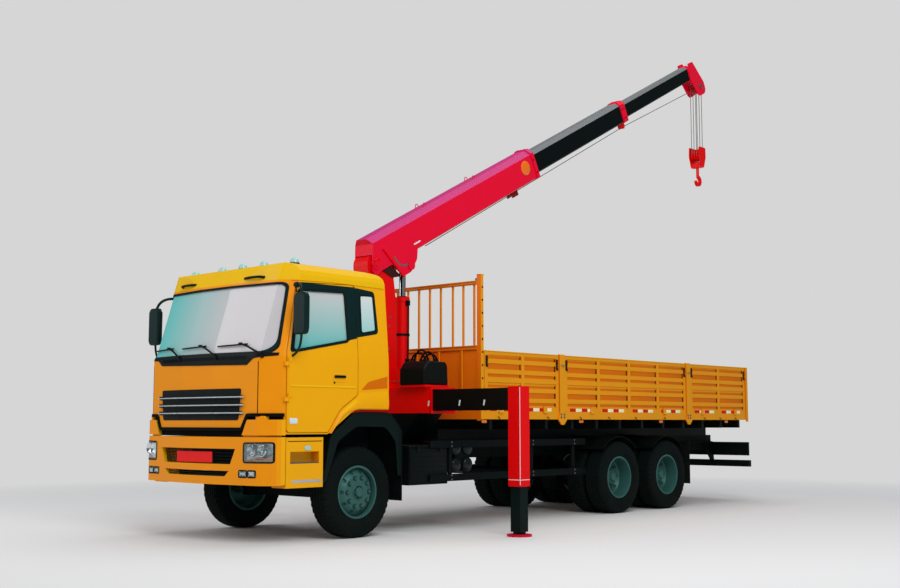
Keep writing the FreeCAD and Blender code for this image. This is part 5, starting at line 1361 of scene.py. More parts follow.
@dataclass
class CabTrim:
    """Everything fixed outside the cab: window surrounds, seams, handles, wipers and rails.

    Attributes:
        palette: Materials.
        form: The cab's outer form.
        screen: (y, z, radius) corners of the windscreen.
        door_window: (x, z, radius) corners of the door's window.
        rear_pane: (x, z, radius) corners of the quarter window behind the door.
        slat_heights: Foot of each grille slat.
    """

    palette: "Palette"
    form: CabForm = field(default_factory=CabForm)
    screen: tuple = ((1.15, 2.095, 0.09), (1.095, 2.885, 0.06), (-1.095, 2.885, 0.06),
                     (-1.15, 2.095, 0.09))
    door_window: tuple = ((1.075, 2.125, 0.03), (0.96, 2.80, 0.03), (0.285, 2.822, 0.03),
                          (0.262, 2.275, 0.03))
    rear_pane: tuple = ((0.032, 2.372, 0.025), (0.032, 2.812, 0.025), (-0.165, 2.818, 0.025),
                        (-0.19, 2.412, 0.025))
    slat_heights: tuple[float, ...] = (1.415, 1.503, 1.591)

    def _put(self, name: str, surface: Surface, look: str, body: str = "cab", slot: str = "",
             smooth: float = 0.6) -> bpy.types.Object:
        """Place a piece on the cab."""
        return place(name, surface, body, self.palette.looks[look], slot, smooth)

    def window_surrounds(self) -> None:
        """Black band round the windscreen and the side glass, and the thin seals in them."""
        edge = rounded_outline(list(self.screen), 6)
        edge = resampled(edge, 0.05)
        seal = self.form.band(shrunk(edge, -0.012), shrunk(edge, 0.008), Facing.FRONT, 0.005)
        self._put("windscreen_seal", seal, "seal_rubber", slot="dark_plastic")
        wide = resampled(rounded_outline([(1.15, 2.095, 0.15), (1.095, 2.885, 0.07),
                                          (-1.095, 2.885, 0.07), (-1.15, 2.095, 0.12)], 8), 0.05)
        frit = self.form.band(edge, shrunk(matched(wide, edge), 0.016), Facing.FRONT, 0.0012,
                              0.002)
        self._put("windscreen_border", frit, "border_black", slot="dark_plastic")
        door = resampled(rounded_outline(list(self.door_window), 5), 0.05)
        ring = self.form.band(shrunk(door, -0.028), shrunk(door, 0.004), Facing.LEFT, 0.005)
        rear = resampled(rounded_outline(list(self.rear_pane), 5), 0.05)
        tail = self.form.band(shrunk(rear, -0.020), shrunk(rear, 0.004), Facing.LEFT, 0.005)
        tint = sweep(np.stack([self.form.lay(shrunk(rear, d), at, Facing.LEFT) for d, at in (
            (0.002, -0.012), (0.002, 0.0005), (0.004, 0.0012))]))
        for side in Side:
            self._put(f"rear_pane_tint_{side.word}", sided(tint, side), "door_glass",
                      slot="glass")
            self._put(f"door_window_surround_{side.word}", sided(ring, side), "seal_rubber",
                      f"door_{side.word}", "dark_plastic")
            self._put(f"quarter_window_seal_{side.word}", sided(tail, side), "seal_rubber",
                      slot="dark_plastic")
            self._put(f"side_glass_band_{side.word}", sided(self._glass_band(), side),
                      "border_black", slot="dark_plastic")
            self._put(f"door_top_band_{side.word}", sided(self._door_band(), side),
                      "border_black", f"door_{side.word}", "dark_plastic")

    def _glass_band(self) -> Surface:
        """Black paint round the quarter window, from the door's edge back."""
        outer = resampled(rounded_outline([(0.1025, 2.315, 0.01), (0.1025, 2.900, 0.01),
                                           (-0.20, 2.875, 0.05), (-0.24, 2.375, 0.05)], 5), 0.05)
        inner = resampled(rounded_outline(list(self.rear_pane), 5), 0.05)
        inner = shrunk(matched(inner, outer), -0.018)
        return self.form.band(outer, inner, Facing.LEFT, 0.002, 0.004)

    def _door_band(self) -> Surface:
        """Black paint round the door's window, up to the door's edge."""
        outer = resampled(rounded_outline([(1.128, 2.095, 0.03), (0.985, 2.895, 0.05),
                                           (0.109, 2.905, 0.01), (0.109, 2.302, 0.01)], 5), 0.05)
        inner = resampled(rounded_outline(list(self.door_window), 5), 0.05)
        inner = shrunk(matched(inner, outer), -0.024)
        return self.form.band(outer, inner, Facing.LEFT, 0.002, 0.004)

    def seams(self) -> None:
        """The front's upright seams, the rain gutter over the doors, the gap above the bumper, its
        fillers, the fender flares and a patch of painted shade under the door's crease.
        """
        for side in Side:
            level = run_of([(1.02, 2.925), (0.5, 2.945), (-0.36, 2.935)], 0.06)
            gutter = self.form.patch(level + [0, 0.011], level - [0, 0.011], Facing.LEFT,
                                     0.009, 0.006, 3)
            self._put(f"gutter_{side.word}", sided(gutter, side), "cab_paint", slot="cab_paint")
        uprights = [self.form.stripe(run_of([(y, 1.37), (y, 2.0)], 0.06), 0.008, Facing.FRONT,
                                     0.0012) for y in (-1.0, 1.0)]
        self._put("front_seams", merged(*uprights), "gap_and_shade_black", slot="dark_plastic")
        path = [(-1.215, 1.412), (-0.86, 1.412), (-0.775, 1.256), (0.775, 1.256),
                (0.86, 1.412), (1.215, 1.412)]
        band = self.form.stripe(run_of(path, 0.03), 0.036, Facing.FRONT, 0.016, 0.016)
        backing = self.form.patch(run_of([(-1.19, 1.178), (1.19, 1.178)], 0.05),
                                  run_of([(-1.19, 1.40), (1.19, 1.40)], 0.05), Facing.FRONT,
                                  -0.030, 0.036, 2)
        self._put("bumper_gap", merged(band, backing), "gap_and_shade_black", slot="dark_plastic")
        lower = run_of([(0.79, 1.173), (1.185, 1.173)], 0.05)
        filler = self.form.patch(lower, lower + [0, 0.026], Facing.FRONT, -0.006, 0.020, 2)
        self._put("bumper_fillers", both(filler), "cab_paint", slot="cab_paint")
        for side in Side:
            flare = self.form.patch(
                spread(np.array([(-0.385, 1.70), (0.082, 1.668), (0.118, 1.61), (0.36, 1.452),
                                 (0.535, 1.210)]), 30),
                spread(np.array([(-0.385, 1.49), (0.10, 1.49), (0.25, 1.45), (0.36, 1.38),
                                 (0.520, 1.205)]), 30), Facing.LEFT,
                np.array([0.001, 0.008, 0.016, 0.019, 0.019, 0.012])[None, :], 0.004, 5)
            self._put(f"fender_flare_{side.word}", sided(flare, side), "cab_paint",
                      slot="cab_paint")
            # Darker orange patch under the door's crease: painted shade.
            shade = self.form.patch(
                run_of([(-0.035, 1.775), (-0.12, 1.83), (-0.375, 1.875)], 0.04),
                spread(np.array([(0.045, 1.705), (-0.375, 1.735)]), 8)[:8], Facing.LEFT,
                0.001, 0.003, 3) if False else self.form.patch(
                spread(np.array([(0.040, 1.712), (-0.06, 1.80), (-0.375, 1.875)]), 12),
                spread(np.array([(0.040, 1.704), (-0.375, 1.732)]), 12), Facing.LEFT,
                0.001, 0.003, 3)
            self._put(f"crease_shade_{side.word}", sided(shade, side), "bed_painted_shade",
                      slot="cab_paint")

    def cowl(self) -> None:
        """Black strip under the windscreen with raked ends, air slots and three wipers."""
        top = spread(np.array([(-1.165, 2.095), (0.0, 2.102), (1.165, 2.095)]), 60)
        low = spread(np.array([(-1.15, 2.075), (-0.86, 2.058), (-0.79, 1.998), (0.0, 1.976),
                               (0.83, 1.962), (0.93, 2.035), (1.165, 2.062)]), 60)
        cowl = self.form.patch(top, low, Facing.FRONT, 0.007, 0.006, 4)
        self._put("cowl", cowl, "plastic", slot="dark_plastic")
        bars = [self.form.stripe(run_of([(y, 2.030), (y + 0.018, 2.066)], 0.03), 0.006,
                                 Facing.FRONT, 0.011, 0.001)
                for y in np.linspace(-0.76, 0.80, 44)]
        self._put("cowl_slots", merged(*bars), "gap_and_shade_black", slot="dark_plastic")
        self._put("wipers", merged(*(self._wiper(y) for y in (-0.33, 0.36, 1.04))), "plastic",
                  slot="dark_plastic")

    def _wiper(self, pivot: float) -> Surface:
        """One wiper: hub, tapered arm, and a blade parked along the glass's foot.

        Args:
            pivot: Y of its hub.

        Returns:
            The wiper.
        """
        def at(y: float, z: float, lift: float) -> tuple[float, float, float]:
            x = float(self.form.front_x(np.array(y), np.array(z)))
            return (x + lift, y, z)

        hub = turned([(0.0, 0.030), (0.014, 0.028), (0.018, 0.020), (0.018, -0.004),
                      (0.0, -0.004)], 0, 16).moved(*at(pivot, 2.052, 0.0))
        elbow, tip, rise = pivot - 0.34, pivot - 0.70, 2.205
        arm = tube(np.array([at(pivot, 2.075, 0.024), at(pivot - 0.10, 2.125, 0.034),
                             at(pivot - 0.22, 2.175, 0.034), at(elbow, rise, 0.024)]),
                   0.012, (1.0, 0.0, 0.0), 6)
        line = np.linspace(elbow + 0.10, tip, 14)
        blade = np.array([at(y, rise - 0.01 + 0.03 * (y - elbow), 0.010) for y in line])
        rib = np.array([at(y, rise - 0.01 + 0.03 * (y - elbow), 0.018) for y in line[2:-2]])
        clip = block((-0.012, -0.026, -0.010), (0.012, 0.026, 0.012), 0.004).moved(
            *at(elbow, rise, 0.020))
        return merged(hub, arm, tube(blade, 0.009, (1.0, 0.0, 0.0), 6),
                      tube(rib, 0.007, (1.0, 0.0, 0.0), 6), clip)

    def rails(self) -> None:
        """Two short grab rails above the windscreen."""
        shapes = []
        for low, high in ((-0.78, -0.46), (0.45, 0.77)):
            x = float(self.form.front_x(np.array(0.75), np.array(2.97)))
            shapes.append(tube(bow([(x - 0.01, low, 2.965), (x + 0.055, low, 2.975),
                                    (x + 0.055, low + 0.02, 2.975), (x + 0.055, high - 0.02, 2.975),
                                    (x + 0.055, high, 2.975), (x - 0.01, high, 2.965)], 18),
                               0.015, (0.0, 0.1, 1.0), 8))
            for y in (low, high):
                shapes.append(turned([(0.0, 0.006), (0.018, 0.005), (0.020, -0.008),
                                      (0.0, -0.008)], 0, 14).moved(x, y, 2.966))
        self._put("screen_rails", merged(*shapes), "plastic", slot="dark_plastic")

    def door_fittings(self) -> None:
        """Handle, lock, handle cup, rear seal, marker lamp and swage of each door."""
        for side in Side:
            body = f"door_{side.word}"
            y = float(self.form.side_y(np.array(0.39), np.array(1.837)))
            cup = plate(rounded(0.105, 0.20, 0.040, 6), 1, -0.003, 0.0035, 0.002)
            grip = plate(rounded(0.030, 0.175, 0.012, 4), 1, 0.004, 0.022, 0.006)
            cup, grip = cup.moved(0.39, y, 1.837), grip.moved(0.39, y, 1.850)
            lock = turned([(0.0, 0.006), (0.010, 0.006), (0.013, 0.003), (0.013, -0.003),
                           (0.0, -0.003)], 1, 16).moved(0.47, y, 1.78)
            self._put(f"door_handle_{side.word}", sided(merged(grip, lock), side),
                      "plastic", body, "dark_plastic")
            self._put(f"door_cup_{side.word}", sided(cup, side), "cab_paint", body, "cab_paint")
            self._put(f"door_seal_{side.word}", sided(self._door_seal(), side), "gap_and_shade_black",
                      slot="dark_plastic")
            low, high = (1.02, 1.345), (1.125, 1.345)
            mark = self.form.patch(run_of([(low[0], 1.313), (high[0], 1.313)], 0.02),
                                   run_of([(low[0], 1.378), (high[0], 1.378)], 0.02),
                                   Facing.LEFT, np.array([0.004, 0.014, 0.016, 0.016, 0.014,
                                                          0.004])[None, :], 0.004, 5)
            self._put(f"door_marker_{side.word}", sided(mark, side), "lens_clear", body,
                      "lamp_lens")
            swage = self.form.patch(run_of([(1.12, 1.742), (0.14, 1.742)], 0.06),
                                    run_of([(1.12, 1.718), (0.14, 1.718)], 0.06), Facing.LEFT,
                                    np.array([0.001, 0.006, 0.007, 0.001])[None, :], 0.003, 3)
            self._put(f"door_swage_{side.word}", sided(swage, side), "cab_paint", body,
                      "cab_paint")

    def mirrors(self) -> None:
        """Rounded mirror heads on bent tubes, in place of the plain ones."""
        head = plate(rounded(0.212, 0.462, 0.052, 6), 0, 1.072, 1.149, 0.018).moved(
            0.0, 1.40, 2.52)
        glass = plate(rounded(0.176, 0.424, 0.040, 6), 0, 1.069, 1.073).moved(0.0, 1.40, 2.52)
        upper = bow([(0.965, 1.170, 2.862), (1.015, 1.265, 2.885), (1.105, 1.375, 2.862),
                     (1.105, 1.400, 2.70)], 18)
        lower = bow([(1.105, 1.400, 2.33), (1.105, 1.400, 2.13), (1.100, 1.320, 2.070),
                     (1.085, 1.172, 2.050)], 18)
        foot = turned([(0.0, 0.030), (0.026, 0.026), (0.036, 0.010), (0.038, -0.020),
                       (0.0, -0.020)], 1, 18)
        shape = merged(head, tube(upper, 0.017, (1.0, 0.0, 0.0), 10),
                       tube(lower, 0.014, (1.0, 0.0, 0.0), 10), foot.moved(1.080, 1.170, 2.048),
                       foot.moved(0.975, 1.160, 2.862))
        for side in Side:
            piece = self._put(f"mirror_head_{side.word}", sided(shape, side), "mirror_plastic",
                              f"door_{side.word}", "dark_plastic")
            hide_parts(f"mirror_{side.word}")
            self._put(f"mirror_face_{side.word}", sided(glass, side), "chrome",
                      f"door_{side.word}", "rod_chrome")

    def _door_seal(self) -> Surface:
        """Rubber behind the gap at the door's rear edge."""
        return self.form.patch(run_of([(0.088, 1.66), (0.088, 2.90)], 0.06),
                               run_of([(0.124, 1.66), (0.124, 2.90)], 0.06), Facing.LEFT,
                               -0.016, 0.030, 1)

    def grille_trim(self) -> None:
        """Pale edges of the grille's slats."""
        shapes = []
        for foot in self.slat_heights:
            run = run_of([(-0.80, foot + 0.020), (0.80, foot + 0.020)], 0.07)
            shapes.append(self.form.patch(run + [0, 0.010], run - [0, 0.010], Facing.FRONT,
                                          np.array([0.031, 0.0365, 0.0365, 0.031])[None, :],
                                          -0.002, 3))
        self._put("grille_slats", merged(*shapes), "silver", slot="dark_plastic")

    def build(self) -> None:
        """Build all trim."""
        self.window_surrounds()
        self.seams()
        self.cowl()
        self.rails()
        self.door_fittings()
        self.mirrors()
        self.grille_trim()


BUMPER_FORM = CabForm(
    side_line=((9.0, 0.2, 0.01), (9.1, 2.5, 0.01)),
    plan_line=((1.40, -1.03, 0.01), (1.53, 0.0, 3.5), (1.40, 1.03, 0.15), (1.26, 1.24, 0.15),
               (1.175, 1.24, 0.01)), belt=9.0)


@dataclass
class Lamps:
    """Head, fog, turn and tail lamps: cases, bowls, bulbs and lenses.

    Attributes:
        palette: Materials.
        head: (y, z, radius) corners of the left headlamp.
        fog: (y low, y high) of the fog lamp.
        turn: (y low, y high) of the turn lamp.
        low: Foot of the small lamps.
        high: Top of the small lamps.
    """

    palette: "Palette"
    head: tuple = ((0.832, 0.897, 0.02), (1.188, 0.897, 0.02), (1.188, 1.108, 0.02),
                   (0.832, 1.103, 0.02))
    fog: tuple[float, float] = (0.767, 0.878)
    turn: tuple[float, float] = (0.902, 1.008)
    low: float = 0.737
    high: float = 0.803

    def _bowl(self, y: float, z: float, radius: float, depth: float, x: float) -> Surface:
        """Bright bowl: its depth falls with the square of the distance from its axis."""
        r = np.linspace(0.0, radius, 7)
        face = [(float(a), x - depth * (1 - (a / radius) ** 2)) for a in r]
        rear = [(float(a), b - 0.004) for a, b in reversed(face)]
        bulb = turned([(0.0, x - depth * 0.35), (0.010, x - depth * 0.42),
                       (0.012, x - depth), (0.0, x - depth)], 0, 14)
        shade = turned([(0.0, x - depth * 0.25), (0.017, x - depth * 0.27),
                        (0.017, x - depth * 0.40), (0.0, x - depth * 0.38)], 0, 14)
        rim = turned([(radius, x - 0.003), (radius + 0.004, x + 0.002), (radius + 0.007, x),
                      (radius + 0.007, x - 0.012), (radius, x - 0.012)], 0, 28)
        return merged(turned(face + rear, 0, 28), bulb, shade, rim).moved(0.0, y, z)

    def _small(self, ends: tuple[float, float]) -> Array:
        """Outline of a small lamp."""
        return resampled(rounded_outline([(ends[0], self.low, 0.008), (ends[1], self.low, 0.008),
                                          (ends[1], self.high, 0.008),
                                          (ends[0], self.high, 0.008)], 3), 0.03)

    def front(self) -> None:
        """Both headlamps, fog lamps and turn lamps."""
        form, looks = BUMPER_FORM, self.palette.looks
        head = resampled(rounded_outline(list(self.head), 4), 0.03)
        low = self.head[0][1]
        split = [(0.832, low, 0.005), (1.188, low, 0.02), (1.188, 1.0, 0.005),
                 (1.10, 0.955, 0.03), (0.86, 0.935, 0.01)]
        amber = resampled(rounded_outline(split, 3), 0.03)
        cases, lenses, ambers, bowls = [], [], [], []
        for outline in (head, self._small(self.fog), self._small(self.turn)):
            rings = np.stack([form.lay(shrunk(outline, 0.004), -0.048, Facing.FRONT),
                              form.lay(outline, -0.046, Facing.FRONT),
                              form.lay(outline, 0.003, Facing.FRONT),
                              form.lay(shrunk(outline, 0.007), 0.003, Facing.FRONT),
                              form.lay(shrunk(outline, 0.009), -0.040, Facing.FRONT)])
            cases += [sweep(rings[:, ::-1])]
            bezel = form.band(shrunk(outline, -0.010), shrunk(outline, 0.002), Facing.FRONT,
                              0.0045, 0.004)
            cases += [bezel]
        for outline in (head, self._small(self.fog), self._small(self.turn)):
            lenses.append(self._lens(outline))
            bowls.append(self._field(outline, -0.036))
        ambers.append(self._field(amber, -0.012))
        for y, radius in ((0.925, 0.062), (1.065, 0.062)):
            x = float(form.front_x(np.array(y), np.array(1.02)))
            bowls.append(self._bowl(y, 1.022, radius, 0.030, x - 0.008))
        for ends in (self.fog, self.turn):
            y = sum(ends) / 2
            x = float(form.front_x(np.array(y), np.array(0.77)))
            bowls.append(self._bowl(y, 0.77, 0.027, 0.022, x - 0.010))
        place("lamp_cases", both(merged(*cases)), "chassis", looks["plastic"],
                     "dark_plastic")
        place("lamp_bowls", both(merged(*bowls)), "chassis", looks["chrome"], "lamp_lens")
        place("lamp_amber", both(merged(*ambers)), "chassis", looks["lens_amber"], "lamp_lens")
        place("lamp_lenses", both(merged(*lenses)), "chassis", looks["lamp_glass"], "lamp_lens")

    def _field(self, outline: Array, face: float) -> Surface:
        """Flat field inside a lamp, its face at a depth behind the lens."""
        rings = [BUMPER_FORM.lay(shrunk(outline, d), at, Facing.FRONT)
                 for d, at in ((0.010, -0.042), (0.010, face), (0.014, face + 0.003))]
        return sweep(np.stack(rings))

    def _lens(self, outline: Array) -> Surface:
        """Thin clear shell that bulges a little over the lamp."""
        rings = [BUMPER_FORM.lay(shrunk(outline, d), lift, Facing.FRONT)
                 for d, lift in ((0.002, -0.004), (0.002, 0.001), (0.006, 0.0035),
                                 (0.020, 0.0042))]
        return sweep(np.stack(rings))

    def tail(self) -> None:
        """Tail lamp clusters: case and ribbed red, amber and clear fields."""
        looks = self.palette.looks
        case = block((-9.262, 0.62, 0.80), (-9.240, 1.12, 0.95), 0.012)
        fields = {"lens_red": ((0.634, 0.800), (0.98, 1.106)), "lens_amber": ((0.812, 0.90),),
                  "lens_clear": ((0.912, 0.968),)}
        tail_case = place("tail_lamp_cases", both(case), "chassis", looks["plastic"],
                          "dark_plastic")
        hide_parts("lamps")
        for look, spans in fields.items():
            shapes = []
            for low, high in spans:
                shapes.append(block((-9.272, low, 0.815), (-9.260, high, 0.935), 0.006))
                ribs = np.arange(low + 0.012, high - 0.008, 0.011)
                rib = block((-9.2745, -0.003, 0.822), (-9.271, 0.003, 0.928), 0.001)
                shapes.append(rib.repeated(np.stack([ribs * 0, ribs, ribs * 0], axis=1)))
            place(f"tail_{look}", both(merged(*shapes)), "chassis", looks[look], "lamp_lens")

    def roof(self) -> None:
        """Marker lamps on the roof: dark foot, gasket and pale dome."""
        looks = self.palette.looks
        y = np.array([-0.95, -0.40, 0.0, 0.40, 0.95])
        at = np.stack([np.full(5, 0.84), y, 3.118 - 0.013 * np.abs(y) / 0.95], axis=1)
        foot = turned([(0.0, 0.040), (0.054, 0.039), (0.062, 0.030), (0.068, 0.0),
                       (0.068, -0.03), (0.0, -0.03)], 2, 28)
        dome = turned([(0.0, 0.098), (0.018, 0.096), (0.034, 0.088), (0.045, 0.072),
                       (0.052, 0.052), (0.053, 0.038), (0.0, 0.036)], 2, 28)
        ribs = turned([(0.0525, 0.022), (0.0545, 0.024), (0.0525, 0.026), (0.051, 0.024)], 2, 28)
        ribs = ribs.repeated(np.array([[0, 0, 0.018 + 0.005 * k] for k in range(2)]))
        place("roof_lamp_feet", foot.repeated(at), "cab", looks["plastic"],
                     "dark_plastic")
        dome_set = place("roof_lamp_domes", merged(dome, ribs).repeated(at), "cab",
                         looks["lens_teal"], "lamp_lens")
        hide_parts("roof_lamps")

    def build(self) -> None:
        """Build every lamp."""
        self.front()
        self.tail()
        self.roof()


@dataclass
class Interior:
    """Seats with sewn cushions, the curtain behind the door, and the dash's hood, dials and vents.

    Attributes:
        palette: Materials.
        seat_x: Middle of a seat.
        seat_z: Foot of its cushion.
        width: Width of a seat.
        seat_y: Middles of both seats.
    """

    palette: "Palette"
    seat_x: float = 0.33
    seat_z: float = 1.72
    width: float = 0.50
    seat_y: tuple[float, float] = (0.52, -0.52)

    def _pad(self, length: float, width: float, high: float, seams: int) -> Surface:
        """Crowned cushion about its own middle.

        With a, b in -1..1, the top lies at high (1-a^8)^.5 (1-b^8)^.5 (0.8 + 0.2 cos(pi b / 2)),
        less a narrow valley 1/(1+k(d)^2) at each seam line; the foot is its flat shadow.

        Args:
            length: Size along X.
            width: Size along Y.
            high: Height of the crown.
            seams: Seam lines across.

        Returns:
            A closed cushion.
        """
        a = np.sin(np.linspace(-math.pi / 2, math.pi / 2, 41))
        b = np.sin(np.linspace(-math.pi / 2, math.pi / 2, 41))
        a, b = np.meshgrid(a, b, indexing="ij")
        rim = np.sqrt(np.maximum(1 - a ** 8, 0)) * np.sqrt(np.maximum(1 - b ** 8, 0))
        crown = high * rim * (0.80 + 0.20 * np.cos(math.pi * b / 2) * np.cos(math.pi * a / 2))
        for place_at in np.linspace(-0.5, 0.5, seams):
            away = (a - place_at) * length / 2
            crown = crown - 0.012 * rim / (1 + (away / 0.006) ** 2)
        for place_at in (-0.62, 0.62):
            away = (b - place_at) * width / 2
            crown = crown - 0.010 * rim / (1 + (away / 0.006) ** 2)
        drawn = 1 - 0.06 * (1 - rim)
        top = np.stack([a * length / 2 * drawn, b * width / 2 * drawn, crown], axis=-1)
        low = np.stack([a * length / 2 * 0.97, b * width / 2 * 0.97,
                        np.full_like(a, -0.012) * rim], axis=-1)
        border = np.concatenate([np.arange(41), 41 * np.arange(1, 41) + 40,
                                 41 * 40 + np.arange(39, -1, -1), 41 * np.arange(39, 0, -1)])
        upper, lower = net(top), net(low)
        lower.faces = [lower.faces[0][:, ::-1]]
        shell = merged(upper, lower)
        first, second = border, np.roll(border, -1)
        shell.faces.append(np.stack([first, second, second + 1681, first + 1681], axis=1))
        return shell.outward()

    def seats(self) -> None:
        """Base cushion, back rest, head rest, frame and pedestal of each seat."""
        cloth, looks = [], self.palette.looks
        frames = []
        for y in self.seat_y:
            base = self._pad(0.52, self.width, 0.125, 3)
            cloth.append(base.rotated(1, -2.0).moved(self.seat_x, y, self.seat_z + 0.012))
            back = self._pad(0.62, self.width - 0.03, 0.115, 4).rotated(1, 96.0)
            cloth.append(back.moved(self.seat_x - 0.262, y, self.seat_z + 0.42))
            head = self._pad(0.19, 0.28, 0.09, 1).rotated(1, 96.0)
            cloth.append(head.moved(self.seat_x - 0.300, y, self.seat_z + 0.80))
            frames += [
                block((self.seat_x - 0.255, y - 0.24, self.seat_z - 0.03),
                      (self.seat_x + 0.255, y + 0.24, self.seat_z + 0.004), 0.015),
                plate(rounded(0.30, 0.30, 0.05), 2, 1.26, self.seat_z - 0.028,
                      0.01).moved(self.seat_x - 0.01, y, 0.0),
                tube(np.array([[self.seat_x - 0.292, y - 0.05, self.seat_z + 0.62],
                               [self.seat_x - 0.306, y - 0.05, self.seat_z + 0.79]]), 0.006,
                     (0.0, 1.0, 0.0), 8),
                tube(np.array([[self.seat_x - 0.292, y + 0.05, self.seat_z + 0.62],
                               [self.seat_x - 0.306, y + 0.05, self.seat_z + 0.79]]), 0.006,
                     (0.0, 1.0, 0.0), 8)]
        seat = place("seat_cushions", merged(*cloth), "cab", looks["seat_cloth"], "seat_cover")
        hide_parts("seats")
        place("seat_frames", merged(*frames), "cab", looks["plastic"], "dark_plastic")

    def curtain(self) -> None:
        """Pleated curtain inside each quarter window.

        Along its length s the cloth stands at amp sin(TAU 9 s) across, more at its foot.
        """
        s, h = np.meshgrid(np.linspace(0, 1, 73), np.linspace(0, 1, 12), indexing="ij")
        x = -0.19 + 0.15 * s
        y = 1.105 + 0.012 * np.sin(TAU * 7 * s) * (0.5 + 0.5 * h)
        z = 2.80 - 0.44 * h
        y = y - 0.03 * (z - 2.36)
        out = np.stack([x, y, z], axis=-1)
        back = out - np.array([0.0, 0.004, 0.0])
        cloth = sweep(np.concatenate([out, back[:, ::-1]], axis=1))
        place("curtains", both(cloth), "cab", self.palette.looks["curtain_cloth"], "seat_cover")

    def dash(self) -> None:
        """Gauge hood, dials and air vents."""
        looks = self.palette.looks
        hood = plate(np.array([(1.02, 2.045), (1.05, 2.105), (1.14, 2.115), (1.20, 2.05)])[
            :, ::-1], 1, 0.30, 0.74, 0.01)
        dials = merged(*(turned([(0.0, 0.004), (0.042, 0.004), (0.046, 0.008), (0.050, 0.0),
                                 (0.0, 0.0)], 0, 24).scaled(-1.0).moved(1.03, y, 2.035)
                         for y in (0.44, 0.60)))
        vents = block((0.962, -0.06, 1.90), (0.985, 0.06, 1.955), 0.004)
        slats = block((0.956, -0.055, -0.002), (0.968, 0.055, 0.002), 0.001).repeated(
            np.array([[0, 0, 1.91 + 0.009 * k] for k in range(5)]))
        vents = merged(vents, slats).repeated(np.array([[0, y, 0] for y in
                                                        (-0.85, -0.25, 0.05, 0.95)]))
        place("dash_hood", hood, "cab", looks["dash_plastic"], "dark_plastic")
        place("dash_dials", dials, "cab", looks["chrome"], "dark_plastic")
        place("dash_vents", vents, "cab", looks["plastic"], "dark_plastic")

    def build(self) -> None:
        """Build the cab's inside."""
        self.seats()
        self.curtain()
        self.dash()


# Crane


COS_BOOM, SIN_BOOM = math.cos(math.radians(27.7)), math.sin(math.radians(27.7))


def on_boom(points: Array) -> Array:
    """Turn (u, y, v) places, along and square to the boom, into x, y, z."""
    u, y, v = points[..., 0], points[..., 1], points[..., 2]
    return np.stack([-1.2 - u * COS_BOOM + v * SIN_BOOM, y, 3.4 + u * SIN_BOOM + v * COS_BOOM],
                    axis=-1)


def laid_on_boom(surface: Surface) -> Surface:
    """Lay a surface drawn with u, y, v for its axes on the boom."""
    return Surface(on_boom(surface.points), surface.faces).outward()


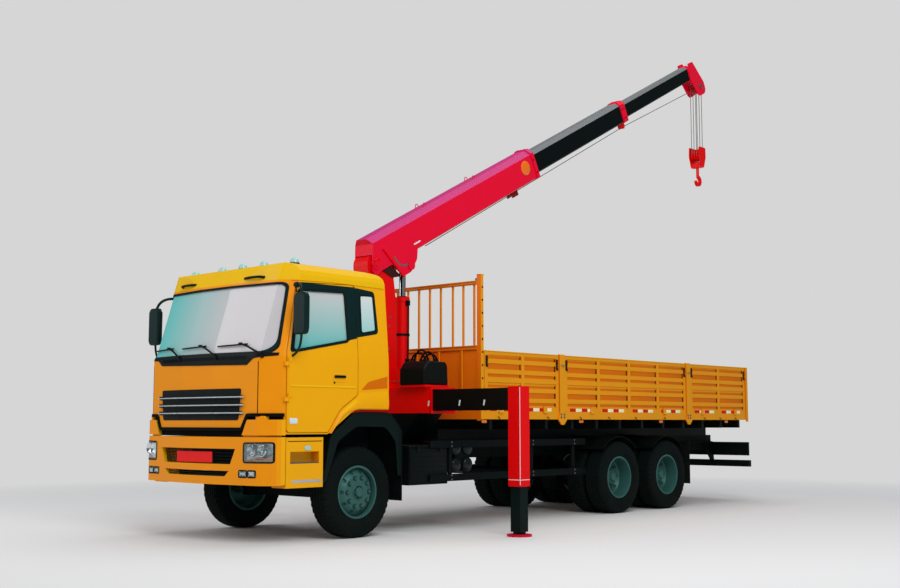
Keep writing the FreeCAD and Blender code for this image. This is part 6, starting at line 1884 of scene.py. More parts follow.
@dataclass
class BoomTrim:
    """Fittings of the boom: wear-pad screws, lifting loops, gauge, reflectors and head.

    Attributes:
        palette: Materials.
        eave: v of the base section's upper side edge; not used.
        low: v of the base section's underside.
        half: Half the width of the base section.
        sections: Body, end u, height above v 0.112, half width of each section.
    """

    palette: "Palette"
    eave: float = 0.2655
    low: float = -0.118
    half: float = 0.170
    sections: tuple = (("boom", 3.9, 0.230, 0.170), ("boom_middle", 6.76, 0.176, 0.132),
                       ("boom_end", 9.25, 0.134, 0.100))

    def collars(self) -> None:
        """Adjusting screws at the end of the base and middle sections."""
        for body, end, half_v, half_y in self.sections[:2]:
            out = 0.012
            near, top = [], []
            for u in sorted({end - 0.045, end - (0.045 if body == "boom" else 0.105)}):
                for v in (0.112 - half_v * 0.6, 0.112 + half_v * 0.25):
                    near.append(nut(0.012, 0.010, 1, half_y + out - 0.001).moved(u, 0.0, v))
                for y in (-half_y * 0.35, half_y * 0.35):
                    top.append(nut(0.011, 0.009, 2).moved(u, y, 0.112 + half_v + out - 0.002))
            piece = laid_on_boom(merged(both(merged(*near)), *top))
            place(f"{body}_screws", piece, body, self.palette.looks["dark_red"], "rod_chrome")

    def loops(self) -> None:
        """Two pairs of lifting loops on top and a round reflector on each side."""
        top = 0.342
        shapes = []
        for u in (1.34, 2.51):
            for y in (-0.075, 0.075):
                ring = tube(bow([(u - 0.032, y, top - 0.006), (u - 0.032, y, top + 0.062),
                                 (u + 0.032, y, top + 0.062), (u + 0.032, y, top - 0.006)], 14),
                            0.006, (0.0, 1.0, 0.0), 8)
                pad = block((u - 0.05, y - 0.012, top - 0.008), (u + 0.05, y + 0.012, top + 0.003),
                            0.003)
                shapes += [ring, pad]
        place("lifting_loops", laid_on_boom(merged(*shapes)), "boom",
              self.palette.looks["boom_paint"], "crane_paint")
        disc = turned([(0.0, 0.016), (0.075, 0.015), (0.100, 0.012), (0.108, 0.006),
                       (0.110, -0.002), (0.0, -0.002)], 1, 36)
        disc = both(disc.moved(3.62, self.half, 0.117))
        place("boom_reflectors", laid_on_boom(disc), "boom", self.palette.looks["lens_amber"],
              "lamp_lens")

    def root(self) -> None:
        """Proud edge plate on each cheek, the angle gauge's arc, pin keeper and its bolts."""
        looks = self.palette.looks
        y = self.half
        edge = run_of([(0.215, 0.13), (0.402, -0.35)], 0.1)
        strip = np.stack([edge[:, 0], np.full(len(edge), y + 0.006), edge[:, 1]], axis=1)
        ring = []
        for dx, dy in ((-0.012, -0.010), (0.012, -0.010), (0.012, 0.012), (-0.012, 0.012)):
            ring.append(strip + np.array([dx, dy, 0.0]))
        plate_edge = sweep(np.stack(ring, axis=1))
        line = bow([(0.369, y + 0.005, -0.041), (0.385, y + 0.005, -0.17),
                    (0.46, y + 0.005, -0.225), (0.559, y + 0.005, -0.232)], 20)
        gauge = tube(line, 0.012, (0.0, 1.0, 0.0), 8).scaled(y=1.0)
        gauge.points[:, 1] = y + (gauge.points[:, 1] - y - 0.005) * 0.25 + 0.002
        keeper = block((-0.020, y + 0.012, 0.030), (0.090, y + 0.022, 0.066), 0.004)
        bolts = nut(0.011, 0.010, 1, y + 0.021).repeated(
            np.array([[-0.004, 0.0, 0.048], [0.074, 0.0, 0.048]]))
        dome = turned([(0.0, 0.022), (0.020, 0.020), (0.034, 0.012), (0.038, 0.0),
                       (0.0, 0.0)], 1, 24).moved(0.0, y + 0.010, 0.0)
        place("cheek_edges", laid_on_boom(both(plate_edge)), "boom",
              looks["column_paint"], "crane_paint")
        place("boom_gauge", laid_on_boom(gauge), "boom", looks["steel"], "rod_chrome")
        place("foot_pin_keeper", laid_on_boom(both(merged(keeper, bolts, dome))), "boom",
              looks["column_paint"], "crane_paint")
        bar = block((0.792, y - 0.002, -0.042), (0.930, y + 0.006, -0.022), 0.003)
        place("root_bar", laid_on_boom(both(bar)), "boom", looks["lamp_white"], "crane_paint")
        notch = plate(np.array([(-0.118, 0.086), (-0.116, 0.254), (-0.334, 0.397),
                                (-0.287, 0.230)]), 1, 0.1385, 0.150)
        place("notch_shade", laid_on_boom(both(notch)), "boom", looks["notch_brown"],
              "crane_paint")
        low, middle = self.low - 0.062, 3.335
        roller = turned([(0.006, -0.05), (0.034, -0.05), (0.026, -0.035), (0.026, 0.035),
                         (0.034, 0.05), (0.006, 0.05)], 1, 20)
        rollers = merged(roller.moved(middle + 0.035, 0.0, low), roller.moved(
            middle - 0.045, 0.0, low))
        jaw = block((middle - 0.085, 0.044, low - 0.045), (middle + 0.075, 0.056, self.low),
                    0.004)
        place("rope_rollers", laid_on_boom(merged(rollers, both(jaw))), "boom",
              looks["dark_red"], "crane_paint")

    def hoses(self) -> None:
        """Pipes clamped along the base section's right side."""
        looks = self.palette.looks
        runs = []
        for v in (-0.02, 0.015, 0.05):
            run = np.array([[0.70, -self.half - 0.018, v], [1.2, -self.half - 0.018, v],
                            [3.2, -self.half - 0.018, v], [3.78, -self.half - 0.018, v]])
            runs.append(tube(run, 0.009, (0.0, 0.0, 1.0), 8))
        clamps = block((-0.02, -self.half - 0.030, -0.04), (0.02, -self.half + 0.002, 0.07),
                       0.004).repeated(np.stack([np.linspace(0.8, 3.7, 7), np.zeros(7),
                                                 np.zeros(7)], axis=1))
        place("boom_pipes", laid_on_boom(merged(*runs, clamps)), "boom", looks["plastic"],
              "dark_plastic")

    def head(self) -> None:
        """Pin caps, keepers and rope guards of the boom's head."""
        pin_u, pin_v = 9.47, -0.23
        cap = turned([(0.0, 0.012), (0.022, 0.011), (0.034, 0.004), (0.034, -0.002),
                      (0.0, -0.002)], 1, 24).moved(pin_u, 0.126, pin_v)
        keeper = block((pin_u - 0.07, 0.112, pin_v + 0.03), (pin_u + 0.07, 0.122, pin_v + 0.055),
                       0.003)
        guards = [tube(np.array([[pin_u + 0.11 * math.cos(a), -0.100, pin_v + 0.11 * math.sin(a)],
                                 [pin_u + 0.11 * math.cos(a), 0.100, pin_v + 0.11 * math.sin(a)]])
                       * np.array([1.0, 1.0, 1.0]), 0.010, (1.0, 0.0, 0.0), 8)
                  for a in (0.4, 2.2)]
        piece = laid_on_boom(merged(both(merged(cap, keeper)), *guards))
        place("head_fittings", piece, "boom_end", self.palette.looks["steel"], "rod_chrome")

    def build(self) -> None:
        """Build the boom's fittings."""
        self.collars()
        self.loops()
        self.root()
        self.hoses()
        self.head()


@dataclass
class Rigging:
    """Hoist rope: six falls between the sheaves, and the lead line under the boom.

    Attributes:
        palette: Materials.
        head: (x, z) of the head's pin.
        block_z: Height of the block's pin.
        sheaves: Y of each sheave.
        reach: Distance of a fall from its sheave's axle.
        lay: Turns of the strands in a metre.
    """

    palette: "Palette"
    head: tuple[float, float] = (-9.6916, 7.5982)
    block_z: float = 6.2982
    sheaves: tuple[float, ...] = (-0.052, 0.0, 0.052)
    reach: float = 0.1063
    lay: float = 14.0

    def _rope(self, start: Array, end: Array, radius: float, rings: int) -> Surface:
        """Stranded rope between two points.

        At angle t and distance s along it the radius is R (0.86 + 0.14 |cos(3 t + TAU lay s)|),
        which gives six strands.

        Args:
            start: First point.
            end: Last point.
            radius: Outer radius.
            rings: Rings along it.

        Returns:
            A closed surface.
        """
        along = end - start
        length = float(np.linalg.norm(along))
        along = along / length
        across = np.cross(along, [0.0, 1.0, 0.0])
        across /= np.linalg.norm(across)
        other = np.cross(along, across)
        s = np.linspace(0.0, length, rings)[:, None]
        t = np.linspace(0.0, TAU, 18, endpoint=False)[None]
        r = radius * (0.86 + 0.14 * np.abs(np.cos(3 * t + TAU * self.lay * s)))
        points = (start + along * s[..., None] + r[..., None] * (
            np.cos(t)[..., None] * across + np.sin(t)[..., None] * other))
        return sweep(points)

    def build(self) -> None:
        """Falls that follow head and block, and two lead lines that follow the sections."""
        look, x, z = self.palette.looks["wire_rope"], *self.head
        falls = [self._rope(np.array([x + side * self.reach, y, self.block_z]),
                            np.array([x + side * self.reach, y, z]), 0.0058, 120)
                 for y in self.sheaves for side in (-1, 1)]
        piece = place("hoist_rope", merged(*falls), "", look, "rope")
        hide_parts("hoist_falls")
        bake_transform(piece)
        spans = (("lead_line_base", "boom", "boom_middle", (1.14, -0.175), (6.70, -0.150)),
                 ("lead_line_tip", "boom_middle", "boom_end", (6.70, -0.150), (9.36, -0.235)))
        for name, first, second, (u0, v0), (u1, v1) in spans:
            start = on_boom(np.array([u0, 0.026, v0]))
            end = on_boom(np.array([u1, 0.026, v1]))
            line = place(name, self._rope(start, end, 0.0058, 360), "", look, "rope")
            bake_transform(line)
        bracket = merged(
            block((6.66, -0.05, -0.16), (6.74, 0.05, -0.062), 0.004),
            turned([(0.006, -0.045), (0.020, -0.045), (0.016, -0.030), (0.016, 0.030),
                    (0.020, 0.045), (0.006, 0.045)], 1, 20).moved(6.70, 0.0, -0.165))
        place("rope_guide", laid_on_boom(bracket), "boom_middle",
              self.palette.looks["column_paint"], "crane_paint")


@dataclass
class BaseTrim:
    """Fittings of the crane's base, column, outriggers and luffing cylinder.

    Attributes:
        palette: Materials.
        housings: X of each housing's middle.
        leg_y: Y of a leg.
        top: Top of the housings; not used.
    """

    palette: "Palette"
    housings: tuple[float, float] = (-1.434, -1.664)
    leg_y: float = 2.385
    top: float = 1.769

    def levers(self) -> None:
        """Row of levers with round knobs, their plate, and pressure hoses over the cover."""
        looks = self.palette.looks
        rows, knobs = [], []
        for k in range(6):
            x = -1.60 + 0.055 * k
            path = np.array([[x, 0.955, 1.80], [x, 0.985, 1.83], [x, 0.990, 1.90]])
            rows.append(tube(path, 0.006, (1.0, 0.0, 0.0), 6))
            knobs.append(turned([(0.0, 0.018), (0.010, 0.015), (0.016, 0.004), (0.016, -0.006),
                                 (0.008, -0.016), (0.0, -0.017)], 2, 14).moved(x, 0.990, 1.912))
        bank = block((-1.66, 0.930, 1.772), (-1.27, 0.972, 1.83), 0.008)
        place("valve_levers", both(merged(*rows, bank)), "chassis", looks["plastic"],
              "rod_chrome")
        cover = rounded_outline([(-1.250, 1.800, 0.02), (-1.250, 2.010, 0.09),
                                 (-1.330, 2.112, 0.09), (-1.690, 2.100, 0.06),
                                 (-1.705, 1.800, 0.02)], 6)
        shell = plate(cover[:, ::-1], 1, 0.560, 1.010, 0.022)
        lid = place("controls_cover", both(shell), "chassis", looks["plastic"], "dark_plastic")
        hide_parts("crane_controls")
        tray = block((-1.700, 0.53, 1.769), (-1.255, 1.02, 1.802), 0.008)
        place("controls_tray", both(tray), "chassis", looks["column_paint"], "crane_paint")
        place("lever_knobs", both(merged(*knobs)), "chassis", looks["plastic"], "dark_plastic")
        hoses = []
        for k in range(4):
            x, y, rise = -1.62 + 0.085 * k, 0.64 + 0.03 * (k % 2), 2.24 + 0.03 * (k % 3)
            hoses.append(tube(bow([(x, y, 2.09), (x, y, rise), (x + 0.02, y + 0.26, rise + 0.02),
                                   (x + 0.02, y + 0.26, 2.09)], 20), 0.013, (1.0, 0.0, 0.0), 8))
            sleeve = turned([(0.013, -0.02), (0.018, -0.02), (0.018, 0.03), (0.013, 0.03)], 2, 12)
            hoses += [sleeve.moved(x, y, 2.115), sleeve.moved(x + 0.02, y + 0.26, 2.115)]
        place("base_hoses", both(merged(*hoses)), "chassis", looks["rubber_hose"],
              "dark_plastic")

    def base(self) -> None:
        """Slewing ring bolts and end frames of the housings."""
        looks = self.palette.looks
        bolts = nut(0.012, 0.014, 2, 1.800).repeated(ring_of(0.268, 24, 2)[:, [0, 1, 2]])
        bolts = bolts.moved(-1.45, 0.0, 0.032)
        place("slew_bolts", bolts.moved(z=0.030), "crane", looks["steel"], "rod_chrome")
        frames = []
        for x in self.housings:
            hole = rounded(0.172, 0.276, 0.006, 3)[::-1]
            rim = rounded(0.228, 0.336, 0.012, 3)[::-1]
            rings = []
            for shape, y in ((hole, 1.050), (hole, 1.061), (rim, 1.061), (rim, 1.036)):
                rings.append(np.stack([shape[:, 0] + x, np.full(len(shape), y),
                                       shape[:, 1] + 1.609], axis=1))
            frames.append(sweep(np.stack(rings, axis=1), closed=True))
        place("housing_rims", both(merged(*frames)), "chassis", looks["column_paint"],
              "crane_paint")

    def beams(self) -> None:
        """Three white ticks at each beam, a cap on each leg's head, a painted highlight down each leg's
        corner and a thin pale ring round each leg.
        """
        looks = self.palette.looks
        for side, x in zip(Side, self.housings):
            mark = plate(np.array([(-0.006, -0.034), (0.016, -0.034), (0.030, 0.034),
                                   (0.006, 0.034)]), 0, -0.0812, 0.0812)
            ticks = mark.repeated(np.array([[x, y, 1.570] for y in (1.50, 1.90)]))
            first = plate(np.array([(-0.006, -0.034), (0.016, -0.034), (0.030, 0.034),
                                    (0.006, 0.034)]), 0, 0.1055, 0.1075).moved(x, 1.0, 1.570)
            place(f"housing_tick_{side.word}", sided(first, side), "chassis",
                  looks["lamp_white"], "arm_paint")
            place(f"beam_ticks_{side.word}", sided(ticks, side), f"outrigger_{side.word}",
                  looks["lamp_white"], "arm_paint")
            # Pale line down the leg's corner that faces the camera: a painted highlight.
            corner = block((-0.003, -0.003, 0.60), (0.003, 0.003, 1.744), 0.001)
            lines = [corner.moved(x + 0.0895, self.leg_y + 0.0895)]
            lines.append(plate(rounded(0.182, 0.182, 0.003, 3), 2, 0.655, 0.662).moved(
                x, self.leg_y))
            lug = block((x - 0.094, 2.291, 1.744), (x + 0.094, 2.479, 1.758), 0.006)
            place(f"leg_lines_{side.word}", sided(merged(*lines), side),
                  f"outrigger_{side.word}", looks["lamp_white"], "arm_paint")
            place(f"leg_head_{side.word}", sided(lug, side), f"outrigger_{side.word}",
                  looks["arm_paint"], "arm_paint")

    def cylinder(self) -> None:
        """Wiper ring, port blocks and the hose that climbs beside the chrome rod."""
        looks = self.palette.looks
        low, high = np.array([-1.865, 1.945]), np.array([-1.8696, 3.4500])
        lean = math.degrees(math.atan2(high[0] - low[0], high[1] - low[1]))
        gland = turned([(0.046, 1.072), (0.060, 1.072), (0.072, 1.086), (0.060, 1.092),
                        (0.046, 1.092)], 2, 28)
        ports = merged(block((-0.03, 0.085, 0.16), (0.03, 0.125, 0.24), 0.006),
                       block((-0.03, 0.085, 0.96), (0.03, 0.125, 1.03), 0.006))
        pipe = tube(np.array([[0.0, 0.112, 0.24], [0.0, 0.116, 0.40], [0.0, 0.116, 0.96]]), 0.010,
                    (1.0, 0.0, 0.0), 8)
        ring = turned([(0.094, 0.55), (0.104, 0.55), (0.104, 0.58), (0.094, 0.58)], 2, 32)
        shape = merged(gland, ports, pipe, ring).rotated(1, lean).moved(low[0], 0.0, low[1])
        place("barrel_fittings", shape, "luff_barrel", looks["plastic"], "dark_plastic")
        along = np.array([math.sin(math.radians(lean)), 0.0, math.cos(math.radians(lean))])
        foot = np.array([low[0], 0.0, low[1]]) + np.array([0.072, 0.050, 0.0])
        ends = (foot + along * 1.075, foot + along * 1.48)
        hose = place("rod_hose", tube(np.linspace(*ends, 40), 0.011, (0.0, 1.0, 0.0), 8), "",
                     looks["rubber_hose"], "dark_plastic")
        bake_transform(hose)

    def column(self) -> None:
        """Bolts and an inspection cover on the column."""
        looks = self.palette.looks
        cover = plate(rounded(0.34, 0.20, 0.03), 1, 0.134, 0.140, 0.003).moved(-1.40, 0.0, 2.45)
        bolts = nut(0.011, 0.010, 1, 0.139).repeated(
            np.array([[-1.40 + dx, 0.0, 2.45 + dz] for dx in (-0.08, 0.08)
                      for dz in (-0.15, 0.15)]))
        more = nut(0.014, 0.012, 1, 0.134).repeated(
            np.array([[-1.26, 0.0, 3.02], [-1.26, 0.0, 2.86], [-1.50, 0.0, 2.72]]))
        place("column_cover", both(cover), "crane", looks["column_paint"], "crane_paint")
        place("column_bolts", both(merged(bolts, more)), "crane", looks["steel"],
              "rod_chrome")

    def build(self) -> None:
        """Build all fittings."""
        self.levers()
        self.base()
        self.beams()
        self.cylinder()
        self.column()


# Load bed and chassis


class Bay(Enum):
    """Bays of the drop sides: name, X at the front, X at the rear, ribs."""

    FRONT = (-2.128, -3.712, 3)
    MIDDLE = (-3.848, -7.052, 5)
    REAR = (-7.188, -8.972, 3)

    @property
    def word(self) -> str:
        """Lower-case name used in node and body names."""
        return self.name.lower()


@dataclass
class BedTrim:
    """Fittings of the load bed: pressed ridges, latches, strips, lamps, bolts and bars.

    Attributes:
        palette: Materials.
        face: Y of the panels' outer face.
        foot: Foot of the panels.
        high: Height of the panels.
        rib: Width of a rib.
        rim: Height of a rim; not used.
        middle: Share of the height where the middle bar starts; not used.
        ridges: Shares of the height where the pressed ridges start.
        rail: Top of the bed's rail; not used.
    """

    palette: "Palette"
    face: float = 1.25
    foot: float = 1.4723
    high: float = 0.7957
    rib: float = 0.064
    rim: float = 0.055
    middle: float = 0.48
    ridges: tuple[float, ...] = (0.15, 0.32, 0.62, 0.79)
    rail: float = 1.372

    def _rib_places(self, bay: Bay) -> Array:
        """X of each rib's front edge, from the rear."""
        front, rear, count = bay.value
        return rear + (front - rear - self.rib) * np.arange(count) / (count - 1)

    def _ridge(self, length: float, z: float) -> Surface:
        """Round-backed ridge with closed ends, standing 3 to 14 mm behind the panel's face.

        Across its height h in 0..1 it stands out by d sin(pi h), and its ends sink by
        (1 - (2 s - 1)^16) along its length s.
        """
        s = np.sin(np.linspace(-math.pi / 2, math.pi / 2, 17)) * 0.5 + 0.5
        h = np.linspace(0.0, 1.0, 8)
        s, h = np.meshgrid(s, h, indexing="ij")
        out = 0.009 * np.sin(math.pi * h) * np.sqrt(np.maximum(1 - (2 * s - 1) ** 16, 0.0))
        points = np.stack([s * length, self.face - 0.0122 + out, z + 0.062 * h], axis=-1)
        back = points.copy()
        back[..., 1] = self.face - 0.016
        return sweep(np.concatenate([points, back[:, ::-1]], axis=1))

    def panel(self, bay: Bay) -> dict[str, Surface]:
        """All fittings of one drop side, by finish."""
        ribs = self._rib_places(bay)
        front, rear, _ = bay.value
        shapes: dict[str, list[Surface]] = {"bed_paint": [], "latch_dark": [], "strip_red": [],
                                            "strip_white": [], "bed_painted_shade": [],
                                            "gap_and_shade_black": []}
        for start, end in zip(ribs[:-1], ribs[1:]):
            low, span = start + self.rib + 0.012, end - start - self.rib - 0.024
            for share in self.ridges:
                level = self.foot + self.high * share
                shapes["bed_paint"].append(self._ridge(span, level - 0.001).moved(low))
                # Darker orange bands above and below each ridge: painted shade in the recess.
                for foot, high in ((level - 0.040, 0.038), (level + 0.062, 0.034)):
                    shapes["bed_painted_shade"].append(block((low, self.face - 0.0125, foot), (
                        low + span, self.face - 0.0108, foot + high), 0.0005))
                # Dark strip at the rear end of each window: painted shadow of its end wall.
                shapes["gap_and_shade_black"].append(block(
                    (low, self.face - 0.0120, level - 0.042),
                    (low + 0.014, self.face - 0.0040, level + 0.100), 0.001))
            for k in range(4):
                near = low + span * (0.14 + 0.20 * k)
                shapes[("strip_white", "strip_red")[k % 2]].append(block(
                    (near, self.face - 0.0015, self.foot + 0.006),
                    (near + span * 0.20, self.face + 0.0015, self.foot + 0.052), 0.001))
        hem = plate(rounded(0.012, front - rear - 0.02, 0.004, 3), 1, self.face - 0.002, self.face + 0.006,
            0.002)
        shapes["bed_paint"].append(hem.moved((front + rear) / 2, 0.0,
                                             self.foot + self.high - 0.008))
        inner = [r + self.rib / 2 for r in ribs]
        for x in (inner[0] + 0.01, inner[-1] - 0.01):
            shapes["latch_dark"].append(self._latch().moved(x, self.face, self.foot + 0.655))
        return {k: merged(*v) for k, v in shapes.items() if v}

    def _latch(self) -> Surface:
        """Latch: plate, bent lever and its pivot, about the plate's middle on the face."""
        base = plate(rounded(0.15, 0.046, 0.010, 4), 1, -0.001, 0.006, 0.002)
        lever = block((-0.007, 0.006, -0.065), (0.007, 0.016, 0.045), 0.004)
        grip = block((-0.010, 0.014, -0.080), (0.010, 0.024, -0.045), 0.005)
        pivot = turned([(0.0, 0.024), (0.009, 0.022), (0.011, 0.006), (0.0, 0.006)], 1, 14)
        hook = block((-0.018, 0.006, 0.045), (0.018, 0.016, 0.062), 0.004)
        return merged(base, lever, grip, pivot.moved(z=0.02), hook)

    def sides(self) -> None:
        """Fit every drop side and the tailgate."""
        slots = {"bed_paint": "bed_paint", "latch_dark": "dark_plastic",
                 "bed_painted_shade": "bed_paint", "gap_and_shade_black": "dark_plastic", "strip_red": "lamp_lens",
                 "strip_white": "lamp_lens"}
        for bay in Bay:
            for finish, shape in self.panel(bay).items():
                for side in Side:
                    place(f"{finish}_{bay.word}_{side.word}", sided(shape, side),
                          f"side_{bay.word}_{side.word}", self.palette.looks[finish],
                          slots[finish])
        width = 2 * (self.face - 0.06)
        ribs = -width / 2 + (width - self.rib) * np.arange(4) / 3
        ridges, studs = [], []
        for start, end in zip(ribs[:-1], ribs[1:]):
            for share in self.ridges:
                ridge = self._ridge(end - start - self.rib - 0.024,
                                    self.foot + self.high * share - 0.001)
                ridge = ridge.moved(y=-self.face).rotated(2, 90.0)
                ridges.append(ridge.moved(-9.04, start + self.rib + 0.012, 0.0))
        for y in (-1.0, 1.0):
            latch = self._latch().rotated(2, 90.0)
            studs.append(latch.moved(-9.04, y, self.foot + 0.56))
        place("tailgate_ridges", merged(*ridges), "tailgate", self.palette.looks["bed_paint"],
              "bed_paint")
        place("tailgate_latches", merged(*studs), "tailgate", self.palette.looks["latch_dark"],
              "dark_plastic")

    def rail_fittings(self) -> None:
        """Rope hooks and amber marker lamps under the rail, and the posts' bolts, pulls and caps."""
        looks = self.palette.looks
        hooks, lamps, cases = [], [], []
        for x in (-2.40, -2.92, -3.45, -4.2, -4.9, -5.6, -6.4, -7.6, -8.1, -8.6):
            path = bow([(x, 1.248, 1.405), (x, 1.285, 1.400), (x, 1.290, 1.365),
                        (x, 1.262, 1.358)], 8)
            hooks.append(tube(path, 0.006, (1.0, 0.0, 0.0), 6))
        for x in (-2.11, -4.22, -6.30, -8.30):
            lens = plate(rounded(0.036, 0.096, 0.012, 4), 1, 1.252, 1.264, 0.004)
            case = plate(rounded(0.050, 0.114, 0.014, 4), 1, 1.244, 1.256, 0.003)
            lamps.append(lens.moved(x, 0.0, 1.342))
            cases.append(case.moved(x, 0.0, 1.342))
            cases.append(block((x - 0.02, 1.238, 1.340), (x + 0.02, 1.248, 1.380), 0.003))
        place("rope_hooks", both(merged(*hooks)), "chassis", looks["latch_dark"], "bed_paint")
        place("side_marker_lenses", both(merged(*lamps)), "chassis", looks["lens_amber"],
              "lamp_lens")
        place("side_marker_cases", both(merged(*cases)), "chassis", looks["plastic"],
              "dark_plastic")
        for x in (-3.78, -7.12):
            bolts = nut(0.012, 0.012, 1, 1.265).repeated(np.array(
                [[x + dx, 0.0, z] for dx in (-0.035, 0.035) for z in (1.40, 1.44)]))
            top = block((x - 0.056, 1.222, 2.262), (x + 0.056, 1.262, 2.278), 0.005)
            pull = tube(bow([(x - 0.03, 1.266, 2.12), (x - 0.03, 1.300, 2.12),
                             (x + 0.03, 1.300, 2.12), (x + 0.03, 1.266, 2.12)], 10), 0.007,
                        (0.0, 0.0, 1.0), 6)
            name = "front" if x > -5 else "rear"
            place(f"post_bolts_{name}", both(merged(bolts, pull)), "chassis", looks["steel"],
                  "rod_chrome")
            place(f"post_caps_{name}", both(top), "chassis", looks["bed_paint"], "bed_paint")

    def headboard_fittings(self) -> None:
        """Bolts down the headboard's posts, upright ribs, post caps, a knob and bronze beads across it."""
        looks = self.palette.looks
        bolts = nut(0.011, 0.010, 1, 1.249).repeated(np.array(
            [[-2.09, 0.0, z] for z in np.arange(1.56, 3.1, 0.17)]))
        place("headboard_bolts", both(bolts), "chassis", looks["latch_dark"], "rod_chrome")
        ribs = block((-2.061, -0.016, 1.50), (-2.044, 0.016, 2.268), 0.005).repeated(
            np.array([[0.0, y, 0.0] for y in (-1.11, -0.73, -0.31, 0.105, 0.513, 0.919)]))
        place("headboard_ribs", ribs, "chassis", looks["bed_paint"], "bed_paint")
        cap = block((-2.124, 1.176, 3.249), (-2.056, 1.254, 3.262), 0.006)
        place("headboard_caps", both(cap), "chassis", looks["bed_paint"], "bed_paint")
        knob = turned([(0.0, 0.050), (0.016, 0.046), (0.022, 0.030), (0.018, 0.014),
                       (0.010, 0.0), (0.0, 0.0)], 2, 16).moved(-2.15, 1.10, 3.178)
        place("headboard_knob", knob, "chassis", looks["knob_teal"], "dark_plastic")
        beads = [tube(np.array([[-2.058, -1.17, z], [-2.058, 1.17, z]]), 0.009,
                      (1.0, 0.0, 0.0), 8) for z in (2.28, 2.32, 3.14, 3.17)]
        place("headboard_beads", merged(*beads), "chassis", looks["bar_bronze"], "bed_paint")

    def build(self) -> None:
        """Build all bed fittings."""
        self.sides()
        self.rail_fittings()
        self.headboard_fittings()


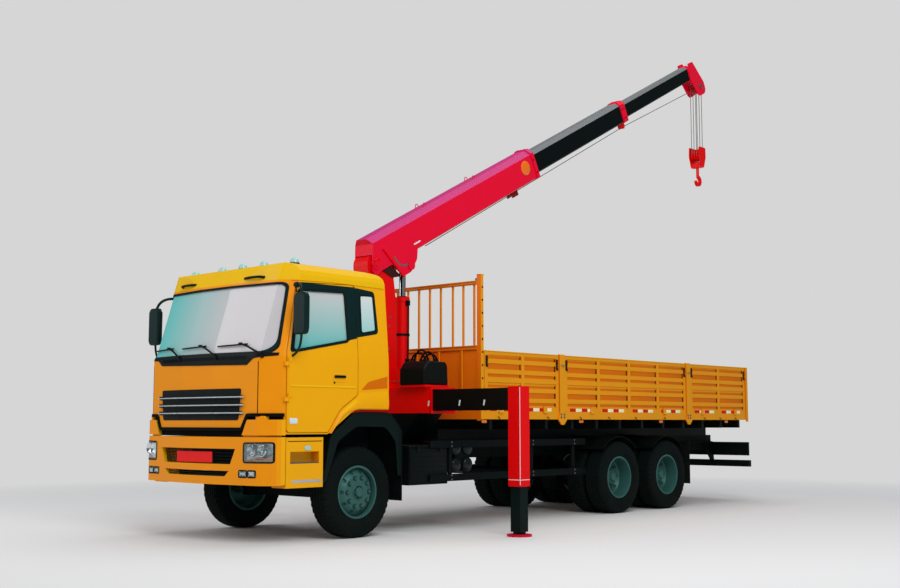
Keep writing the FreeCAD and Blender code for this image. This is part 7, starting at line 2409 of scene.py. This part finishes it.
@dataclass
class ChassisTrim:
    """Fittings under the bed and at the front: tank straps, covers and ends, rivets, cable looms, guard
    bolts, flaps, bumper trim, steps and arch lips.

    Attributes:
        palette: Materials.
        rail_y: Outer face of a frame rail.
    """

    palette: "Palette"
    rail_y: float = 0.43

    def tanks(self) -> None:
        """Straps, filler, battery cover and air-tank ends."""
        looks = self.palette.looks
        outline = rounded_outline([(-1.038, 0.557, 0.093), (-0.497, 0.557, 0.093),
                                   (-0.497, 1.063, 0.093), (-1.038, 1.063, 0.093)], 6)
        straps = []
        for x in (-2.92, -2.65, -2.38):
            inner = shrunk(outline, 0.004)
            rings = np.stack([np.stack([np.full(len(o), xx), o[:, 0], o[:, 1]], axis=1)
                              for o, xx in ((inner, x - 0.03), (outline, x - 0.03),
                                            (outline, x + 0.03), (inner, x + 0.03))], axis=1)
            straps.append(sweep(rings, closed=True))
        filler = turned([(0.0, 0.050), (0.048, 0.048), (0.056, 0.038), (0.056, 0.022),
                         (0.046, 0.020), (0.046, -0.01), (0.0, -0.01)], 2, 24)
        straps.append(filler.moved(-2.25, -0.90, 1.058))
        place("tank_straps", merged(*straps), "chassis", looks["steel"], "chassis_paint")
        lid = merged(block((-1.66, 0.495, 1.018), (-0.94, 1.045, 1.050), 0.02),
                     block((-1.63, 1.034, 0.60), (-0.97, 1.042, 1.00), 0.003))
        ribs = block((-1.60, 1.040, -0.008), (-1.00, 1.047, 0.008), 0.003).repeated(
            np.array([[0.0, 0.0, z] for z in np.arange(0.66, 0.98, 0.06)]))
        clips = block((-0.02, 1.042, 0.96), (0.02, 1.056, 1.035), 0.005).repeated(
            np.array([[-1.50, 0, 0], [-1.10, 0, 0]]))
        place("battery_cover", merged(lid, ribs, clips), "chassis", looks["plastic"],
              "dark_plastic")
        dome = turned([(0.0, 0.040), (0.030, 0.038), (0.060, 0.030), (0.080, 0.016),
                       (0.091, 0.0), (0.091, -0.010), (0.0, -0.010)], 1, 28)
        plug = nut(0.014, 0.014, 1, 0.036)
        ends = merged(dome, plug).repeated(np.array(
            [[x, 1.02, z] for z in (1.0, 0.79) for x in (-1.83, -2.05)]))
        bands = turned([(0.0955, -0.015), (0.099, -0.015), (0.099, 0.015), (0.0955, 0.015)], 1,
                       24).repeated(np.array([[x, y, z] for z in (1.0, 0.79)
                                              for x in (-1.83, -2.05) for y in (0.62, 0.90)]))
        place("air_tank_ends", merged(ends, bands), "chassis", looks["tank_black"],
              "chassis_paint")

    def frame(self) -> None:
        """Rivets along the rails and a cable loom beside each."""
        looks = self.palette.looks
        x = np.arange(-9.0, 0.9, 0.145)
        rivet = turned([(0.0, 0.008), (0.006, 0.007), (0.010, 0.0), (0.0, 0.0)], 1, 8)
        rows = np.array([[a, self.rail_y, z] for a in x for z in (0.90, 1.06)])
        place("frame_rivets", both(rivet.repeated(rows)), "chassis", looks["frame_paint"],
              "chassis_paint")
        loom = tube(np.stack([np.linspace(-8.9, 0.6, 60), np.full(60, self.rail_y + 0.018),
                              0.985 + 0.006 * np.sin(np.linspace(0, 40, 60))], axis=1), 0.014,
                    (0.0, 1.0, 0.0), 8)
        place("frame_looms", both(loom), "chassis", looks["rubber_hose"], "dark_plastic")

    def guard_bolts(self) -> None:
        """Bolts and end caps of the side guards, and the rear mudflaps."""
        looks = self.palette.looks
        bolts = nut(0.010, 0.009, 1, 1.073).repeated(np.array(
            [[x, 0.0, z] for x in (-1.692, -3.35, -4.30) for z in (0.61, 0.66, 1.03, 1.08)]))
        place("guard_bolts", both(bolts), "chassis", looks["steel"], "rod_chrome")
        caps = merged(*(block((x - 0.006, 1.048, z - 0.002), (x + 0.006, 1.076, z + 0.092), 0.004)
                        for x in (-1.30, -4.56) for z in (0.59, 1.01)))
        place("guard_caps", both(caps), "chassis", looks["plastic"], "dark_plastic")
        flaps = []
        for x in (-6.52 - 0.66,):
            flaps.append(block((x - 0.008, 0.62, 0.36), (x, 1.22, 1.00), 0.003))
            flaps.append(block((x - 0.012, 0.62, 0.99), (x + 0.012, 1.22, 1.03), 0.004))
        rib = block((-7.192, 0.64, -0.003), (-7.186, 1.20, 0.003), 0.001).repeated(
            np.array([[0.0, 0.0, z] for z in np.arange(0.40, 0.96, 0.05)]))
        place("rear_flaps", both(merged(*flaps, rib)), "chassis", looks["rubber_hose"],
              "dark_plastic")

    def front(self) -> None:
        """Plate holder, blank plate, intake mesh, bumper swage, step treads with their edge strips and
        seams, and step lamps.
        """
        looks = self.palette.looks
        form = BUMPER_FORM
        bar = block((1.424, -0.36, 0.875), (1.466, 0.33, 1.012), 0.008)
        place("plate_holder", bar, "chassis", looks["plastic"], "dark_plastic")
        blank = plate(rounded(0.67, 0.122, 0.012, 4), 0, 1.464, 1.472, 0.002)
        place("blank_plate", blank.moved(0.0, -0.015, 0.943), "chassis", looks["plate_red"],
              "cab_paint")
        mesh = []
        for y in np.arange(-0.64, 0.66, 0.035):
            mesh.append(form.patch(run_of([(y, 0.868), (y + 0.02, 1.045)], 0.2),
                                   run_of([(y + 0.005, 0.868), (y + 0.025, 1.045)], 0.2),
                                   Facing.FRONT, -0.040, 0.046, 1))
        for z in np.arange(0.885, 1.04, 0.035):
            mesh.append(form.patch(run_of([(-0.68, z), (0.68, z)], 0.15),
                                   run_of([(-0.68, z + 0.006), (0.68, z + 0.006)], 0.15),
                                   Facing.FRONT, -0.039, 0.047, 1))
        for z in (0.745, 0.766, 0.787):
            mesh.append(form.patch(run_of([(-0.57, z), (0.57, z)], 0.15),
                                   run_of([(-0.57, z + 0.007), (0.57, z + 0.007)], 0.15),
                                   Facing.FRONT, -0.030, 0.040, 1))
        place("intake_mesh", merged(*mesh), "chassis", looks["plastic"], "dark_plastic")
        low = form.patch(run_of([(-1.0, 0.660), (1.0, 0.660)], 0.1),
                         run_of([(-1.0, 0.700), (1.0, 0.700)], 0.1), Facing.FRONT,
                         np.array([-0.004, -0.001, -0.001, -0.004])[None, :], 0.006, 3)
        place("bumper_swage", low, "chassis", looks["cab_paint"], "cab_paint")
        tread = block((0.69, 1.112, 0.884), (1.10, 1.232, 0.892), 0.003)
        dimples = turned([(0.0, 0.006), (0.006, 0.006), (0.010, 0.0), (0.0, 0.0)], 2, 10)
        dimples = dimples.repeated(np.array([[x, y, 0.891] for x in np.linspace(0.72, 1.07, 12)
                                             for y in (1.13, 1.16, 1.19, 1.22)]))
        place("step_treads", both(merged(tread, dimples)), "chassis", looks["steel"],
              "rod_chrome")
        strip = block((0.650, 1.2375, 0.672), (1.080, 1.2405, 0.700), 0.002)
        marks = block((0.65, 1.2375, 1.120), (1.14, 1.2405, 1.128), 0.001)
        place("step_strips", both(merged(strip)), "chassis", looks["silver"], "dark_plastic")
        place("step_seams", both(marks), "chassis", looks["gap_and_shade_black"], "dark_plastic")
        oval = plate(rounded(0.05, 0.09, 0.024, 5), 1, 1.238, 1.246, 0.003).moved(
            0.857, 0.0, 1.049)
        place("step_lamps", both(oval), "chassis", looks["lens_teal"], "lamp_lens")

    def arch(self) -> None:
        """Rubber lip round each front wheel arch, drawn along the liner's outer edge."""
        line = rounded_outline([(-0.640, 0.70, 0.01), (-0.640, 1.25, 0.15), (-0.45, 1.44, 0.15),
                                (0.11, 1.44, 0.18), (0.475, 1.18, 0.15), (0.585, 0.66, 0.06),
                                (0.0, -4.0, 0.01)], 6)[:-7]
        path = np.stack([line[:, 0], np.full(len(line), 1.196), line[:, 1]], axis=1)
        lip = tube(path, 0.012, (0.0, 1.0, 0.0), 8)
        inner = rounded_outline([(-0.600, 0.70, 0.01), (-0.560, 1.10, 0.15), (-0.40, 1.275, 0.15),
                                 (0.08, 1.285, 0.18), (0.365, 1.12, 0.15), (0.535, 0.70, 0.06),
                                 (0.0, -4.0, 0.01)], 6)[:-7]
        near, far = spread(line, 60), spread(inner, 60)
        rings = np.stack([np.stack([o[:, 0], np.full(60, y), o[:, 1]], axis=1) for o, y in (
            (near, 1.186), (near, 1.199), (far, 1.199), (far, 1.186))], axis=1)
        wall = plate(np.array([(1.08, -0.62), (1.08, 0.50), (1.16, 0.48), (1.40, 0.10),
                               (1.40, -0.44), (1.24, -0.62)]), 1, 0.645, 0.655)
        skirt = merged(lip, sweep(rings), wall)
        place("arch_lips", both(skirt), "chassis", self.palette.looks["liner_green"],
              "dark_plastic")

    def build(self) -> None:
        """Build all chassis fittings."""
        self.tanks()
        self.frame()
        self.guard_bolts()
        self.front()
        self.arch()


@dataclass
class Studio:
    """Camera at the photograph's view, a pale floor and soft lights."""

    eye: tuple[float, float, float] = (13.780968, 11.385, 1.333)
    heading: float = 42.47
    rise: float = 6.14
    lens: float = 47.66
    floor_colour: Colour = rgb(214, 214, 214)

    def camera(self) -> None:
        """Set the camera."""
        data = bpy.data.cameras.new("camera")
        data.lens = self.lens
        data.sensor_width = 36.0
        data.sensor_fit = "HORIZONTAL"
        data.clip_end = 500.0
        camera = bpy.data.objects.new("camera", data)
        turn, lift = math.radians(self.heading), math.radians(self.rise)
        ahead = Vector((-math.cos(turn) * math.cos(lift), -math.sin(turn) * math.cos(lift),
                        math.sin(lift)))
        camera.location = self.eye
        camera.rotation_mode = "QUATERNION"
        camera.rotation_quaternion = ahead.to_track_quat("-Z", "Y")
        bpy.context.scene.collection.objects.link(camera)
        bpy.context.scene.camera = camera

    def floor(self) -> None:
        """Lay a wide floor whose colour, seen by the camera, fades into the backdrop's."""
        look = bpy.data.materials.new("studio_floor")
        look.use_nodes = True
        n = Nodes(look.node_tree)
        place_at = n.add("ShaderNodeTexCoord").outputs["Object"]
        far = n.add("ShaderNodeVectorMath", {0: place_at}, operation="LENGTH").outputs["Value"]
        fade = n.span(far, 7.5, 13.0)
        diffuse = n.add("ShaderNodeBsdfDiffuse", {0: self.floor_colour})
        glow = n.add("ShaderNodeEmission", {0: self.floor_colour, 1: 1.0})
        mixed = n.add("ShaderNodeMixShader", {0: fade, 1: diffuse.outputs[0],
                                              2: glow.outputs[0]})
        n.add("ShaderNodeOutputMaterial", {0: mixed.outputs[0]})
        reach = 120.0
        ring = np.array([[-reach, -reach, 0], [reach, -reach, 0], [reach, reach, 0],
                         [-reach, reach, 0]], float)
        mesh = bpy.data.meshes.new("studio_floor")
        mesh.from_pydata(ring.tolist(), [], [(0, 1, 2, 3)])
        mesh.materials.append(look)
        floor = bpy.data.objects.new("studio_floor", mesh)
        bpy.context.scene.collection.objects.link(floor)

    def lights(self) -> None:
        """Hang two large soft panels and set a pale world."""
        for name, place_at, target, size, power in (
            ("key", (9.0, 12.0, 12.0), (0.0, 0.0, 1.5), 9.0, 1500.0),
            ("fill", (14.0, -7.0, 7.0), (3.0, 0.0, 1.5), 8.0, 500.0),
            ("top", (-2.0, 0.0, 16.0), (-2.0, 0.0, 0.0), 12.0, 900.0),
        ):
            data = bpy.data.lights.new(name, "AREA")
            data.size = size
            data.energy = power
            lamp = bpy.data.objects.new(name, data)
            lamp.location = place_at
            aim = Vector(target) - Vector(place_at)
            lamp.rotation_mode = "QUATERNION"
            lamp.rotation_quaternion = aim.to_track_quat("-Z", "Y")
            bpy.context.scene.collection.objects.link(lamp)
        world = bpy.data.worlds.new("world")
        world.use_nodes = True
        n = Nodes(world.node_tree)
        path = n.add("ShaderNodeLightPath")
        seen = path.outputs["Is Camera Ray"]
        dim = n.add("ShaderNodeBackground", {0: rgb(200, 206, 210), 1: 0.22})
        soft = n.add("ShaderNodeBackground", {0: rgb(235, 238, 242), 1: 0.55})
        shown = n.add("ShaderNodeBackground", {0: self.floor_colour, 1: 1.0})
        lit = n.add("ShaderNodeMixShader", {0: path.outputs["Is Glossy Ray"],
                                            1: soft.outputs[0], 2: dim.outputs[0]})
        both = n.add("ShaderNodeMixShader", {0: seen, 1: lit.outputs[0], 2: shown.outputs[0]})
        n.add("ShaderNodeOutputWorld", {0: both.outputs[0]})
        bpy.context.scene.world = world

    def build(self) -> None:
        """Make the whole studio."""
        self.camera()
        self.floor()
        self.lights()
        bpy.context.scene.view_settings.view_transform = "Standard"
        LOG.info("studio ready")


def main() -> None:
    """Build the looks of the whole truck."""
    logging.basicConfig(level=logging.INFO, format="%(name)s %(message)s")
    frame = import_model()
    palette = Palette(Effects())
    palette.build()
    palette.dress(frame["nodes"])
    for part in (Wheels(palette), CabTrim(palette), Lamps(palette), Interior(palette),
                 BoomTrim(palette), Rigging(palette), BaseTrim(palette), BedTrim(palette),
                 ChassisTrim(palette)):
        part.build()
    Studio().build()


if __name__ == "__main__":
    main()
